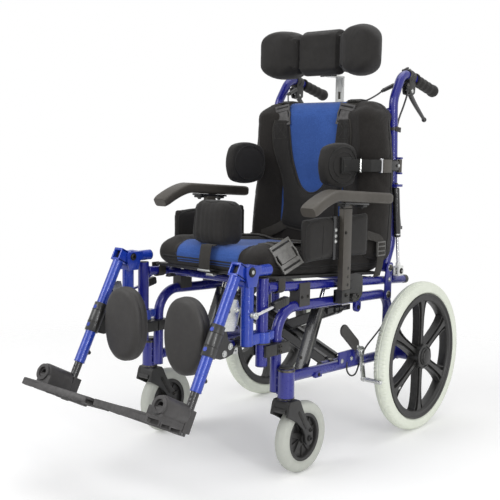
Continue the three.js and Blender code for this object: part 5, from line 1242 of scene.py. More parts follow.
@dataclass
class RearWheel:
    """A six-spoke moulded wheel with its tyre."""

    shop: Workshop
    x: float = 256
    radius: float = 200
    tyre_w: float = 35
    rim_r: float = 169
    rim_inner: float = 147
    rim_w: float = 34
    groove: float = 6
    hub_r: float = 33
    hub_out: float = 289
    hub_in: float = 240
    cap_r: float = 21
    spokes: int = 6
    treads: int = 120

    def build(self, side: Side) -> None:
        """Builds one wheel and its tyre."""
        body = f"rear_wheel_{side.word}"
        self.shop.make(self._wheel(), f"drive_wheel_{side.word}", body, [body], "black_plastic", side)
        self.shop.make(self._tyre(), f"drive_tyre_{side.word}", body, [f"rear_tyre_{side.word}"],
                       "pale_rubber", side)

    def _tyre(self) -> Form:
        """The tyre, with notches round both shoulders and a fine centre groove."""
        half, r = self.tyre_w / 2, self.radius
        seat, lip = self.rim_r - self.groove + 0.3, half - self.groove
        crown = [(r - 10.5, half), (r - 6.8, half - 0.7), (r - 4.0, half - 3.2), (r - 2.2, half - 6.4),
                 (r - 0.9, half - 10), (r - 0.3, half - 13.5), (r - 0.1, 1.9), (r - 1.6, 1.1)]
        outer = [(seat, lip), (self.rim_r + 0.3, lip), (self.rim_r + 3, half - 1.6), (self.rim_r + 6.5, half),
                 (self.rim_r + 12, half + 0.0), *crown]
        profile = [(a, -b) for a, b in outer] + [(a, b) for a, b in reversed(outer)] + [(seat, -lip)]
        notch = set(range(5, 10)) | set(range(len(profile) - 11, len(profile) - 6))

        def tread(row: int, turn: int) -> float:
            """Cuts each fourth segment of the shoulders."""
            return -2.3 if row in notch and turn % 4 == 0 else 0.0

        return Form().turned(profile, (self.x, 0, 200), (1, 0, 0), Look.TYRE, self.treads * 4, tread)

    def _wheel(self) -> Form:
        """Rim, spokes, hub, dust cap and valve."""
        form = Form()
        half, lip = self.rim_w / 2, self.tyre_w / 2 - self.groove + 0.3
        inner, r = self.rim_inner, self.rim_r
        form.turned([(inner + 6, -half), (r - 1, -half), (r, -half + 1), (r, -lip), (r - self.groove, -lip),
                     (r - self.groove, lip), (r, lip), (r, half - 1), (r - 1, half), (r - 5, half),
                     (r - 6.5, half - 2), (r - 9, half - 2.4), (inner + 6, half - 2), (inner + 3, half - 4),
                     (inner + 1, half - 8), (inner, 4), (inner, -4), (inner + 1, -half + 8),
                     (inner + 3, -half + 3), (inner + 6, -half)], (self.x, 0, 200), (1, 0, 0), Look.PLASTIC,
                    144)
        out, inside = self.hub_out - self.x, self.hub_in - self.x
        form.turned([(0, inside), (23, inside), (29, inside + 2), (self.hub_r, inside + 8),
                     (self.hub_r, out - 12), (self.hub_r - 1.5, out - 10), (self.hub_r - 5, out - 9.4),
                     (self.hub_r - 6.5, out - 12), (self.cap_r + 2.5, out - 12), (self.cap_r + 1.5, out - 7),
                     (self.cap_r + 0.5, out - 6), (self.cap_r - 1, out - 6.6), (0, out - 6.6)],
                    (self.x, 0, 200), (1, 0, 0), Look.PLASTIC, 72)
        form.turned([(0, out - 8), (self.cap_r - 1.6, out - 8), (self.cap_r - 1.6, out - 4.5),
                     (self.cap_r - 4, out - 1.6),
                     (self.cap_r - 9, out - 0.3), (0, out)], (self.x, 0, 200), (1, 0, 0), Look.PLASTIC, 48)
        for k in range(self.spokes):
            self._spoke(form, math.pi / 2 + math.tau * k / self.spokes)
        angle = math.radians(212)
        foot = Vector((self.x + 5, inner * math.cos(angle), 200 + inner * math.sin(angle)))
        way = Vector((0.25, -math.cos(angle), -math.sin(angle)))
        form.rod(foot + way * -4, foot + way * 12, 3.2, Look.BOLT)
        form.rod(foot + way * 12, foot + way * 24, 2.4, Look.ZINC)
        return form

    def _spoke(self, form: Form, angle: float) -> None:
        """One spoke: a web that widens to the rim, edged with ribs round a flat raised face.

        Args:
            form: The form that takes the shape.
            angle: Where the spoke stands, in radians.
        """
        out = Vector((0, math.cos(angle), math.sin(angle)))
        tall = Vector((0, -math.sin(angle), math.cos(angle)))
        centre = Vector((self.x, 0, 200))

        def spot(along: float, aside: float, x: float) -> Vector:
            """A point of the spoke, from the hub outwards."""
            return centre + out * along + tall * aside + Vector((x, 0, 0))

        stations = [(26, 15), (44, 13.2), (70, 12.4), (100, 13.4), (126, 17), (140, 22), (150, 29)]

        def layer(shares: Pair, low: float, high: float, trim: float) -> None:
            """A plate between two shares of the spoke's width."""
            points, faces = [], []
            for along, wide in stations:
                a, b = wide * shares[0] + trim, wide * shares[1] - trim
                points += [spot(along, a, low), spot(along, b, low), spot(along, b - 0.8, high),
                           spot(along, a + 0.8, high)]
            for k in range(len(stations) - 1):
                for j in range(4):
                    a, b = 4 * k + j, 4 * k + (j + 1) % 4
                    faces.append((a, b, b + 4, a + 4))
            faces += [(3, 2, 1, 0), tuple(4 * (len(stations) - 1) + j for j in range(4))]
            form.add(points, faces, Look.PLASTIC)

        layer((-1, 1), -3, 3, 0)
        layer((-1, -0.78), -11, 9, 0)
        layer((0.78, 1), -11, 9, 0)
        layer((-0.42, 0.42), -2, 11, 0)
        layer((-0.78, 0.78), -7, -2, 0)


@dataclass
class Caster:
    """A swivelling front wheel: fork, moulded wheel and solid tyre."""

    shop: Workshop
    y: float = -475
    radius: float = 83.5
    width: float = 32
    rim_r: float = 56
    rim_w: float = 24
    hub_r: float = 15
    arms: int = 5
    top: float = 182.7

    def build(self, side: Side) -> None:
        """Builds one caster."""
        self.shop.paired(self._tyre(), "front_tyre", "caster_wheel", "caster_tyre", "grey_rubber", side)
        self.shop.paired(self._wheel(), "front_wheel", "caster_wheel", "caster_wheel", "black_plastic", side)
        self.shop.paired(self._fork(), "front_fork", "caster", "caster_fork", "black_plastic", side)

    def _tyre(self) -> Form:
        """The solid grey tyre, with a rounded tread and a lip at each side."""
        half, r, seat = self.width / 2, self.radius, self.rim_r + 0.3
        outer = [(seat, 12), (seat + 3, 13.6), (seat + 5, 15.4), (seat + 8, half), (r - 12, half),
                 (r - 8, half - 0.8), (r - 4.6, half - 3), (r - 2.2, half - 6.6), (r - 0.7, half - 11),
                 (r, 1.5)]
        profile = [(a, -b) for a, b in outer] + [(a, b) for a, b in reversed(outer)] + [(seat, -12)]
        return Form().turned(profile, (CASTER_X, self.y, self.radius), (1, 0, 0), Look.CASTER, 96)

    def _wheel(self) -> Form:
        """The black web with its pockets, rim and hub."""
        form = Form()
        lip, inner, r = self.rim_w / 2, self.rim_r * 0.84, self.rim_r
        at = (CASTER_X, self.y, self.radius)
        form.turned([(inner, -lip), (r, -lip), (r, lip), (inner + 2, lip), (inner, lip - 3), (inner, -lip)],
                    at, (1, 0, 0), Look.PLASTIC, 72)
        form.turned([(self.hub_r - 9, -16), (self.hub_r - 1, -16), (self.hub_r, -15), (self.hub_r, 15),
                     (self.hub_r - 1, 16), (self.hub_r - 9, 16), (self.hub_r - 9, -16)], at, (1, 0, 0),
                    Look.PLASTIC, 40)
        form.turned([(self.hub_r - 2, -3), (inner + 1, -3), (inner + 1, 3), (self.hub_r - 2, 3),
                     (self.hub_r - 2, -3)], at, (1, 0, 0), Look.PLASTIC, 60)
        centre = Vector(at)
        for k in range(self.arms):
            angle = math.pi / 2 + math.tau * k / self.arms
            out = Vector((0, math.cos(angle), math.sin(angle)))
            form.sweep([centre + out * 12, centre + out * (inner + 1)], lozenge(17, 15, 1.5), Look.PLASTIC,
                       (1, 0, 0), [1, 0.62])
            side = angle + math.pi / self.arms
            mid = Vector((0, math.cos(side), math.sin(side)))
            form.sweep([centre + mid * 12, centre + mid * (inner + 1)], lozenge(12, 2.6, 1), Look.PLASTIC,
                       (1, 0, 0))
        return form

    def _fork(self) -> Form:
        """The curved legs, crown, stem, cap, bolts and the hollow boss in front."""
        form = Form()
        inner, thick = 19.25, 7
        y, r = self.y, self.radius
        leg = [(-558, 149.7), (-551, 176), (-546, self.top), (-516, self.top), (-510, 177), (-502, 160),
               (-484, 128), (-467, 108), (-462, 96), (-462, 76), (-466, 69), (-475, 66.6), (-484, 70),
               (-489, 80), (-492, 96), (-502, 112), (-524, 132), (-544, 143)]
        for hand in (-1, 1):
            edge = CASTER_X + hand * inner
            form.plate(leg, edge, edge + hand * thick, Look.PLASTIC, edge=1.8, segments=3)
            face = edge + hand * thick
            form.plate(slot_outline((-515, 152), (-488, 112), 4.2), face - hand * 0.8, face + hand * 0.9,
                       Look.BOLT, edge=0.6)
            form.bolt((face, y, r), (hand, 0, 0), 6.6, 4)
            form.bolt((face, y + 3.5, r + 19), (hand, 0, 0), 4.2, 2.8)
        crown = [(-556, 154), (-550, 175), (-546, self.top), (-516, self.top), (-510, 177), (-505, 166),
                 (-517, 168), (-534, 170)]
        form.plate(crown, CASTER_X - inner - 1, CASTER_X + inner + 1, Look.PLASTIC, edge=1.5)
        form.rod((CASTER_X, FRONT_Y, 175), (CASTER_X, FRONT_Y, 258), 8, Look.ZINC)
        form.turned([(0, 254.3), (16, 254.3), (17, 255.2), (17, 257.6), (15.6, 259.1), (7, 259.3),
                     (0, 259.3)], (CASTER_X, FRONT_Y, 0), (0, 0, 1), Look.BOLT, 40)
        form.pipe((CASTER_X - 17, -551, 160), (CASTER_X + 17, -551, 160), 6.6, 2.2, Look.PLASTIC)
        form.rod((CASTER_X - inner, y, r), (CASTER_X - 16.2, y, r), 6, Look.ZINC)
        form.rod((CASTER_X + 16.2, y, r), (CASTER_X + inner, y, r), 6, Look.ZINC)
        form.rod((CASTER_X - 17, y, r), (CASTER_X + 17, y, r), 3.9, Look.ZINC)
        return form


@dataclass
class TiltStrut:
    """The locking strut that tilts the seat: a guarded cylinder and its rod."""

    shop: Workshop
    x: float = 160
    foot: Pair = (-397, 214)
    head: Pair = (-306, 412)
    width: float = 25
    length: float = 172

    def build(self, side: Side) -> None:
        """Builds one strut.

        Args:
            side: The side that it is built for.
        """
        foot, head = Vector((self.x, *self.foot)), Vector((self.x, *self.head))
        along = (head - foot).normalized()
        guard = Form()
        section = lozenge(self.width, self.width, 2.2)
        guard.sweep([foot - along * 9, foot + along * self.length], section, Look.BLACK_BAR, (1, 0, 0))
        across = along.cross(Vector((1, 0, 0)))
        for hand in (-1, 1):
            face = foot + Vector((hand * 12.3, 0, 0))
            guard.bar(face + along * 18, face + along * 160, 1.2, 5, Look.BUCKLE, (1, 0, 0), 0.5)
            guard.bolt(foot + across * (hand * 12.4) + along * 28, across * hand, 3.4, 2.2)
        guard.rod(foot + along * self.length, foot + along * (self.length + 2), 10.5, Look.PLASTIC)
        body = f"tilt_strut_cylinder_{side.word}"
        self.shop.make(guard, f"strut_guard_{side.word}", "base", [body], "black_steel", side)
        rod = Form()
        rod.rod(foot + along * 27, head - along * 6, 5, Look.CHROME)
        rod.pipe(head - Vector((5, 0, 0)), head + Vector((5, 0, 0)), 9, 3.2, Look.ZINC)
        rod.rod(head - Vector((4.9, 0, 0)), head + Vector((4.9, 0, 0)), 5.6, Look.BOLT)
        self.shop.paired(rod, "strut_rod", "strut_rod", "tilt_strut_rod", "bright_steel", side)


@dataclass
class ParkingBrake:
    """The lever that pushes a bar on the rear tyre."""

    shop: Workshop
    x: float = 216
    pivot: Pair = (-219, 240)
    shoe: Pair = (-202.6, 166)
    handle: Pair = (-297, 305)

    def build(self, side: Side) -> None:
        """Builds one parking brake.

        Args:
            side: The side that it is built for.
        """
        form = Form()
        x = self.x
        form.plate(slot_outline(self.pivot, self.shoe, 7), x - 2.5, x + 2.5, Look.ZINC, edge=0.8)
        form.pipe((x - 2.6, *self.pivot), (x + 2.6, *self.pivot), 14, 9.3, Look.ZINC)
        shoe_y = -math.sqrt(200 ** 2 - 34 ** 2) - 6.8
        form.rod((x - 5, shoe_y, 166), (x + 54, shoe_y, 166), 5.6, Look.ZINC)
        knee = tuple(pivot + (handle - pivot) * 0.5 for pivot, handle in zip(self.pivot, self.handle))
        form.plate(slot_outline(self.pivot, knee, 7), x - 2.5, x + 2.5, Look.ZINC, edge=0.8)
        start = (self.pivot[0] + (self.handle[0] - self.pivot[0]) * 0.35,
                 self.pivot[1] + (self.handle[1] - self.pivot[1]) * 0.35)
        form.plate(slot_outline(start, self.handle, 15, 12), x - 3, x + 3, Look.SKIN, edge=2.4, segments=3)
        form.rod((x - 3.4, -240, 256), (x - 2.0, -240, 256), 4, Look.ZINC)
        for y, z in ((-238, 256), (-210, 205)):
            form.bolt((x + 2.5, y, z), (1, 0, 0), 3.4, 2.4, Look.ZINC)
        self.shop.paired(form, "wheel_lock", "parking_brake", "parking_brake", "bright_steel", side)


@dataclass
class Saddle:
    """The block on the base's tube that the seat's rail rests in."""

    shop: Workshop
    y: float = -448
    length: float = 40
    width: float = 30

    def build(self, side: Side) -> None:
        """Builds one saddle: two cheeks, a web and a screw.

        Args:
            side: The side that it is built for.
        """
        form = Form()
        low, high = top_tube(self.y), rail(self.y) + 8
        rail_r, tube_r, half = 11.4, 12.9, self.width / 2
        z_rail, z_tube = rail(self.y), low
        right = [(half, low), (half, high - 2), (half - 1.5, high), (rail_r, high)]
        cup = [(rail_r * math.cos(a), z_rail - rail_r * math.sin(a))
               for a in (math.pi * k / 14 for k in range(15))]
        left = [(-rail_r, high), (-half + 1.5, high), (-half, high - 2), (-half, low)]
        over = [(-tube_r * math.cos(a), z_tube + tube_r * math.sin(a))
                for a in (math.pi * k / 14 for k in range(15))]
        outline = [(FRAME_X + x, z) for x, z in [*right, *cup, *left, *over]]
        form.plate(outline, self.y - self.length / 2, self.y + self.length / 2, Look.SKIN, Plane.XZ, 1.0)
        for y in (self.y - 11, self.y + 11):
            form.bolt((FRAME_X + half, y, low + 22), (1, 0, 0), 3.4, 2.4)
        self.shop.paired(form, "saddle", "base", "rail_saddle", "black_plastic", side)


@dataclass
class SeatFrame:
    """The seat's rails, posts, pivot plates and cross tubes."""

    shop: Workshop
    rail_d: float = 22
    post_d: float = 27
    rear_y: float = 24
    plate_x: float = 204.1

    def build(self) -> None:
        """Builds both halves and the cross tubes."""
        for side in Side:
            form = Form()
            self._half(form)
            if side is Side.LEFT:
                form.plate([(-55, rail(-46)), (-37, rail(-46)), (-37, 436), (-42, 440), (-50, 440),
                            (-55, 436)], 199.7, 204.7, Look.ENAMEL)
                form.rod((200, -46, 430), (226.5, -46, 430), 4.5, Look.ZINC)
                form.bolt((223.4, -46, 430), (1, 0, 0), 6, 3.4)
            self.shop.make(form, f"seat_rail_{side.word}", "seat", ["seat_frame"], "frame_blue", side)
        cross = Form()
        for y in (-500, -135):
            cross.rod((-FRAME_X, y, rail(y)), (FRAME_X, y, rail(y)), 10, Look.ENAMEL, edge=0)
            for x in (-182, 182):
                cross.ring((x, y, rail(y)), (1, 0, 0), 10.2, 1.6, Look.ENAMEL)
        self.shop.make(cross, "seat_cross_tubes", "seat", ["seat_frame"], "frame_blue")

    def _half(self, form: Form) -> None:
        """One rail with its post, gusset, pivot plate and strut lug.

        Args:
            form: The form that takes the shape.
        """
        x, front, rear = FRAME_X, RAIL_FRONT_Y, self.rear_y
        form.tube([(x, front, rail(front)), (x, rear, rail(rear))], self.rail_d, Look.ENAMEL, sides=30)
        form.rod((x, rear - 9, rail(rear - 9)), (x, rear + 9, rail(rear + 9)), 11.6, Look.PLASTIC, edge=2)
        form.rod((x, front, 263), (x, front, 461), self.post_d / 2, Look.ENAMEL, 32, 0.6)
        form.rod((x, front, 458), (x, front, 462), 13.2, Look.PLASTIC, edge=1)
        form.rod((x, front, 263.4), (x, front, 266), 13.7, Look.PLASTIC, edge=1)
        form.ring((x, front + 12, rail(front)), (0, 1, 0), 11.8, 2, Look.ENAMEL)
        form.plate([(front + 6, rail(front) - 6), (front + 12, rail(front) - 20),
                    (front + 16, rail(front) - 20), (front + 38, rail(front + 36) - 8)], x - 2.5, x + 2.5,
                   Look.ENAMEL)
        py, pz = PIVOT
        hy, hz = HINGE
        plate = self.plate_x
        form.plate([(py - 15, pz - 11), (py - 11, pz - 15), (py + 11, pz - 15), (py + 15, pz - 11),
                    (py + 15, rail(py) + 11),
                    (hy + 14, hz + 9), (hy + 9, hz + 14), (hy - 9, hz + 14), (hy - 14, hz + 9),
                    (py - 15, rail(py) + 11)],
                   plate, plate + 5, Look.ENAMEL, edge=1.2)
        form.block((x, py - 14, rail(py) - 5), (plate, py + 14, rail(py) + 5), Look.ENAMEL, 0.8)
        form.rod((x - 12.8, py, pz), (plate + 7, py, pz), 5, Look.ZINC)
        form.rod((x - 12, hy, hz), (plate + 7, hy, hz), 5, Look.ZINC)
        for y, z in (PIVOT, HINGE):
            form.nut((plate + 5, y, z), (1, 0, 0), 8, 4, Look.BOLT)
            form.rod((plate + 4.8, y, z), (plate + 5.8, y, z), 10, Look.ZINC)
        form.bolt((plate + 5, py + 3, rail(py) + 3), (1, 0, 0), 4.4, 3, Look.ZINC)
        strut = STRUT_HEAD_Y
        form.block((165.3, strut - 9, rail(strut) - 5), (x, strut + 9, rail(strut) + 5), Look.ENAMEL)
        form.block((165.3, strut - 9, 403), (170.3, strut + 9, rail(strut) + 5), Look.ENAMEL)


@dataclass
class SeatBoard:
    """The board under the cushion, with its lip, vents, screws and hook straps."""

    shop: Workshop
    front_y: float = -550
    rear_y: float = -94
    half_x: float = 184
    thick: float = 8

    def build(self) -> None:
        """Builds the board and what hangs from it."""
        form = Form()
        t, f, r = self.thick, self.front_y, self.rear_y
        outline = [(f, board_top(f)), (f, board_top(f) - t + 2), (f + 2, board_top(f) - t),
                   (r, board_top(r) - t), (r, board_top(r))]
        form.plate(outline, -169.5, 169.5, Look.PLASTIC, edge=0.9)
        for hand in (-1, 1):
            form.plate([(f, board_top(f)), (f, board_top(f) - 7), (r, board_top(r) - 7), (r, board_top(r))],
                       hand * 168, hand * self.half_x, Look.PLASTIC, edge=0.9)
        for x in (-118, -40, 40, 118):
            y = f + 28
            under = board_top(y) - t
            form.bolt((x, y, under), (0, 0, -1), 5, 4, Look.ZINC)
            form.block((x - 9, y - 8, under - 1.8), (x + 9, y + 8, under), Look.ZINC, 0.5)
        for x in (-150, 150):
            form.plate([(-540, 431), (-522, 431), (-518, 424), (-544, 424)], x - 7, x + 7, Look.PLASTIC,
                       edge=1.0)
        for y in (-250, -400):
            for x in (-60, 0, 60):
                under = board_top(y) - t
                form.block((x - 22, y - 4, under - 1.6), (x + 22, y + 4, under + 0.2), Look.BOLT, 0.6)
        for hand in (-1, 1):
            for y in (-533, -228):
                loop = [(hand * FRAME_X + 13.2 * math.cos(a), y, rail(y) + 13.2 * math.sin(a))
                        for a in (math.radians(-200 + 220 * k / 16 if hand > 0 else 20 - 220 * k / 16)
                                  for k in range(17))]
                inner = (hand * 176, y, board_top(y) - 5)
                outer = (hand * (FRAME_X + 13), y, board_top(y) - 2)
                path = [inner, *loop, outer] if hand > 0 else [inner, *loop, outer]
                form.sweep(path, lozenge(24, 2.2, 0.9), Look.WEBBING, (0, 1, 0))
        self.shop.make(form, "seat_panel", "seat", ["seat_board"], "black_plastic")


class Cushion:
    """What the padded pieces share: pressing seams, colouring panels and laying piping."""

    @staticmethod
    def press(form: Form, depth: Callable[[Vector], Vector]) -> None:
        """Moves every point by what the function gives for it."""
        form.points = [p + depth(p) for p in form.points]

    @staticmethod
    def colour(form: Form, choose: Callable[[Vector], Look]) -> None:
        """Gives each face the look that the function chooses for its middle."""
        for i, face in enumerate(form.faces):
            middle = sum((form.points[k] for k in face), Vector()) / len(face)
            form.looks[i] = choose(middle)

    @staticmethod
    def snap(form: Form, edge: Callable[[Vector], float], reach: float) -> None:
        """Moves the points beside a seam on to it, so that the colours meet there."""
        for p in form.points:
            away = edge(p) - abs(p.x)
            if abs(away) < reach and p.z > 0:
                p.x += math.copysign(away, p.x)

    @staticmethod
    def move(form: Form, matrix: Matrix) -> None:
        """Carries a form by a matrix."""
        form.points = [matrix @ p for p in form.points]

    @staticmethod
    def pipe(form: Form, line: Sequence[Vector], radius: float = 1.5, look: Look = Look.PIPING) -> None:
        """Sews piping along a line."""
        if len(line) > 2:
            form.sweep(smoothed(line), circle(radius, 8), look)


SLOPE = math.atan2(rail(RAIL_REAR_Y) - rail(RAIL_FRONT_Y), RAIL_REAR_Y - RAIL_FRONT_Y)


@dataclass
class SeatCushion(Cushion):
    """The contoured seat cushion: a blue middle between black bolsters."""

    shop: Workshop
    half_x: float = 187
    front_y: float = -574
    rear_y: float = -62
    thick: float = 62
    bolster: float = 6
    panel_x: float = 112

    def build(self) -> Skin:
        """Fills the cushion, sews its seams, sets it on the board and returns its surface."""
        length = self.rear_y - self.front_y
        start = Form().pad((self.half_x * 2 - 5, length - 5, self.thick - 5), (42, 46, 8), 24, Look.KNIT,
                           self._shape)
        form = self.shop.swell(start, 6.5, 7)
        self.press(form, self._seams)
        seam = self.panel_x

        def edge(spot: Vector) -> float:
            """How far out the seam runs at a spot."""
            return seam * (1 - 0.1 * ease(0.6, 0.95, -spot.y / (length / 2)))

        def panel(middle: Vector) -> Look:
            """Blue between the seams, above the base's band."""
            blue = abs(middle.x) < edge(middle) and middle.z > -21 and middle.y < length * 0.22
            return Look.BLUE_KNIT if blue else Look.KNIT

        self.snap(form, edge, 4.4)
        self.colour(form, panel)
        skin = Skin(form)
        trim = Form()
        for hand in (-1, 1):
            top = [(hand * seam * (1 - 0.1 * ease(0.6, 0.95, -y / (length / 2))), y, 90)
                   for y in (length / 2 - 14 - k * 6 for k in range(int((length - 26) / 6)))]
            line = skin.lay(top, (0, 0, -1), -1.3)
            front = [(hand * seam * 0.9, -length, z) for z in (24 - 3 * k for k in range(16))]
            line += skin.lay(front, (0, 1, 0), -1.3)
            self.pipe(trim, line, 2.7, Look.KNIT)
            inside = [p + Vector((-hand * 5, 0, 0.3)) for p in line]
            stitches(trim, skin_line(skin, inside, (0, 0, -1)), pitch=6)
        ring = self._perimeter(length)
        welt = [skin.near(p, 0.3) for p in ring]
        trim.sweep([*smoothed(welt), welt[0]], circle(1.8, 8), Look.PIPING)
        trim_low = [skin.near(p - Vector((0, 0, 14)), 0.3) for p in ring]
        trim.sweep([*smoothed(trim_low), trim_low[0]], circle(1.3, 8), Look.PIPING)
        form.take(trim)
        middle = (self.front_y + self.rear_y) / 2
        place = Matrix.Translation((0, middle, board_top(middle))) @ Matrix.Rotation(SLOPE, 4, "X")
        self.move(form, place @ Matrix.Translation((0, 0, self.thick / 2 + 0.3)))
        made = self.shop.make(form, "seat_pad", "seat", ["seat_cushion"], "blue_fabric")
        return Skin(form)

    def _shape(self, spot: Vector, u: float, v: float, w: float) -> Vector:
        """Raises the bolsters, dips the middle and narrows the front."""
        if w > 0:
            side, edge = ease(0.5, 0.8, abs(u)), 1 - ease(0.75, 1, abs(v))
            spot.z += (side * self.bolster - (1 - side) * 4) * edge * w
            spot.z -= ease(0.8, 1, -v) * 4
            spot.z -= 31 * ease(0.62, 0.75, v) * w
        spot.x *= (1 - 0.05 * ease(0.62, 0.92, -v)) * (1 - 0.02 * ease(0.8, 0.95, v))
        return spot

    def _seams(self, p: Vector) -> Vector:
        """The valleys that the two long seams pull in."""
        near = math.exp(-((abs(p.x) - self.panel_x * 0.98) / 7) ** 2)
        out = Vector((0, 0, -3.2 * near)) if p.z > 0 else Vector()
        wave = 0.7 * noise.noise(Vector((p.x * 0.02, p.y * 0.025, 3.1)))
        return out + Vector((0, 0, wave if p.z > 0 else 0))

    def _perimeter(self, length: float) -> list[Vector]:
        """A loop round the cushion's sides, above its base."""
        ring = []
        for k in range(120):
            angle = math.tau * k / 120
            c, s = math.cos(angle), math.sin(angle)
            reach = 1 / max(abs(c) / (self.half_x + 6), abs(s) / (length / 2 + 6))
            ring.append(Vector((c * reach, s * reach, -13)))
        return ring


def skin_line(skin: Skin, line: Sequence[Vector], way: Point) -> list[Vector]:
    """Drops a line that floats near a surface straight on it."""
    back = Vector(way).normalized() * -30
    return [spot for spot in (skin.drop(p + back, way, 0.3) for p in line) if spot is not None]


@dataclass
class Pommel(Cushion):
    """The upright pad at the seat's front edge, held by a strap."""

    shop: Workshop
    y: float = -528
    size: tuple[float, float, float] = (118, 78, 108)
    strap_x: float = 8

    def build(self) -> None:
        """Fills the pad and runs its strap down the front."""
        w, d, h = self.size
        start = Form().pad((w - 5, d - 4, h - 4), (24, 16, 22), 24, Look.SLEEK, self._shape)
        form = self.shop.swell(start, 4.5, 5)
        self.press(form, lambda p: Vector((0, 0.5 * math.sin(p.x * 0.42) * (1 if p.y < 0 else 0), 0))
                   + Vector((0, 1.6 * math.exp(-((p.x + 26) / 4) ** 2) * (1 if p.y < 0 else -1), 0)))
        skin = Skin(form)
        trim = Form()
        for x in (-44, 47):
            front = skin.lay([(x, -120, z) for z in (-h / 2 + 10 + 4 * k for k in range(22))], (0, 1, 0), 0.2)
            self.pipe(trim, front, 0.9)
        top = [(x, y, 90) for x, y in ((math.cos(a) * (w / 2 - 13), math.sin(a) * (d / 2 - 11))
                                       for a in (math.tau * k / 40 for k in range(41)))]
        self.pipe(trim, skin.lay(top, (0, 0, -1), 0.2), 1.2)
        form.take(trim)
        base = seat_top(self.y) - 6 * 0.85 + 0.3
        place = Matrix.Translation((0, self.y, base)) @ Matrix.Rotation(SLOPE, 4, "X")
        self.move(form, place @ Matrix.Translation((0, 0, h / 2)))
        made = self.shop.make(form, "pommel_pad", "seat", ["pommel"], "black_fabric")
        self._strap(base)

    def _shape(self, spot: Vector, u: float, v: float, w: float) -> Vector:
        """Narrows the pad upwards and hollows its sides for the thighs."""
        spot.x *= 1 - 0.06 * w
        spot.x -= math.copysign(3.0 * (1 - v * v) * abs(u), u)
        return spot

    def _strap(self, base: float) -> None:
        """The strap from the pad over the cushion's front and under the board.

        Args:
            base: The height of the pad's underside.
        """
        front, board = -574 - 3.4, board_top(STRAP_TURN_Y)
        y = self.y - self.size[1] / 2
        path = [(0, y + 14, base + 3), (0, y + 3, base + 1.5), (0, y - 4, seat_top(y) - 5),
                (0, front + 2, seat_top(front) - 20), (0, front - 1.2, board + 20),
                (0, front + 0.4, board - 2), (0, front + 12, board - 8), (0, front + 44, board - 16)]
        path = [(self.strap_x, *p[1:]) for p in path]
        form = Form().ribbon(path, 34, 2.2, Look.WEBBING)
        flat = flowing(path, 8)
        for aside in (-14.5, 14.5):
            stitches(form, [p + Vector((aside, -1.2, 0.2)) for p in flat], pitch=4.5, thick=0.4)
        x = self.strap_x
        form.block((x - 20, front - 4.6, board - 5), (x + 20, front - 1.2, board), Look.ZINC, 1.2)
        form.block((x + 2, front + 2, board - 15), (x + 24, front + 16, board - 9), Look.ZINC, 1.4)
        self.shop.make(form, "pommel_strap", "seat", ["pommel"], "webbing")


def arm_line(y: float) -> float:
    """The height of the armrest pad's centre line."""
    droop = min(max((-386 - y) / 101, 0.0), 1.0)
    return span(y, (-424, 641), (-156, 626)) - 41.75 * droop ** 1.5


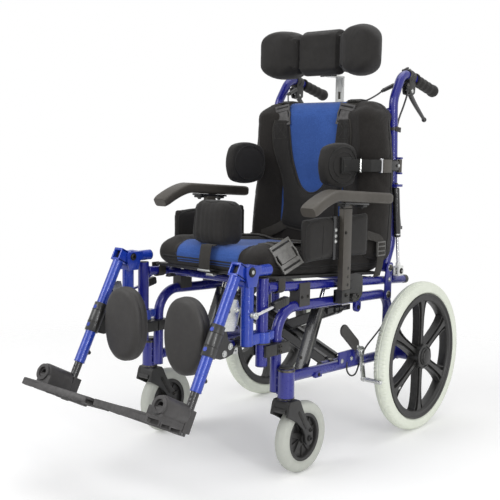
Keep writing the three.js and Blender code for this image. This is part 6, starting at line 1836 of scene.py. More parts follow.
@dataclass
class Armrest(Cushion):
    """A height-adjusting armrest: socket on the rail, hollow post, carrier, pad and side pad."""

    shop: Workshop
    x: float = 237
    post_x: float = 222
    post_y: float = -314
    post_w: float = 34
    post_t: float = 15

    def build(self, side: Side, cover: Form) -> None:
        """Builds one armrest round the side pad's finished form."""
        pad = self._pad()
        made = self.shop.paired(pad, "arm_pad", "armrest", "armrest_pad", "arm_grey_brown", side)
        self.shop.paired(self._post(), "arm_post", "armrest", "armrest_post", "arm_grey_brown", side)
        self.shop.paired(self._socket(), "arm_socket", "seat", "armrest_socket", "black_plastic", side)
        made = self.shop.paired(cover, "skirt_pad", "armrest", "side_pad", "black_fabric", side)

    def side_pad(self) -> Form:
        """The padded skirt inside the post, with piping round both faces."""
        length, height, thick = 276, 112, 20

        def slanted(spot: Vector, u: float, v: float, w: float) -> Vector:
            """Slants the top down towards the front."""
            spot.z -= ease(0.5, 1, -v) * ease(-0.4, 1, w) * height * 0.05
            return spot

        start = Form().pad((thick - 5, length - 4, height - 4), (4, 46, 20), 7.4, Look.SLEEK, slanted)
        form = self.shop.swell(start, 4.5, 4)
        skin = Skin(form)
        trim = Form()
        for hand in (-1, 1):
            ring = []
            for k in range(150):
                angle = math.tau * k / 150
                c, s = math.cos(angle), math.sin(angle)
                u = max(-1.0, min(1.0, c * 1.32))
                w = max(-1.0, min(1.0, s * 1.32))
                spot = slanted(Vector((0, u * (length / 2 - 9), w * (height / 2 - 9))), 0, u, w)
                ring.append((hand * 40, spot.y, spot.z))
            line = skin.lay(ring, (-hand, 0, 0), 0.2)
            if len(line) > 20:
                trim.sweep([*smoothed(line, 4), line[0]], circle(1.5, 8), Look.PIPING)
            upright = [(hand * 40, -70 + 0.2 * k, -height / 2 + 12 + k * 4) for k in range(20)]
            cross = skin.lay(upright, (-hand, 0, 0), 0.1)
            self.pipe(trim, cross, 0.8)
            stitches(trim, [p + Vector((0, 3, 0)) for p in cross], pitch=5)
        form.take(trim)
        self.move(form, Matrix.Translation((204.2, -328, 536)))
        return form

    def _pad(self) -> Form:
        """The moulded armrest pad with its drooping front."""
        stations = [-156 - k * (331 / 46) for k in range(47)]
        section = lozenge(46, 27, 8.5, 5)
        sizes = [0.86 if i in (0, 46) else 0.965 if i in (1, 45) else 1.0 for i in range(47)]
        line = [(self.x, y, arm_line(y)) for y in stations]
        form = Form().sweep(line, section, Look.ARM_FOAM, (1, 0, 0), sizes)
        seam = [(self.x + dx, y, arm_line(y) - 13.2) for dx in (0,) for y in stations[5:-8:4]]
        for x, y, z in seam[1:4]:
            form.rod((x, y, z + 0.6), (x, y, z - 0.5), 4, Look.BOLT)
        return form

    def _post(self) -> Form:
        """The hollow post with its holes, the neck and the carrier under the pad."""
        form = Form()
        x, y, half_w, half_t = self.post_x, self.post_y, self.post_w / 2, self.post_t / 2
        wall = 2.6
        outer = [(x + half_t, y + half_w), (x - half_t, y + half_w), (x - half_t, y - half_w),
                 (x + half_t, y - half_w)]
        for (x0, y0), (x1, y1) in (((x - half_t, y - half_w), (x - half_t + wall, y + half_w)),
                                   ((x + half_t - wall, y - half_w), (x + half_t, y + half_w)),
                                   ((x - half_t + 1, y - half_w), (x + half_t - 1, y - half_w + wall)),
                                   ((x - half_t + 1, y + half_w - wall), (x + half_t - 1, y + half_w))):
            form.block((x0, y0, 409), (x1, y1, 607), Look.ARM_METAL, 0.7)
        form.plate(outer, 604, 607, Look.ARM_METAL, Plane.XY, 0.8)
        for z in (421, 441, 461):
            form.rod((x + half_t - 0.4, y + 6, z), (x + half_t + 0.35, y + 6, z), 4.2, Look.BOLT)
        form.bolt((x + half_t, y - 8, 548), (1, 0, 0), 3.6, 2.6)
        form.bolt((x - half_t, y, 570), (-1, 0, 0), 3.6, 0.2)
        under = [span(v, (-424, 641), (-156, 626)) - 14.1 for v in (-354.8, -252.8)]
        form.block((x - half_t + 0.4, y - half_w + 0.4, 606),
                   (x + half_t - 0.4, y + half_w - 0.4, under[0] - 2), Look.ARM_METAL, 0.6)
        form.plate([(-354.8, under[0] - 5), (-252.8, under[1] - 5), (-252.8, under[1]), (-354.8, under[0])],
                   x - half_t, self.x + 11.5, Look.BLACK_BAR, edge=1)
        for v in (-343, -265):
            z = span(v, (-424, 641), (-156, 626)) - 19.1
            form.block((self.x - 16, v - 9, z - 5.5), (self.x + 8, v + 9, z + 0.5), Look.PLASTIC, 1.5)
            form.bolt((self.x - 4, v, z - 5.5), (0, 0, -1), 5, 4.2)
        form.bolt((self.x - 4, -300, under[0] - 7), (0, 0, -1), 4, 3)
        form.block((214.8, -356, 484), (217.4, -329, 588), Look.BLACK_BAR, 0.8)
        for z in (528, 541, 555):
            form.bolt((217.2, -346, z), (1, 0, 0), 4, 2.4, Look.ZINC)
        return form

    def _socket(self) -> Form:
        """The black clamp on the rail: blade, foot, tail, star knob and band."""
        form = Form()
        x, y, half_w, half_t = self.post_x, self.post_y, self.post_w / 2, self.post_t / 2
        front = y - half_w
        form.block((x - half_t + 3.1, front + 3.1, 376), (x + half_t - 3.1, y + half_w - 3.1, 520),
                   Look.BLACK_BAR, 1)
        form.block((204.1, front, 376), (x + half_t, y + half_w, 408.7), Look.PLASTIC, 2)
        high = rail(y) + 22
        form.plate([(front, 378), (front + 3, 375.6), (front + 86, 369.5), (front + 100, 371),
                    (front + 116, 383), (front + 118, 390), (front + 118, rail(y) + 9),
                    (front + 112, rail(y) + 14), (front + 84, high - 1),
                    (y + half_w + 0.3, high), (y + half_w + 0.3, 408.7), (front, 408.7)], 204.1, 212.1,
                   Look.PLASTIC, edge=1.6)
        ky, kz = y + self.post_w, 387.0
        form.rod((208, ky, kz), (x + 6, ky, kz), 5.5, Look.PLASTIC)
        lobes = [(ky + (9.6 + 1.5 * math.cos(6 * a)) * math.cos(a),
                  kz + (9.6 + 1.5 * math.cos(6 * a)) * math.sin(a))
                 for a in (math.tau * k / 48 for k in range(48))]
        form.plate(lobes, x, x + 10, Look.PLASTIC, edge=1.4)
        form.rod((x + 9.6, ky, kz), (x + 10.5, ky, kz), 5, Look.BOLT)
        form.bolt((212, front + 92, 384), (1, 0, 0), 6, 4)
        form.bolt((x + half_t, y, 396), (1, 0, 0), 4.6, 3.2)
        band = y + 47
        for z in (rail(band) - 14.4, rail(band) + 5):
            form.block((176.7, band - 9, z), (214.2, band + 9, z + 3 if z < rail(band) else z + 3),
                       Look.PLASTIC, 1)
        form.turned([(11.4, -9), (14.2, -9), (14.2, 9), (11.4, 9), (11.4, -9)], (FRAME_X, band, rail(band)),
                    (0, 1, -0.066),
                    Look.PLASTIC, 40)
        return form


@dataclass
class PelvicBelt(Cushion):
    """The lap belt that lies on the cushion, with its side-release buckle."""

    shop: Workshop
    width: float = 38
    thick: float = 2.4

    def build(self, seat: Skin) -> None:
        """Lays the belt on the finished cushion.

        Args:
            seat: The cushion's surface in the chair's axes.
        """
        form = Form()
        corner = 143.6
        left = [(0, -170), (86, -170), (118, -186), (139, -214), (corner, -300), (corner + 2, -380),
                (corner + 3, -450), (corner, -480), (corner - 1, -498)]
        right = [(0, -170), (-86, -170), (-118, -186), (-139, -214), (-corner, -260), (-corner, -320)]
        for route, hand in ((left, 1), (right, -1)):
            line = [seat.drop((x, y, 700), (0, 0, -1), self.thick / 2 + 0.4) or Vector((x, y, seat_top(y)))
                    for x, y in self._dense(route)]
            across = [Vector((0, 1, 0)) if abs(p.x) < 84 else Vector((hand * 0.6, 1, 0)) if p.y > -200 else
                      Vector((hand * ease(-190, -240, p.y) + 0.01, 1 - ease(-190, -260, p.y), 0))
                      for p in line]
            line = smoothed(line, 5)
            form.sweep(line, lozenge(self.width * 0.8, self.thick, 1), Look.WEBBING, across)
            for aside in (-12, 12):
                edge = [p + a.normalized() * aside + Vector((0, 0, 1.5)) for p, a in zip(line, across)]
                stitches(form, edge, pitch=5, thick=0.35)
        over = [seat.drop((x, -504 + (x - 120) * 0.2, 700), (0, 0, -1), 1.8)
                for x in (120, 135, 150, 160, 168, 174)]
        side = [seat.drop((260, -493 + (510 - z) * 0.4, z), (-1, 0, 0), 1.8)
                for z in (510, 502, 494, 486, 478)]
        path = smoothed([p for p in (*over, *side) if p is not None], 2)
        form.sweep(path, lozenge(self.width, self.thick, 1), Look.WEBBING, (0, 1, 0))
        self._buckle(form, path)
        self._adjuster(form)
        self.shop.make(form, "lap_belt", "seat", ["pelvic_belt"], "webbing")

    @staticmethod
    def _dense(route: Sequence[Pair]) -> list[Pair]:
        """The route with a point each few millimetres."""
        return [(p.x, p.y) for p in flowing([(x, y, 0) for x, y in route], 9)]

    def _buckle(self, form: Form, path: Sequence[Vector]) -> None:
        """The big side-release buckle on the cushion's shoulder."""
        a, b = path[3], path[-2]
        along = (b - a).normalized()
        out = Vector((0.72, -0.52, 0.46))
        out = (out - along * out.dot(along)).normalized()
        side_buckle(form, (a + b) / 2 + out * 15 + along * 7, along, out, 50)

    def _adjuster(self, form: Form) -> None:
        """The small ladder lock at the belt's rear, by the rail."""
        x, y, z = 217.5, -142.0, 496.0
        for high in (-17, -6, 6, 17):
            form.block((x - 2.5, y - 17, z + high - 2), (x + 2.5, y + 17, z + high + 2), Look.BUCKLE, 1.2)
        for hand in (-1, 1):
            form.block((x - 2.5, y + hand * 17 - 2, z - 19), (x + 2.5, y + hand * 17 + 2, z + 19),
                       Look.BUCKLE, 1.2)
        form.ribbon([(x - 16, y + 8, z - 74), (x - 6, y + 4, z - 46), (x - 1, y, z - 22), (x - 1, y, z + 8),
                     (x - 2, y - 8, z + 24),
                     (x - 10, y - 34, z + 34), (x - 14, y - 60, z + 36)], 27, 2, Look.WEBBING, (0.1, 1, 0))


LEG = Matrix(((1, 0, 0, 0), (0, 0.8854, 0.4648, -641), (0, -0.4648, 0.8854, 480), (0, 0, 0, 1)))


@dataclass
class Hanger:
    """The swing-away bracket that carries a legrest, with its release lever."""

    shop: Workshop
    y: float = -637
    tube_d: float = 28
    cheek_x: float = 187
    pivot: Pair = (-641, 480)

    def build(self, side: Side) -> None:
        """Builds one hanger and its lever.

        Args:
            side: The side that it is built for.
        """
        form = Form()
        x, (py, pz) = FRAME_X, self.pivot
        form.rod((x, self.y, 316), (x, self.y, 459), self.tube_d / 2, Look.LEG_ENAMEL, 34, 0.8)
        form.rod((x, self.y, 315.4), (x, self.y, 318), 14.2, Look.PLASTIC, 34, 0.8)
        inner = 14.5
        outline = [(py - 14, pz + 12), (py - 18, pz + 8), (py - 18, pz - 8), (py - 11, pz - 33),
                   (py + 17, pz - 33), (py + 19, pz - 27), (py + 24, pz - 9), (py + 32, pz - 7),
                   (py + 32, pz + 12)]
        for hand in (-1, 1):
            a, b = self.cheek_x + hand * inner, self.cheek_x + hand * (inner + 5)
            form.plate(outline, a, b, Look.LEG_ENAMEL, edge=1.3)
        form.block((self.cheek_x - 19, py - 10, pz - 33), (self.cheek_x + 19, py + 17, pz - 20.8),
                   Look.LEG_ENAMEL, 2)
        form.block((self.cheek_x - 19, py + 20, pz - 7), (self.cheek_x + 19, py + 32, pz + 12),
                   Look.LEG_ENAMEL, 2)
        form.rod((x, py + 24, 478), (x, -565, 478), 12.5, Look.LEG_ENAMEL, 34, 0.8)
        form.rod((x, -567, 478), (x, -564.9, 478), 12.7, Look.PLASTIC, 34, 0.8)
        form.rod((self.cheek_x - 19.5, py, pz), (self.cheek_x + 23, py, pz), 5, Look.ZINC)
        face = self.cheek_x + 19.5
        form.turned([(0, 0), (11, 0), (11, 1), (9.4, 1.4), (9, 3.2), (7.6, 4), (5.2, 4), (4.6, 2.4),
                     (0, 2.2)], (face, py, pz), (1, 0, 0), Look.BOLT, 36)
        form.turned([(0, 2.2), (4.5, 2.2), (4.2, 3.4), (0, 3.8)], (face, py, pz), (1, 0, 0), Look.ZINC, 24)
        form.bolt((self.cheek_x - 19.5, py, pz), (-1, 0, 0), 7, 3.6)
        form.pipe((x, RAIL_FRONT_Y, 318), (x, RAIL_FRONT_Y, 342), 19.5, 5, Look.LEG_ENAMEL, 40)
        form.block((x - 11, self.y + 2, 318), (x + 11, RAIL_FRONT_Y - 15, 342), Look.LEG_ENAMEL, 2)
        form.block((x - 9, RAIL_FRONT_Y + 16, 320), (x + 9, RAIL_FRONT_Y + 35, 340), Look.LEG_ENAMEL, 3)
        form.pipe((x, RAIL_FRONT_Y, 314.4), (x, RAIL_FRONT_Y, 317.8), 19.0, 4.6, Look.PLASTIC, 40)
        self.shop.paired(form, "leg_hanger", "hanger", "hanger", "frame_blue", side)
        self.shop.paired(self._release(), "release_lever", "hanger_release", "hanger_release", "bright_steel",
                         side)

    def _release(self) -> Form:
        """The bright rod with its boxy black grip."""
        form = Form()
        pivot, knee, tip = Vector((213.3, -637, 386)), Vector((213.3, -574, 398)), Vector((213.3, -526, 408))
        form.rod(pivot, knee.lerp(tip, 0.3), 4, Look.CHROME)
        form.rod(pivot - Vector((8, 0, 0)), pivot + Vector((4, 0, 0)), 8, Look.ZINC)
        form.bolt(pivot + Vector((4, 0, 0)), (1, 0, 0), 4.4, 3, Look.ZINC)
        form.sweep([knee - Vector((0, 1, 0)), knee.lerp(tip, 0.08), knee.lerp(tip, 0.94), tip],
                   lozenge(15, 19, 3.4), Look.PLASTIC, (1, 0, 0), [0.86, 1, 1, 0.84])
        for share in (0.25, 0.4, 0.55, 0.7):
            spot = knee.lerp(tip, share)
            form.sweep([spot, spot + (tip - knee).normalized() * 2.4], lozenge(15.7, 19.7, 3), Look.PLASTIC,
                       (1, 0, 0))
        return form


@dataclass
class Legrest:
    """An elevating legrest: outer tube, sleeve and quadrant, sliding inner tube."""

    shop: Workshop
    x: float = 186.5
    offset: float = 24
    sleeve: Pair = (-203, -133)

    def build(self, side: Side) -> None:
        """Builds one outer tube and its extension."""
        self.shop.paired(self._outer(), "leg_tube", "legrest", "legrest_tube", "frame_blue", side)
        self.shop.paired(self._inner(), "leg_slide", "leg_extension", "leg_extension", "bright_steel", side)

    def _outer(self) -> Form:
        """The blue tube, its knuckle, the black sleeve, side plate and ratchet quadrant."""
        form = Form(LEG)
        x, off = self.x, self.offset
        form.pipe((x, -off, -279), (x, -off, -22), 12.5, 2.6, Look.LEG_ENAMEL, 36)
        form.rod((x, -off, -279.4), (x, -off, -276), 12.9, Look.LEG_ENAMEL, 36)
        hx = 187
        form.rod((hx - 14, 0, 0), (hx + 14, 0, 0), 14, Look.LEG_ENAMEL, 36, 1)
        form.block((hx - 14, -off - 12.5, -24), (hx + 14, -4, -18), Look.LEG_ENAMEL, 1.6)
        form.block((hx - 14, -off - 12.5, 1), (hx + 14, -4, 7), Look.LEG_ENAMEL, 1.6)
        for hand in (-1, 1):
            form.block((hx + hand * 14, -off - 12.5, -23.5), (hx + hand * 9.6, -4, 6.5), Look.LEG_ENAMEL, 1.6)
        form.block((hx - 11, -off - 2, -20), (hx + 11, -6, 3), Look.BOLT, 0.6)
        low, high = self.sleeve
        form.turned([(12.6, low), (15.4, low), (16, low + 1), (16, high - 1), (15.4, high), (12.6, high),
                     (12.6, low)], (x, -off, 0), (0, 0, 1), Look.JACKET, 40)
        for z in (low + 13, high - 13):
            form.rod((x, -off - 15.2, z), (x, -off - 16.4, z), 5, Look.LEG_ENAMEL)
        form.ring((x, -off, high - 18), (0, 0, 1), 15.6, 1.1, Look.BOLT)
        form.ring((x, -off, low + 22), (0, 0, 1), 15.6, 1.1, Look.BOLT)
        form.plate([(-off, high - 7), (6, high - 4), (17, high - 17), (34, high - 20), (48, high - 30),
                    (46, high - 40), (30, low + 16), (14, low + 7), (-off, low)], x - 3, x + 3, Look.PLASTIC,
                   edge=1)
        form.plate([(-off, high + 42), (-6, high + 66), (6, high + 70), (20, high + 56), (28, high + 20),
                    (28, high + 6),
                    (-off, high - 14)], x - 2, x + 2, Look.ZINC, edge=0.7)
        for y, z in ((30, high - 28), (20, low + 22)):
            form.bolt((x + 3, y, z), (1, 0, 0), 5.6, 4, Look.ZINC)
            form.bolt((x - 3, y, z), (-1, 0, 0), 5.6, 4, Look.ZINC)
        form.bolt((x + 2, 14, high + 50), (1, 0, 0), 4.4, 3.4, Look.ZINC)
        form.bolt((x, -off + 12.5, -96), (0, 1, 0), 4.6, 6)
        form.bolt((x, -off + 12.5, -250), (0, 1, 0), 5.5, 8)
        return form

    def _inner(self) -> Form:
        """The dark inner tube, the clamp block and the footplate's pin."""
        form = Form(LEG)
        x, off = self.x, self.offset
        form.rod((x, -off, -371), (x, -off, -150), 9.5, Look.BLACK_BAR, 36, 0.8)
        for z in (-300, -291):
            form.rod((x, -off - 9.1, z), (x, -off - 9.7, z), 2.6, Look.BOLT)
        form.block((x - 19, -off - 11.5, -364), (x + 12.6, -off + 11.5, -315.5), Look.FOOT_PLASTIC, 2.4, 3)
        form.rod((x, -96, -330), (x, -off, -330), 7, Look.BOLT)
        form.bolt((x, -off + 11.5, -340), (0, 1, 0), 5, 3.6)
        return form


@dataclass
class Footplate:
    """A folding footplate: hinge barrel with a hollow boss, and a ribbed plate that tapers inwards."""

    shop: Workshop
    x: float = 186.5
    barrel_z: float = -330
    low: float = -370
    high: float = -354

    def build(self, side: Side) -> None:
        """Builds one footplate.

        Args:
            side: The side that it is built for.
        """
        form = Form(LEG)
        x, z = self.x, self.barrel_z
        rear, front = -37.3, -114
        form.turned([(7.5, 0), (18, 0), (20.5, 1.5), (22, 4), (22, 66), (21, 70), (19, 71.4), (18.6, 76.7),
                     (11.5, 76.7),
                     (11, 72), (7.5, 72), (7.5, 0)], (x, rear, z), (0, -1, 0), Look.FOOT_PLASTIC, 48)
        form.block((x - 22, front + 6, -362), (x + 13, rear, z), Look.FOOT_PLASTIC, 3, 3)
        outline = [(200, -140), (194, -147), (150, -147), (136, -142), (98, -129), (60, -122), (12, -118),
                   (6, -113), (6, -50), (12, -44), (60, -40), (120, -37.3), (198, -37.3), (200, -40)]
        form.plate(outline, -359.5, self.high, Look.FOOT_PLASTIC, Plane.XY, 1.2)
        for near, far, width in ((-147, -118, 4), (-104, -92, 4), (-70, -66, 4), (-37.5, -44, 4)):
            form.sweep([(198, near + (3 if near < -100 else -3), -362),
                        (150, near + (3 if near < -120 else 0), -363),
                        (14, far, -362)], lozenge(width, 15, 1.2), Look.FOOT_PLASTIC, (0, 1, 0), [1, 1, 0.7])
        for px in (18, 58, 98, 138, 172):
            form.block((px - 1.8, -119 if px < 100 else -138, -368), (px + 1.8, -42, -358), Look.FOOT_PLASTIC,
                       0.7)
        form.block((158, front + 3, -369.5), (199.5, front + 8, -334), Look.FOOT_PLASTIC, 2)
        form.block((146, -38, self.low), (x - 19.9, 12, self.high), Look.FOOT_PLASTIC, 3, 3)
        for k in range(9):
            px = 22 + 13.5 * k
            form.plate(slot_outline((px, -104), (px, -58), 1.6), self.high - 0.4, self.high + 0.7,
                       Look.FOOT_PLASTIC, Plane.XY, 0.4)
        form.block((176, -145, -370), (196, -130, -362), Look.SKIN, 2)
        form.block((12, -112, -369), (30, -98, -362), Look.SKIN, 2)
        self.shop.paired(form, "foot_plate", "footplate", "footplate", "black_plastic", side)


@dataclass
class CalfPad:
    """An oval calf pad with a stepped rim, on its arm."""

    shop: Workshop
    x: float = 98
    y: float = -727.5
    z: float = 338
    width: float = 118
    height: float = 172
    thick: float = 37

    def form(self) -> Form:
        """Turns the pad's stepped profile round an oval, and adds its shell and arm."""
        form = Form()
        a, b, t = self.width / 2, self.height / 2, self.thick
        front = -t / 2
        rings = [(0.0, front + 1.2), (0.30, front + 1.0), (0.52, front + 0.5), (0.68, front + 0.1),
                 (0.80, front), (0.875, front + 0.6), (0.93, front + 2.4), (0.965, front + 5.0),
                 (0.985, front + 8.6), (0.99, front + 12),
                 (0.975, front + 13.6), (0.985, front + 15.2), (0.998, front + 18), (1.0, front + 23),
                 (0.992, front + 28),
                 (0.96, front + 31.5), (0.88, front + 34), (0.70, front + 35.6), (0.4, front + 36.4),
                 (0.0, front + 36.6)]
        count = 72
        points: list[Vector] = []
        rows: list[list[int]] = []
        for share, depth in rings:
            if share == 0:
                rows.append([len(points)] * count)
                points.append(Vector((self.x, self.y + depth, self.z)))
                continue
            rows.append(list(range(len(points), len(points) + count)))
            for k in range(count):
                angle = math.tau * k / count
                c, s = math.cos(angle), math.sin(angle)
                power = 2 / 2.25
                u = math.copysign(abs(c) ** power, c) * a * share
                w = math.copysign(abs(s) ** power, s) * b * share
                sag = 0.35 * noise.noise(Vector((u * 0.03, w * 0.03, 7.0))) if depth < 0 else 0
                bow = 3.4 * (u / a) ** 2 * (1 if depth > -8 else 0.6)
                points.append(Vector((self.x + u, self.y + depth + sag + bow, self.z + w)))
        faces = []
        for low, high in zip(rows, rows[1:]):
            for k in range(count):
                quad = (low[k], low[(k + 1) % count], high[(k + 1) % count], high[k])
                faces.append(tuple(dict.fromkeys(quad)))
        form.add(points, faces, Look.SKIN)
        return form

    def arm(self) -> Form:
        """The boss, screw plate and pin that join the pad to the leg's side plate."""
        form = Form()
        rear = self.y + self.thick / 2
        reach = rear + self.thick / 4
        form.rod((self.x, rear - 6, self.z), (self.x, reach, self.z), 9, Look.PLASTIC)
        form.turned([(0, 0), (24, 0), (26, 1.5), (24, 3), (0, 3)], (self.x, rear - 0.8, self.z), (0, 1, 0),
                    Look.PLASTIC, 40)
        for angle in (45, 135, 225, 315):
            c, s = math.cos(math.radians(angle)), math.sin(math.radians(angle))
            form.bolt((self.x + 19 * c, rear + 2.2, self.z + 19 * s), (0, 1, 0), 3, 2, Look.ZINC)
        form.rod((self.x, reach, self.z), (183.2, reach, self.z), 6, Look.ZINC)
        form.rod((self.x - 9, reach, self.z), (self.x + 12, reach, self.z), 8.6, Look.PLASTIC)
        form.nut((172, reach, self.z), (1, 0, 0), 8.4, 6)
        return form

    def build(self, side: Side) -> None:
        """Builds one calf pad."""
        made = self.shop.paired(self.form(), "calf_cushion", "calf_pad", "calf_pad", "black_fabric", side)
        self.shop.paired(self.arm(), "calf_arm", "calf_pad", "calf_pad", "bright_steel", side)


def grip_line(y: float) -> float:
    """The height of the push grip's centre line."""
    return span(y, (48, 938), (150, 914))


@dataclass
class BackFrame:
    """The reclining back: bent canes, cross tubes, lever housings and clamps."""

    shop: Workshop
    cane_d: float = 24
    grip_x: float = 187
    tube_y: float = -66.7
    tube_z: tuple[float, ...] = (520, 690, 846)

    def build(self) -> None:
        """Builds both canes, then what joins them."""
        for side in Side:
            form = Form()
            self._cane(form)
            self._housing(form)
            if side is Side.LEFT:
                form.block((FRAME_X, -81, 652.4), (222, -52, 659), Look.ENAMEL, 1.2)
                form.bolt((214, -72, 659), (0, 0, 1), 5, 3.4)
            self.shop.make(form, f"back_cane_{side.word}", "back", ["back_frame"], "frame_blue", side)
        form = Form()
        for z in self.tube_z:
            form.rod((-FRAME_X, self.tube_y, z), (FRAME_X, self.tube_y, z), 9, Look.ENAMEL, edge=0)
            for x in (-179, 179):
                form.ring((x, self.tube_y, z), (1, 0, 0), 9.4, 1.6, Look.ENAMEL)
        for low, high in ((-21.4, -26.0), (-39, -33.0)):
            form.block((-23, low, 823), (23, high, 869), Look.BLACK_BAR, 1.2)
        for hand in (-1, 1):
            form.block((hand * 13.4, -38, 823), (hand * 23, -22, 869), Look.BLACK_BAR, 1.2)
            form.bolt((hand * 18, -21.4, 858), (0, 1, 0), 3.6, 2.6)
            form.bolt((hand * 18, -21.4, 834), (0, 1, 0), 3.6, 2.6)
        form.block((-20, self.tube_y - 3, 832), (20, -38, 860), Look.BLACK_BAR, 1.6)
        lobes = [((7.6 + 1.6 * math.cos(5 * a)) * math.cos(a),
                  846 + (7.6 + 1.6 * math.cos(5 * a)) * math.sin(a))
                 for a in (math.tau * k / 40 for k in range(40))]
        form.plate(lobes, -20.8, -14.2, Look.PLASTIC, Plane.XZ, 1.2)
        self.shop.make(form, "back_tubes", "back", ["back_frame"], "frame_blue")

    def _cane(self, form: Form) -> None:
        """One cane, from the recline hinge to inside the grip, with its tabs."""
        x, g = FRAME_X, self.grip_x
        form.tube([(x, *HINGE), (x, -50, 500), (x, -50, 640), (x, -62, 876), (g, -14, grip_line(-14)),
                   (g, 119, grip_line(119))], self.cane_d, Look.ENAMEL, [60, 200, 60, 45], 32)
        form.rod((x - 11.9, *HINGE), (x + 11.9, *HINGE), 12.5, Look.ENAMEL, 32, 1)
        for z in (707 - 22.3, 707 + 17.3):
            form.block((x, -56, z), (215.3, -44, z + 5), Look.ENAMEL, 1.2)
        form.ribbon([(x + 12.6, -66, 803), (x + 13.2, -54, 801), (x + 12.8, -42, 800)], 13, 2, Look.WEBBING,
                    (0, 0, 1))
        for z in (803, 640):
            form.turned([(12.0, -4), (13.6, -4), (13.6, 4), (12.0, 4), (12.0, -4)],
                        (x, -50 - (z - 640) * 12 / 236, z), (0, -0.05, 1), Look.PLASTIC, 36)

    def _housing(self, form: Form) -> None:
        """The brake lever's clamp, cheeks, pin, adjuster and lock.

        Args:
            form: The form that takes the shape.
        """
        g, y0, y1 = self.grip_x, 5.0, 39.0
        start, end = Vector((g, y0 + 3, grip_line(y0 + 3))), Vector((g, y1 - 3, grip_line(y1 - 3)))
        form.rod(start, end, 16, Look.PLASTIC, 40, 2)
        form.rod(start.lerp(end, 0.38), start.lerp(end, 0.62), 17, Look.PLASTIC, 40, 1)
        for hand in (-1, 1):
            form.plate([(y0 + 1, 930), (y0, 905), (y0 + 4, 896), (y1 - 12, 894), (y1 - 2, 900), (y1, 930),
                        (y1 - 4, 940),
                        (y0 + 4, 942)], g + hand * 4.8, g + hand * 11, Look.PLASTIC, edge=1.6)
        form.block((g - 10, y0 + 1, 917), (g + 10, y1 - 2, 932), Look.PLASTIC, 2.4)
        form.rod((g - 11.6, 22, 905), (g + 11.6, 22, 905), 3.4, Look.ZINC)
        form.bolt((g + 11, 22, 905), (1, 0, 0), 4.4, 2.4, Look.ZINC)
        form.rod((g + 7.5, y0 - 3, 925), (g + 7.5, y0 - 3, 909), 4.4, Look.PLASTIC)
        form.nut((g + 7.5, y0 - 3, 917), (0, 0, 1), 5.4, 4, Look.BOLT)
        form.rod((g - 4, y0 + 2, 926), (g - 24, -18, 918), 4.2, Look.PLASTIC)
        form.rod((g - 24, -16, 919), (156, -56, 903.4), 5.8, Look.PLASTIC, end_radius=5.2)
        form.rod((156.6, -54, 904), (155.6, -63, 900.4), 4, Look.PLASTIC)
        form.plate(slot_outline((8, 958), (30, 966), 3.6), g - 13, g - 8, Look.PLASTIC, edge=1)
        form.bolt((g - 13, 10, 958), (-1, 0, 0), 4, 2.6, Look.ZINC)
        form.bolt((g, 22, 962), (0, 0.2, 1), 3.6, 3, Look.ZINC)


@dataclass
class PushHandle:
    """A push grip and its brake lever."""

    shop: Workshop
    x: float = 187

    def build(self, side: Side) -> None:
        """Builds one grip and one lever.

        Args:
            side: The side that it is built for.
        """
        start, end = Vector((self.x, 48, 938)), Vector((self.x, 150, 914))
        axis = end - start
        length = axis.length
        profile = [(12.3, 0), (17, 0), (17.6, 1.2), (17.6, 4.2), (15.6, 6.2)]
        for k in range(1, 24):
            along = 6 + k * (length - 14) / 24
            wave = 0.55 * math.cos(math.tau * k / 6)
            profile.append((15.4 + wave, along))
        profile += [(16.4, length - 6), (17.0, length), (16.6, length + 5), (14.6, length + 9.6),
                    (10.5, length + 12.6), (5, length + 14), (0, length + 14.4)]
        form = Form().turned(profile, start, axis, Look.SLEEK, 44,
                             lambda row, turn: -0.45 if 4 < row < 27 and turn % 4 == 0 else 0)
        self.shop.paired(form, "grip", "back", "push_grip", "black_plastic", side)
        lever = Form()
        path = flowing([(self.x, 22, 905), (self.x, 34, 892), (self.x, 56, 873), (self.x, 80, 855),
                        (self.x, 98, 842), (self.x, 108, 835)], 6)
        count = len(path)
        sizes = [1.12 - 0.38 * ease(0, 1, k / (count - 1)) for k in range(count)]
        lever.sweep(path, lozenge(8.2, 13, 2.6), Look.BLACK_BAR, (1, 0, 0), sizes)
        lever.ball((self.x, 110, 833), 7, Look.BLACK_BAR)
        lever.rod((self.x - 4, 22, 905), (self.x + 4, 22, 905), 10.6, Look.BLACK_BAR, 30, 1)
        lever.rod((self.x - 4.3, 12.6, 908), (self.x + 4.3, 12.6, 908), 2.6, Look.ZINC)
        self.shop.paired(lever, "lever", "brake_handle", "brake_handle", "black_steel", side)


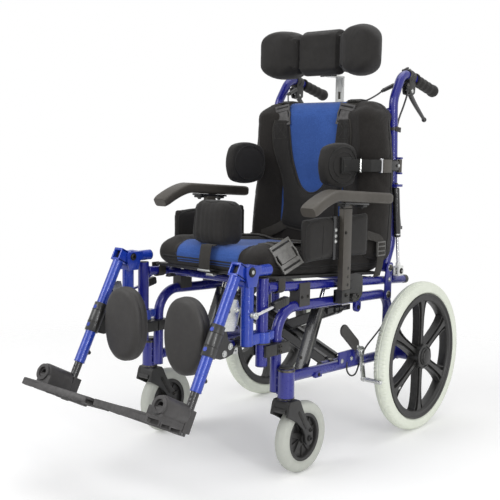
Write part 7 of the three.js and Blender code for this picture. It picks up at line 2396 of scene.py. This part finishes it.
@dataclass
class ReclineSpring:
    """The locking gas spring beside the left cane."""

    shop: Workshop
    x: float = 214
    foot: Pair = (-46, 430)
    head: Pair = (-72, 650)

    def build(self) -> None:
        """Builds the cylinder and the rod with its pale foot."""
        foot, head = Vector((self.x, *self.foot)), Vector((self.x, *self.head))
        along = (head - foot).normalized()
        low = head - along * 130
        body = Form().turned([(5.1, 0), (8.4, 0), (9, 1), (9, 127), (8, 129.6), (4.5, 130), (0, 130)], low,
                             along, Look.BLACK_BAR, 36)
        body.turned([(8, 6), (9.15, 6), (9.15, 9), (8, 9), (8, 6)], low, along, Look.ZINC, 36)
        body.block((210, -56, 540), (218, -39, 549), Look.BLACK_BAR, 1)
        self.shop.make(body, "recline_spring", "back", ["recline_cylinder"], "black_steel")
        rod = Form().rod(foot + along * 7, low + along * 26, 4.2, Look.CHROME)
        x, (y, z) = self.x, self.foot
        for hand in (-1, 1):
            rod.block((x + hand * 9, y - 12.5, z - 13), (x + hand * 3.4, y + 12.5, z + 13), Look.WHITE_STEEL,
                      1.8)
        rod.block((x - 8.6, y - 12.5, z + 8.7), (x + 8.6, y + 12.5, z + 13.2), Look.WHITE_STEEL, 1.6)
        rod.block((x - 8.6, y - 12.5, z - 13.0), (x + 8.6, y + 12.5, z - 8.7), Look.WHITE_STEEL, 1.6)
        rod.rod(foot + along * 12, foot + along * 22, 6.4, Look.WHITE_STEEL)
        self.shop.make(rod, "recline_spring_rod", "recline_rod", ["recline_rod"], "bright_steel")


@dataclass
class Cable:
    """A sleeved control cable, drawn as one curve."""

    shop: Workshop
    name: str
    body: str
    route: tuple[tuple[float, float, float], ...]
    node: str = ""
    radius: float = 2.5

    def build(self, side: Side = Side.LEFT) -> None:
        """Makes the cable as one curve.

        Args:
            side: The side that it is built for.
        """
        points = [Vector((side.value * p.x * MM, p.y * MM + AXLE_Y, p.z * MM))
                  for p in flowing(self.route, 4)]
        curve = bpy.data.curves.new(self.name, "CURVE")
        curve.dimensions = "3D"
        spline = curve.splines.new("POLY")
        spline.points.add(len(points) - 1)
        for spot, point in zip(points, spline.points):
            point.co = (*spot, 1)
        curve.bevel_depth, curve.bevel_resolution, curve.use_fill_caps = self.radius * MM, 4, True
        curve.materials.append(self.shop.paint.material(Look.JACKET))
        made = bpy.data.objects.new(self.name, curve)
        bpy.context.scene.collection.objects.link(made)
        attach(made, self.body)
        if self.node:
            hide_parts(self.node)


def run_cables(shop: Workshop) -> None:
    """Runs the left lever's cable, then each side's wheel lock cable and handle cable."""
    Cable(shop, "lever_cable", "back", (
        (194.5, 2.2, 912.5), (194.5, 2.2, 897.5), (192.5, -12, 864), (187, -30, 816), (184, -34, 742),
        (187, -34, 664), (202, -35, 594), (214, -43.5, 547)), "brake_cable").build()
    for side in Side:
        Cable(shop, f"lock_cable_{side.word}", "base", (
            (203, -262, 218), (204.5, -262, 196), (205, -246, 181), (204.5, -224, 181), (203, -208, 198),
            (203, -196, 222),
            (203.5, -174, 244), (202, -138, 263), (199, -102, 280), (195, -82, 290), (192, -70, 297)),
            radius=2.2).build(side)
        Cable(shop, f"handle_cable_{side.word}", "back", (
            (156, -62, 901), (149, -70, 893), (141, -80, 885), (133, -89, 878.5), (125, -96, 874)),
            radius=2.2).build(side)


@dataclass
class BackCushion(Cushion):
    """The contoured back cushion: a blue middle between black bolsters."""

    shop: Workshop
    half_x: float = 213
    thick: float = 76
    low: float = 447
    high: float = 884
    face_y: float = -144
    bolster: float = 26
    panel_x: float = 101

    def build(self) -> Skin:
        """Fills the cushion, sews its seams, hangs it on the tubes and returns its surface."""
        height = self.high - self.low
        size = (self.half_x * 2 - 8, self.thick - 7, height - 8)
        form = self.shop.swell(Form().pad(size, (46, 9, 42), 25, Look.KNIT, self._shape), 6.5, 8)
        self.press(form, self._seams)
        seam = self.panel_x

        def panel(middle: Vector) -> Look:
            """Blue between the seams, on the front and over the top edge."""
            narrow = seam * (1 - 0.08 * ease(0.2, 1, middle.z / (height / 2)))
            blue = abs(middle.x) < narrow and middle.y < 6 and middle.z > 545 - (self.low + self.high) / 2
            return Look.BLUE_KNIT if blue else Look.KNIT

        self.colour(form, panel)
        skin, trim = Skin(form), Form()
        for hand in (-1, 1):
            front = [(hand * seam * (1 - 0.08 * ease(0.2, 1, z / (height / 2))), -160, z)
                     for z in (-height / 2 + 8 + 5 * k for k in range(int((height - 12) / 5)))]
            line = skin.lay(front, (0, 1, 0), 0.1)
            self.pipe(trim, line, 1.0)
            inner = [p + Vector((-hand * 5, -20, 0)) for p in line]
            stitches(trim, skin.lay(inner, (0, 1, 0), 0.1), pitch=6)
        ring = []
        for k in range(160):
            angle = math.tau * k / 160
            c, s = math.cos(angle), math.sin(angle)
            reach = 1 / max(abs(c) / (self.half_x + 8), abs(s) / (height / 2 + 8))
            ring.append(skin.near((c * reach * 0.99, 12, s * reach * 0.99), 0.2))
        trim.sweep([*smoothed(ring, 4), ring[0]], circle(1.8, 8), Look.PIPING)
        form.take(trim)
        self.move(form, Matrix.Translation((0, self.face_y + self.thick / 2, (self.low + self.high) / 2)))
        made = self.shop.make(form, "back_pad", "back", ["back_cushion"], "blue_fabric")
        return Skin(form)

    def _shape(self, spot: Vector, u: float, v: float, w: float) -> Vector:
        """Raises the bolsters and the lumbar, narrows the top and rounds its corners."""
        if v < 0:
            side, edge = ease(0.45, 0.85, abs(u)), 1 - ease(0.82, 1, abs(w))
            spot.y += side * self.bolster * edge * v * (1 - 0.45 * ease(0.86, 1, abs(u)))
            spot.y += v * self.bolster * 0.35 * ease(-0.2, 0.7, -w) * edge
        else:
            spot.y += (17 * ease(0.78, 0.92, abs(u)) + 14 * ease(0.93, 1, abs(u))) * v
        spot.x *= 1 - 0.07 * ease(0.2, 1, w)
        if w > 0:
            spot.z -= 19 * ease(0.74, 1.02, abs(u)) ** 2 * w
        return spot

    def _seams(self, p: Vector) -> Vector:
        """The valleys of the long seams, and a slow unevenness."""
        if p.y > 0:
            return Vector()
        near = math.exp(-((abs(p.x) - self.panel_x * 0.98) / 7) ** 2)
        wave = 0.8 * noise.noise(Vector((p.x * 0.018, p.z * 0.018, 5.0)))
        return Vector((0, 3.4 * near + wave, 0))


def side_buckle(form: Form, centre: Vector, along: Vector, out: Vector, width: float,
                look: Look = Look.BUCKLE) -> None:
    """A side-release buckle with its ladder lock.

    Args:
        form: What it is added to.
        centre: Its middle.
        along: The way that the strap runs.
        out: The way that it faces.
        width: The strap's width.
        look: Its finish.
    """
    across = along.cross(out).normalized()
    scale = width / 38

    def part(start: float, end: float, wide: float, tall: float, lift: float = 0.0,
             finish: Look = look) -> None:
        """One moulded slab of the buckle."""
        form.sweep([centre + along * start * scale + out * lift, centre + along * end * scale + out * lift],
                   lozenge(wide * scale, tall, min(2.4, tall / 2.5)), finish, across)

    part(-27, -22, 44, 5.5)
    part(-18, -9, 44, 7)
    part(-9, 9, 33, 6)
    part(10, 17, 44, 7)
    part(21, 26, 44, 5.5)
    for hand in (-1, 1):
        edge = centre + across * hand * 20 * scale
        form.sweep([edge - along * 26 * scale, edge - along * 12 * scale], lozenge(5, 5, 1.5), look, across)
        form.sweep([edge - along * 10 * scale, edge + across * hand * 2.4, edge + along * 11 * scale],
                   lozenge(4.6, 6, 1.8), look, across)
        form.sweep([edge + along * 12 * scale, edge + along * 26 * scale], lozenge(5, 5, 1.5), look, across)
    part(-21.5, -18.5, 36, 2, 1.2, Look.PIPING)
    part(17.5, 20.5, 36, 2, 1.2, Look.PIPING)


@dataclass
class ChestHarness(Cushion):
    """The padded harness: webbing, buckles, straps and bib, laid on the back cushion."""

    shop: Workshop
    thick: float = 9.0
    band: tuple[tuple[float, float, float, float], ...] = (
        (84, 824, 122, 824), (79, 804, 128, 804), (76, 777, 129, 773), (72, 746, 124, 740),
        (66, 718, 115, 710), (57, 692, 105, 682), (47, 668, 97, 652), (37, 650, 91, 622), (27, 640, 89, 592),
        (18, 634, 92, 562), (10, 631, 96, 541), (5, 630, 60, 531), (0, 629.5, 0, 524),
    )

    def build(self, back: Skin) -> None:
        """Lays the band, its seams, the webbing and the buckles."""
        form = Form()
        half = [(Vector((a, 0, b)), Vector((c, 0, d))) for a, b, c, d in self.band]
        inner = flowing([p for p, _ in half], 4)
        outer = flowing([p for _, p in half], 4)
        rows = list(zip(inner, outer))
        flip = [(Vector((-a.x, 0, a.z)), Vector((-b.x, 0, b.z))) for a, b in reversed(rows[:-1])]
        self._blanket(form, rows + flip, back)
        self._webbing(form, back)
        made = self.shop.make(form, "harness", "back", ["chest_harness"], "webbing")

    def _blanket(self, form: Form, rows: Sequence[tuple[Vector, Vector]], back: Skin) -> None:
        """The padded band between two edges, laid on the cushion, with piping and seams.

        Args:
            form: The form that takes the shape.
            rows: The band's two edges, a pair of points a row.
            back: The back cushion's surface.
        """
        columns = 11
        tops: list[Vector] = []
        lows: list[Vector] = []
        last_y = -158.0
        for a, b in rows:
            for j in range(columns):
                share = j / (columns - 1)
                spot = a.lerp(b, share)
                found = back.drop((spot.x, -420, spot.z), (0, 1, 0))
                last_y = found.y if found else last_y
                full = max(0.0, 1 - abs(2 * share - 1) ** 5) ** 0.5
                lows.append(Vector((spot.x, last_y - 0.4, spot.z)))
                tops.append(Vector((spot.x, last_y - 1.2 - self.thick * full, spot.z)))
        tops = self._even(tops, len(rows), columns)
        points = tops + lows
        size, total = len(tops), len(rows)
        faces = []
        for i in range(total - 1):
            for j in range(columns - 1):
                a = i * columns + j
                faces.append((a, a + 1, a + columns + 1, a + columns))
                faces.append(tuple(size + k for k in (a, a + columns, a + columns + 1, a + 1)))
            for j in (0, columns - 1):
                a = i * columns + j
                faces.append((a, a + columns, size + a + columns, size + a))
        for i in (0, total - 1):
            for j in range(columns - 1):
                a = i * columns + j
                faces.append((a, a + 1, size + a + 1, size + a))
        form.add(points, faces, Look.SLEEK)
        for j, radius in ((0, 1.9), (columns - 1, 1.9)):
            edge = [tops[i * columns + j] + Vector((0, -0.6, 0)) for i in range(total)]
            form.sweep(smoothed(edge, 3), circle(radius, 8), Look.WEBBING)
        for j in (1, columns - 2):
            edge = [tops[i * columns + j] + Vector((0, -0.5, 0)) for i in range(total)]
            stitches(form, edge, pitch=5, thick=0.4)
        for half in (0, 1):
            for start, end in (((2, 2), (8, 8)), ((2, 8), (8, 2)), ((2, 2), (2, 8)), ((8, 2), (8, 8)),
                               ((2, 2), (8, 2)), ((2, 8), (8, 8))):
                line = []
                for k in range(9):
                    i = start[0] + (end[0] - start[0]) * k / 8
                    j = start[1] + (end[1] - start[1]) * k / 8
                    row = int(round(i)) if not half else total - 1 - int(round(i))
                    line.append(tops[row * columns + int(round(j))] + Vector((0, -0.6, 0)))
                stitches(form, line, pitch=3.4, thick=0.5)

    @staticmethod
    def _even(points: Sequence[Vector], rows: int, columns: int) -> list[Vector]:
        """Smooths the laid surface's depth along the rows."""
        depth = [p.y for p in points]
        for _ in range(3):
            depth = [depth[k] if not columns <= k < (rows - 1) * columns else
                     (depth[k - columns] + 2 * depth[k] + depth[k + columns]) / 4 for k in range(len(depth))]
        return [Vector((p.x, min(d, p.y + 1.0), p.z)) for p, d in zip(points, depth)]

    def _webbing(self, form: Form, back: Skin) -> None:
        """The shoulder webbing over the cushion's top, its buckles, and the lower straps.

        Args:
            form: The form that takes the shape.
            back: The back cushion's surface.
        """
        for hand in (-1, 1):
            over = [Vector((hand * 112, -104, 889)), Vector((hand * 112, -122, 888)),
                    Vector((hand * 111.5, -140, 883))]
            down = [back.drop((hand * (98 + (z - 808) * 0.2), -420, z), (0, 1, 0), 2.2)
                    for z in (870, 856, 840, 824, 808)]
            path = [*over, *(p for p in down if p is not None)]
            top = back.drop((hand * 112, -118, 950), (0, 0, -1), 1.6)
            if top is not None:
                path = [top + Vector((0, 18, 0)), top, Vector((top.x, -134, top.z - 1.5)), *path[3:]]
            form.ribbon(path, 36, 2.2, Look.WEBBING, steps=6)
            low, high = path[-1], path[-4]
            along = (high - low).normalized()
            out = Vector((hand, 0, 0)).cross(along)
            out = out if out.y < 0 else -out
            side_buckle(form, (low + high) / 2 + out * 5 + along * 4, along, out, 41, Look.FOOT_PLASTIC)
            form.sweep([path[1] + Vector((0, 0, 2.2)), path[1] + Vector((0, 26, 1.5))], lozenge(38, 6, 2),
                       Look.PLASTIC, (1, 0, 0))
            lower = [back.drop((hand * x, -420, z), (0, 1, 0), 1.8)
                     for x, z in ((84, 540), (104, 528), (126, 517), (148, 508), (168, 502), (186, 498))]
            strap = [p for p in lower if p is not None]
            form.sweep(smoothed(strap), lozenge(26, 2.2, 0.9), Look.WEBBING, (0.2 * hand, 0, 1))


@dataclass
class LateralSupport(Cushion):
    """A swing-away chest pad on a flat arm from the cane."""

    shop: Workshop
    x: float = 153
    y: float = -249
    z: float = 707
    size: tuple[float, float, float] = (34, 153, 117)
    swing_x: float = 209.3

    def pad(self) -> Form:
        """The rounded pad with piping and a seamed outer face."""
        t, w, h = self.size

        def rounded(spot: Vector, u: float, v: float, s: float) -> Vector:
            """Draws the corners in towards an oval."""
            reach, round_ = max(abs(v), abs(s)), math.hypot(v, s)
            pull = (reach / round_) ** 0.62 if round_ > 0 else 1.0
            spot.y *= pull
            spot.z *= pull
            spot.x += 5 * (1 - v * v) * (1 if u > 0 else 0.4) - 3
            return spot

        start = Form().pad((t - 7, w - 6, h - 6), (6, 26, 26), 10, Look.SLEEK, rounded)
        form = self.shop.swell(start, 4.2, 7)
        skin, trim = Skin(form), Form()
        for hand, share in ((-1, 0.86), (1, 0.86), (1, 0.62)):
            ring = [(hand * 60, math.cos(a) * (w / 2 - 6) * share, math.sin(a) * (h / 2 - 6) * share)
                    for a in (math.tau * k / 72 for k in range(72))]
            line = skin.lay(ring, (-hand, 0, 0), 0.2)
            if len(line) > 20:
                trim.sweep([*smoothed(line, 3), line[0]], circle(1.5 if share > 0.7 else 0.9, 8), Look.PIPING)
        form.take(trim)
        self.move(form, Matrix.Translation((self.x, self.y, self.z)))
        return form

    def arm(self) -> Form:
        """The plate, flat arm, bright clips and the brown clamp on the cane."""
        form = Form()
        outer, x, z = self.x + 17, self.swing_x, self.z
        form.block((outer - 3, -268, z - 20), (outer + 5.5, -222, z + 20), Look.PIPING, 1.6)
        form.sweep(bent([(outer + 5, -262, z), (outer + 8, -232, z), (x, -196, z), (x, -66, z)], [12, 22]),
                   lozenge(30, 3.4, 1), Look.PIPING, (0, 0, 1))
        form.sweep([(193, -215, z), (195.2, -212.4, z)], lozenge(34, 6.4, 1.2), Look.ZINC, (0, 0, 1))
        form.block((x - 3.6, -145, z - 18), (x + 4.6, -138, z + 18), Look.CHROME, 1)
        form.bolt((outer + 5.5, -254, z), (1, 0, 0), 4, 2.4)
        form.block((x - 5.5, -137, z - 18), (x + 6, -98, z + 16), Look.ARM_METAL, 1.4)
        form.block((x - 3, -99, z - 12), (x + 3, -50, z + 12), Look.BLACK_BAR, 1)
        form.rod((x, -50, z - 17), (x, -50, z + 17), 6, Look.ARM_METAL, 30)
        form.bolt((x + 6, -64, z), (1, 0, 0), 3.6, 2.6, Look.ZINC)
        return form

    def build(self, side: Side, cover: Form) -> None:
        """Builds one support round the pad's finished form."""
        word, node = side.word, f"lateral_support_{side.word}"
        made = self.shop.make(cover, f"chest_pad_{word}", f"lateral_{word}", [node], "black_fabric", side)
        self.shop.make(self.arm(), f"chest_pad_arm_{word}", f"lateral_{word}", [node], "black_steel", side)


@dataclass
class Headrest(Cushion):
    """The three-part wrap-round headrest on its flat stalk."""

    shop: Workshop
    centre_x: float = 66
    y: float = -112
    z: float = 1003
    height: float = 134
    thick: float = 46
    tip_x: float = 198

    def build(self) -> None:
        """Fills the pad, sews its creases, and builds the stalk."""
        size = (self.tip_x * 2 - 12, self.thick - 6, self.height - 10)
        form = self.shop.swell(Form().pad(size, (64, 9, 24), 20, Look.SLEEK, self._shape), 5.5, 9)
        self.press(form, self._crease)
        skin, trim = Skin(form), Form()
        for hand in (-1, 1):
            fold = [(hand * self.centre_x, -200, -58 + 4 * k) for k in range(30)]
            line = skin.lay(fold, (0, 1, 0), -0.5)
            self.pipe(trim, line, 1.3)
            arc = [(hand * (self.centre_x + 17 - 13 * (1 - (z / 62) ** 2)), -200, z)
                   for z in (-56 + 4 * k for k in range(29))]
            stitches(trim, smoothed(skin.lay(arc, (0, 1, 0), 0.1)), pitch=5)
        form.take(trim)
        self.move(form, Matrix.Translation((0, self.y, self.z)))
        made = self.shop.make(form, "head_pad", "headrest", ["headrest_pad"], "black_fabric")
        self._stalk()

    def _shape(self, spot: Vector, u: float, v: float, w: float) -> Vector:
        """Wraps the wings forward and makes them full."""
        out = abs(spot.x)
        bend = ease(53, self.tip_x, out)
        puff = ease(self.centre_x, 112, out) * (1 - ease(156, self.tip_x + 14, out))
        spot.y *= 1 + 1.15 * puff
        spot.y -= bend * 27 - puff * 8
        tip = max(0.0, (out - 116) / (self.tip_x - 116))
        middle = 1 - ease(self.centre_x - 10, self.centre_x + 6, out)
        spot.z *= (1 + 0.10 * puff + 0.11 * middle) * max(0.03, 1 - tip ** 2.7) ** 0.5
        return spot

    def _crease(self, p: Vector) -> Vector:
        """The two deep creases between the parts, and the puckers beside them."""
        near = math.exp(-((abs(p.x) - self.centre_x) / 6) ** 2)
        wide = math.exp(-((abs(p.x) - self.centre_x) / 20) ** 2)
        front = 1 - ease(-14, 14, p.y + 10)
        pucker = 0.9 * noise.noise(Vector((p.x * 0.03, p.y * 0.03,
                                           p.z * 0.045))) + 0.5 * wide * math.sin(p.z * 0.30)
        return Vector((0, front * (12 * near) + pucker, -p.z * 0.06 * near))

    def _stalk(self) -> None:
        """The slotted strip, the top arm and the face plate behind the pad."""
        form = Form()
        y, w, t = -30.0, 26.0, 5.0
        for hand in (-1, 1):
            form.block((hand * 4, y - t / 2, 790), (hand * w / 2, y + t / 2, 948), Look.WHITE_STEEL, 0.8)
        form.block((-5, y - t / 2, 790), (5, y + t / 2, 798), Look.WHITE_STEEL, 0.8)
        form.block((-5, y - t / 2, 852), (5, y + t / 2, 886), Look.WHITE_STEEL, 0.6)
        form.block((-5, y - t / 2, 906), (5, y + t / 2, 948), Look.WHITE_STEEL, 0.6)
        form.block((-5, y - 1.2, 886), (5, y + 1.2, 906), Look.BOLT, 0.2)
        form.block((-13, -88.7, 943), (13, y + t / 2, 948), Look.WHITE_STEEL, 1)
        form.block((-26, -88.7, 943), (26, -83.7, 1003), Look.BLACK_BAR, 1.2)
        for x in (-16, 16):
            form.bolt((x, -83.7, 985), (0, 1, 0), 4.4, 3)
        form.bolt((0, -60, 948), (0, 0, 1), 5, 3.4)
        self.shop.make(form, "head_stalk", "headrest", ["headrest_stalk"], "bright_steel")


def corners(box: tuple[Vector, Vector]) -> list[list[float]]:
    """A box as plain numbers."""
    return [[round(v, 5) for v in corner] for corner in box]


def main() -> None:
    """Loads the frame and builds each sub-assembly in order."""
    logging.basicConfig(level=logging.INFO, format="%(message)s")
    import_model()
    Studio().build()
    shop = Workshop(PaintShop())
    run_cables(shop)
    for side in Side:
        for kind in (SideFrame, RearWheel, Caster, TiltStrut, ParkingBrake, Saddle, Hanger, Legrest,
                     Footplate, CalfPad, PushHandle):
            kind(shop).build(side)
            LOG.info("%s %s", kind.__name__, side.word)
    for kind in (CrossBrace, SeatFrame, SeatBoard, Pommel, BackFrame, ReclineSpring, Headrest):
        kind(shop).build()
        LOG.info(kind.__name__)
    seat = SeatCushion(shop).build()
    PelvicBelt(shop).build(seat)
    armrest = Armrest(shop)
    cover = armrest.side_pad()
    for side in Side:
        armrest.build(side, cover)
    LOG.info("cushion, belt and armrests")
    ChestHarness(shop).build(BackCushion(shop).build())
    lateral = LateralSupport(shop)
    cover = lateral.pad()
    for side in Side:
        lateral.build(side, cover)
    LOG.info("back cushion, harness and chest pads")
    bpy.context.view_layer.update()


if __name__ == "__main__":
    main()
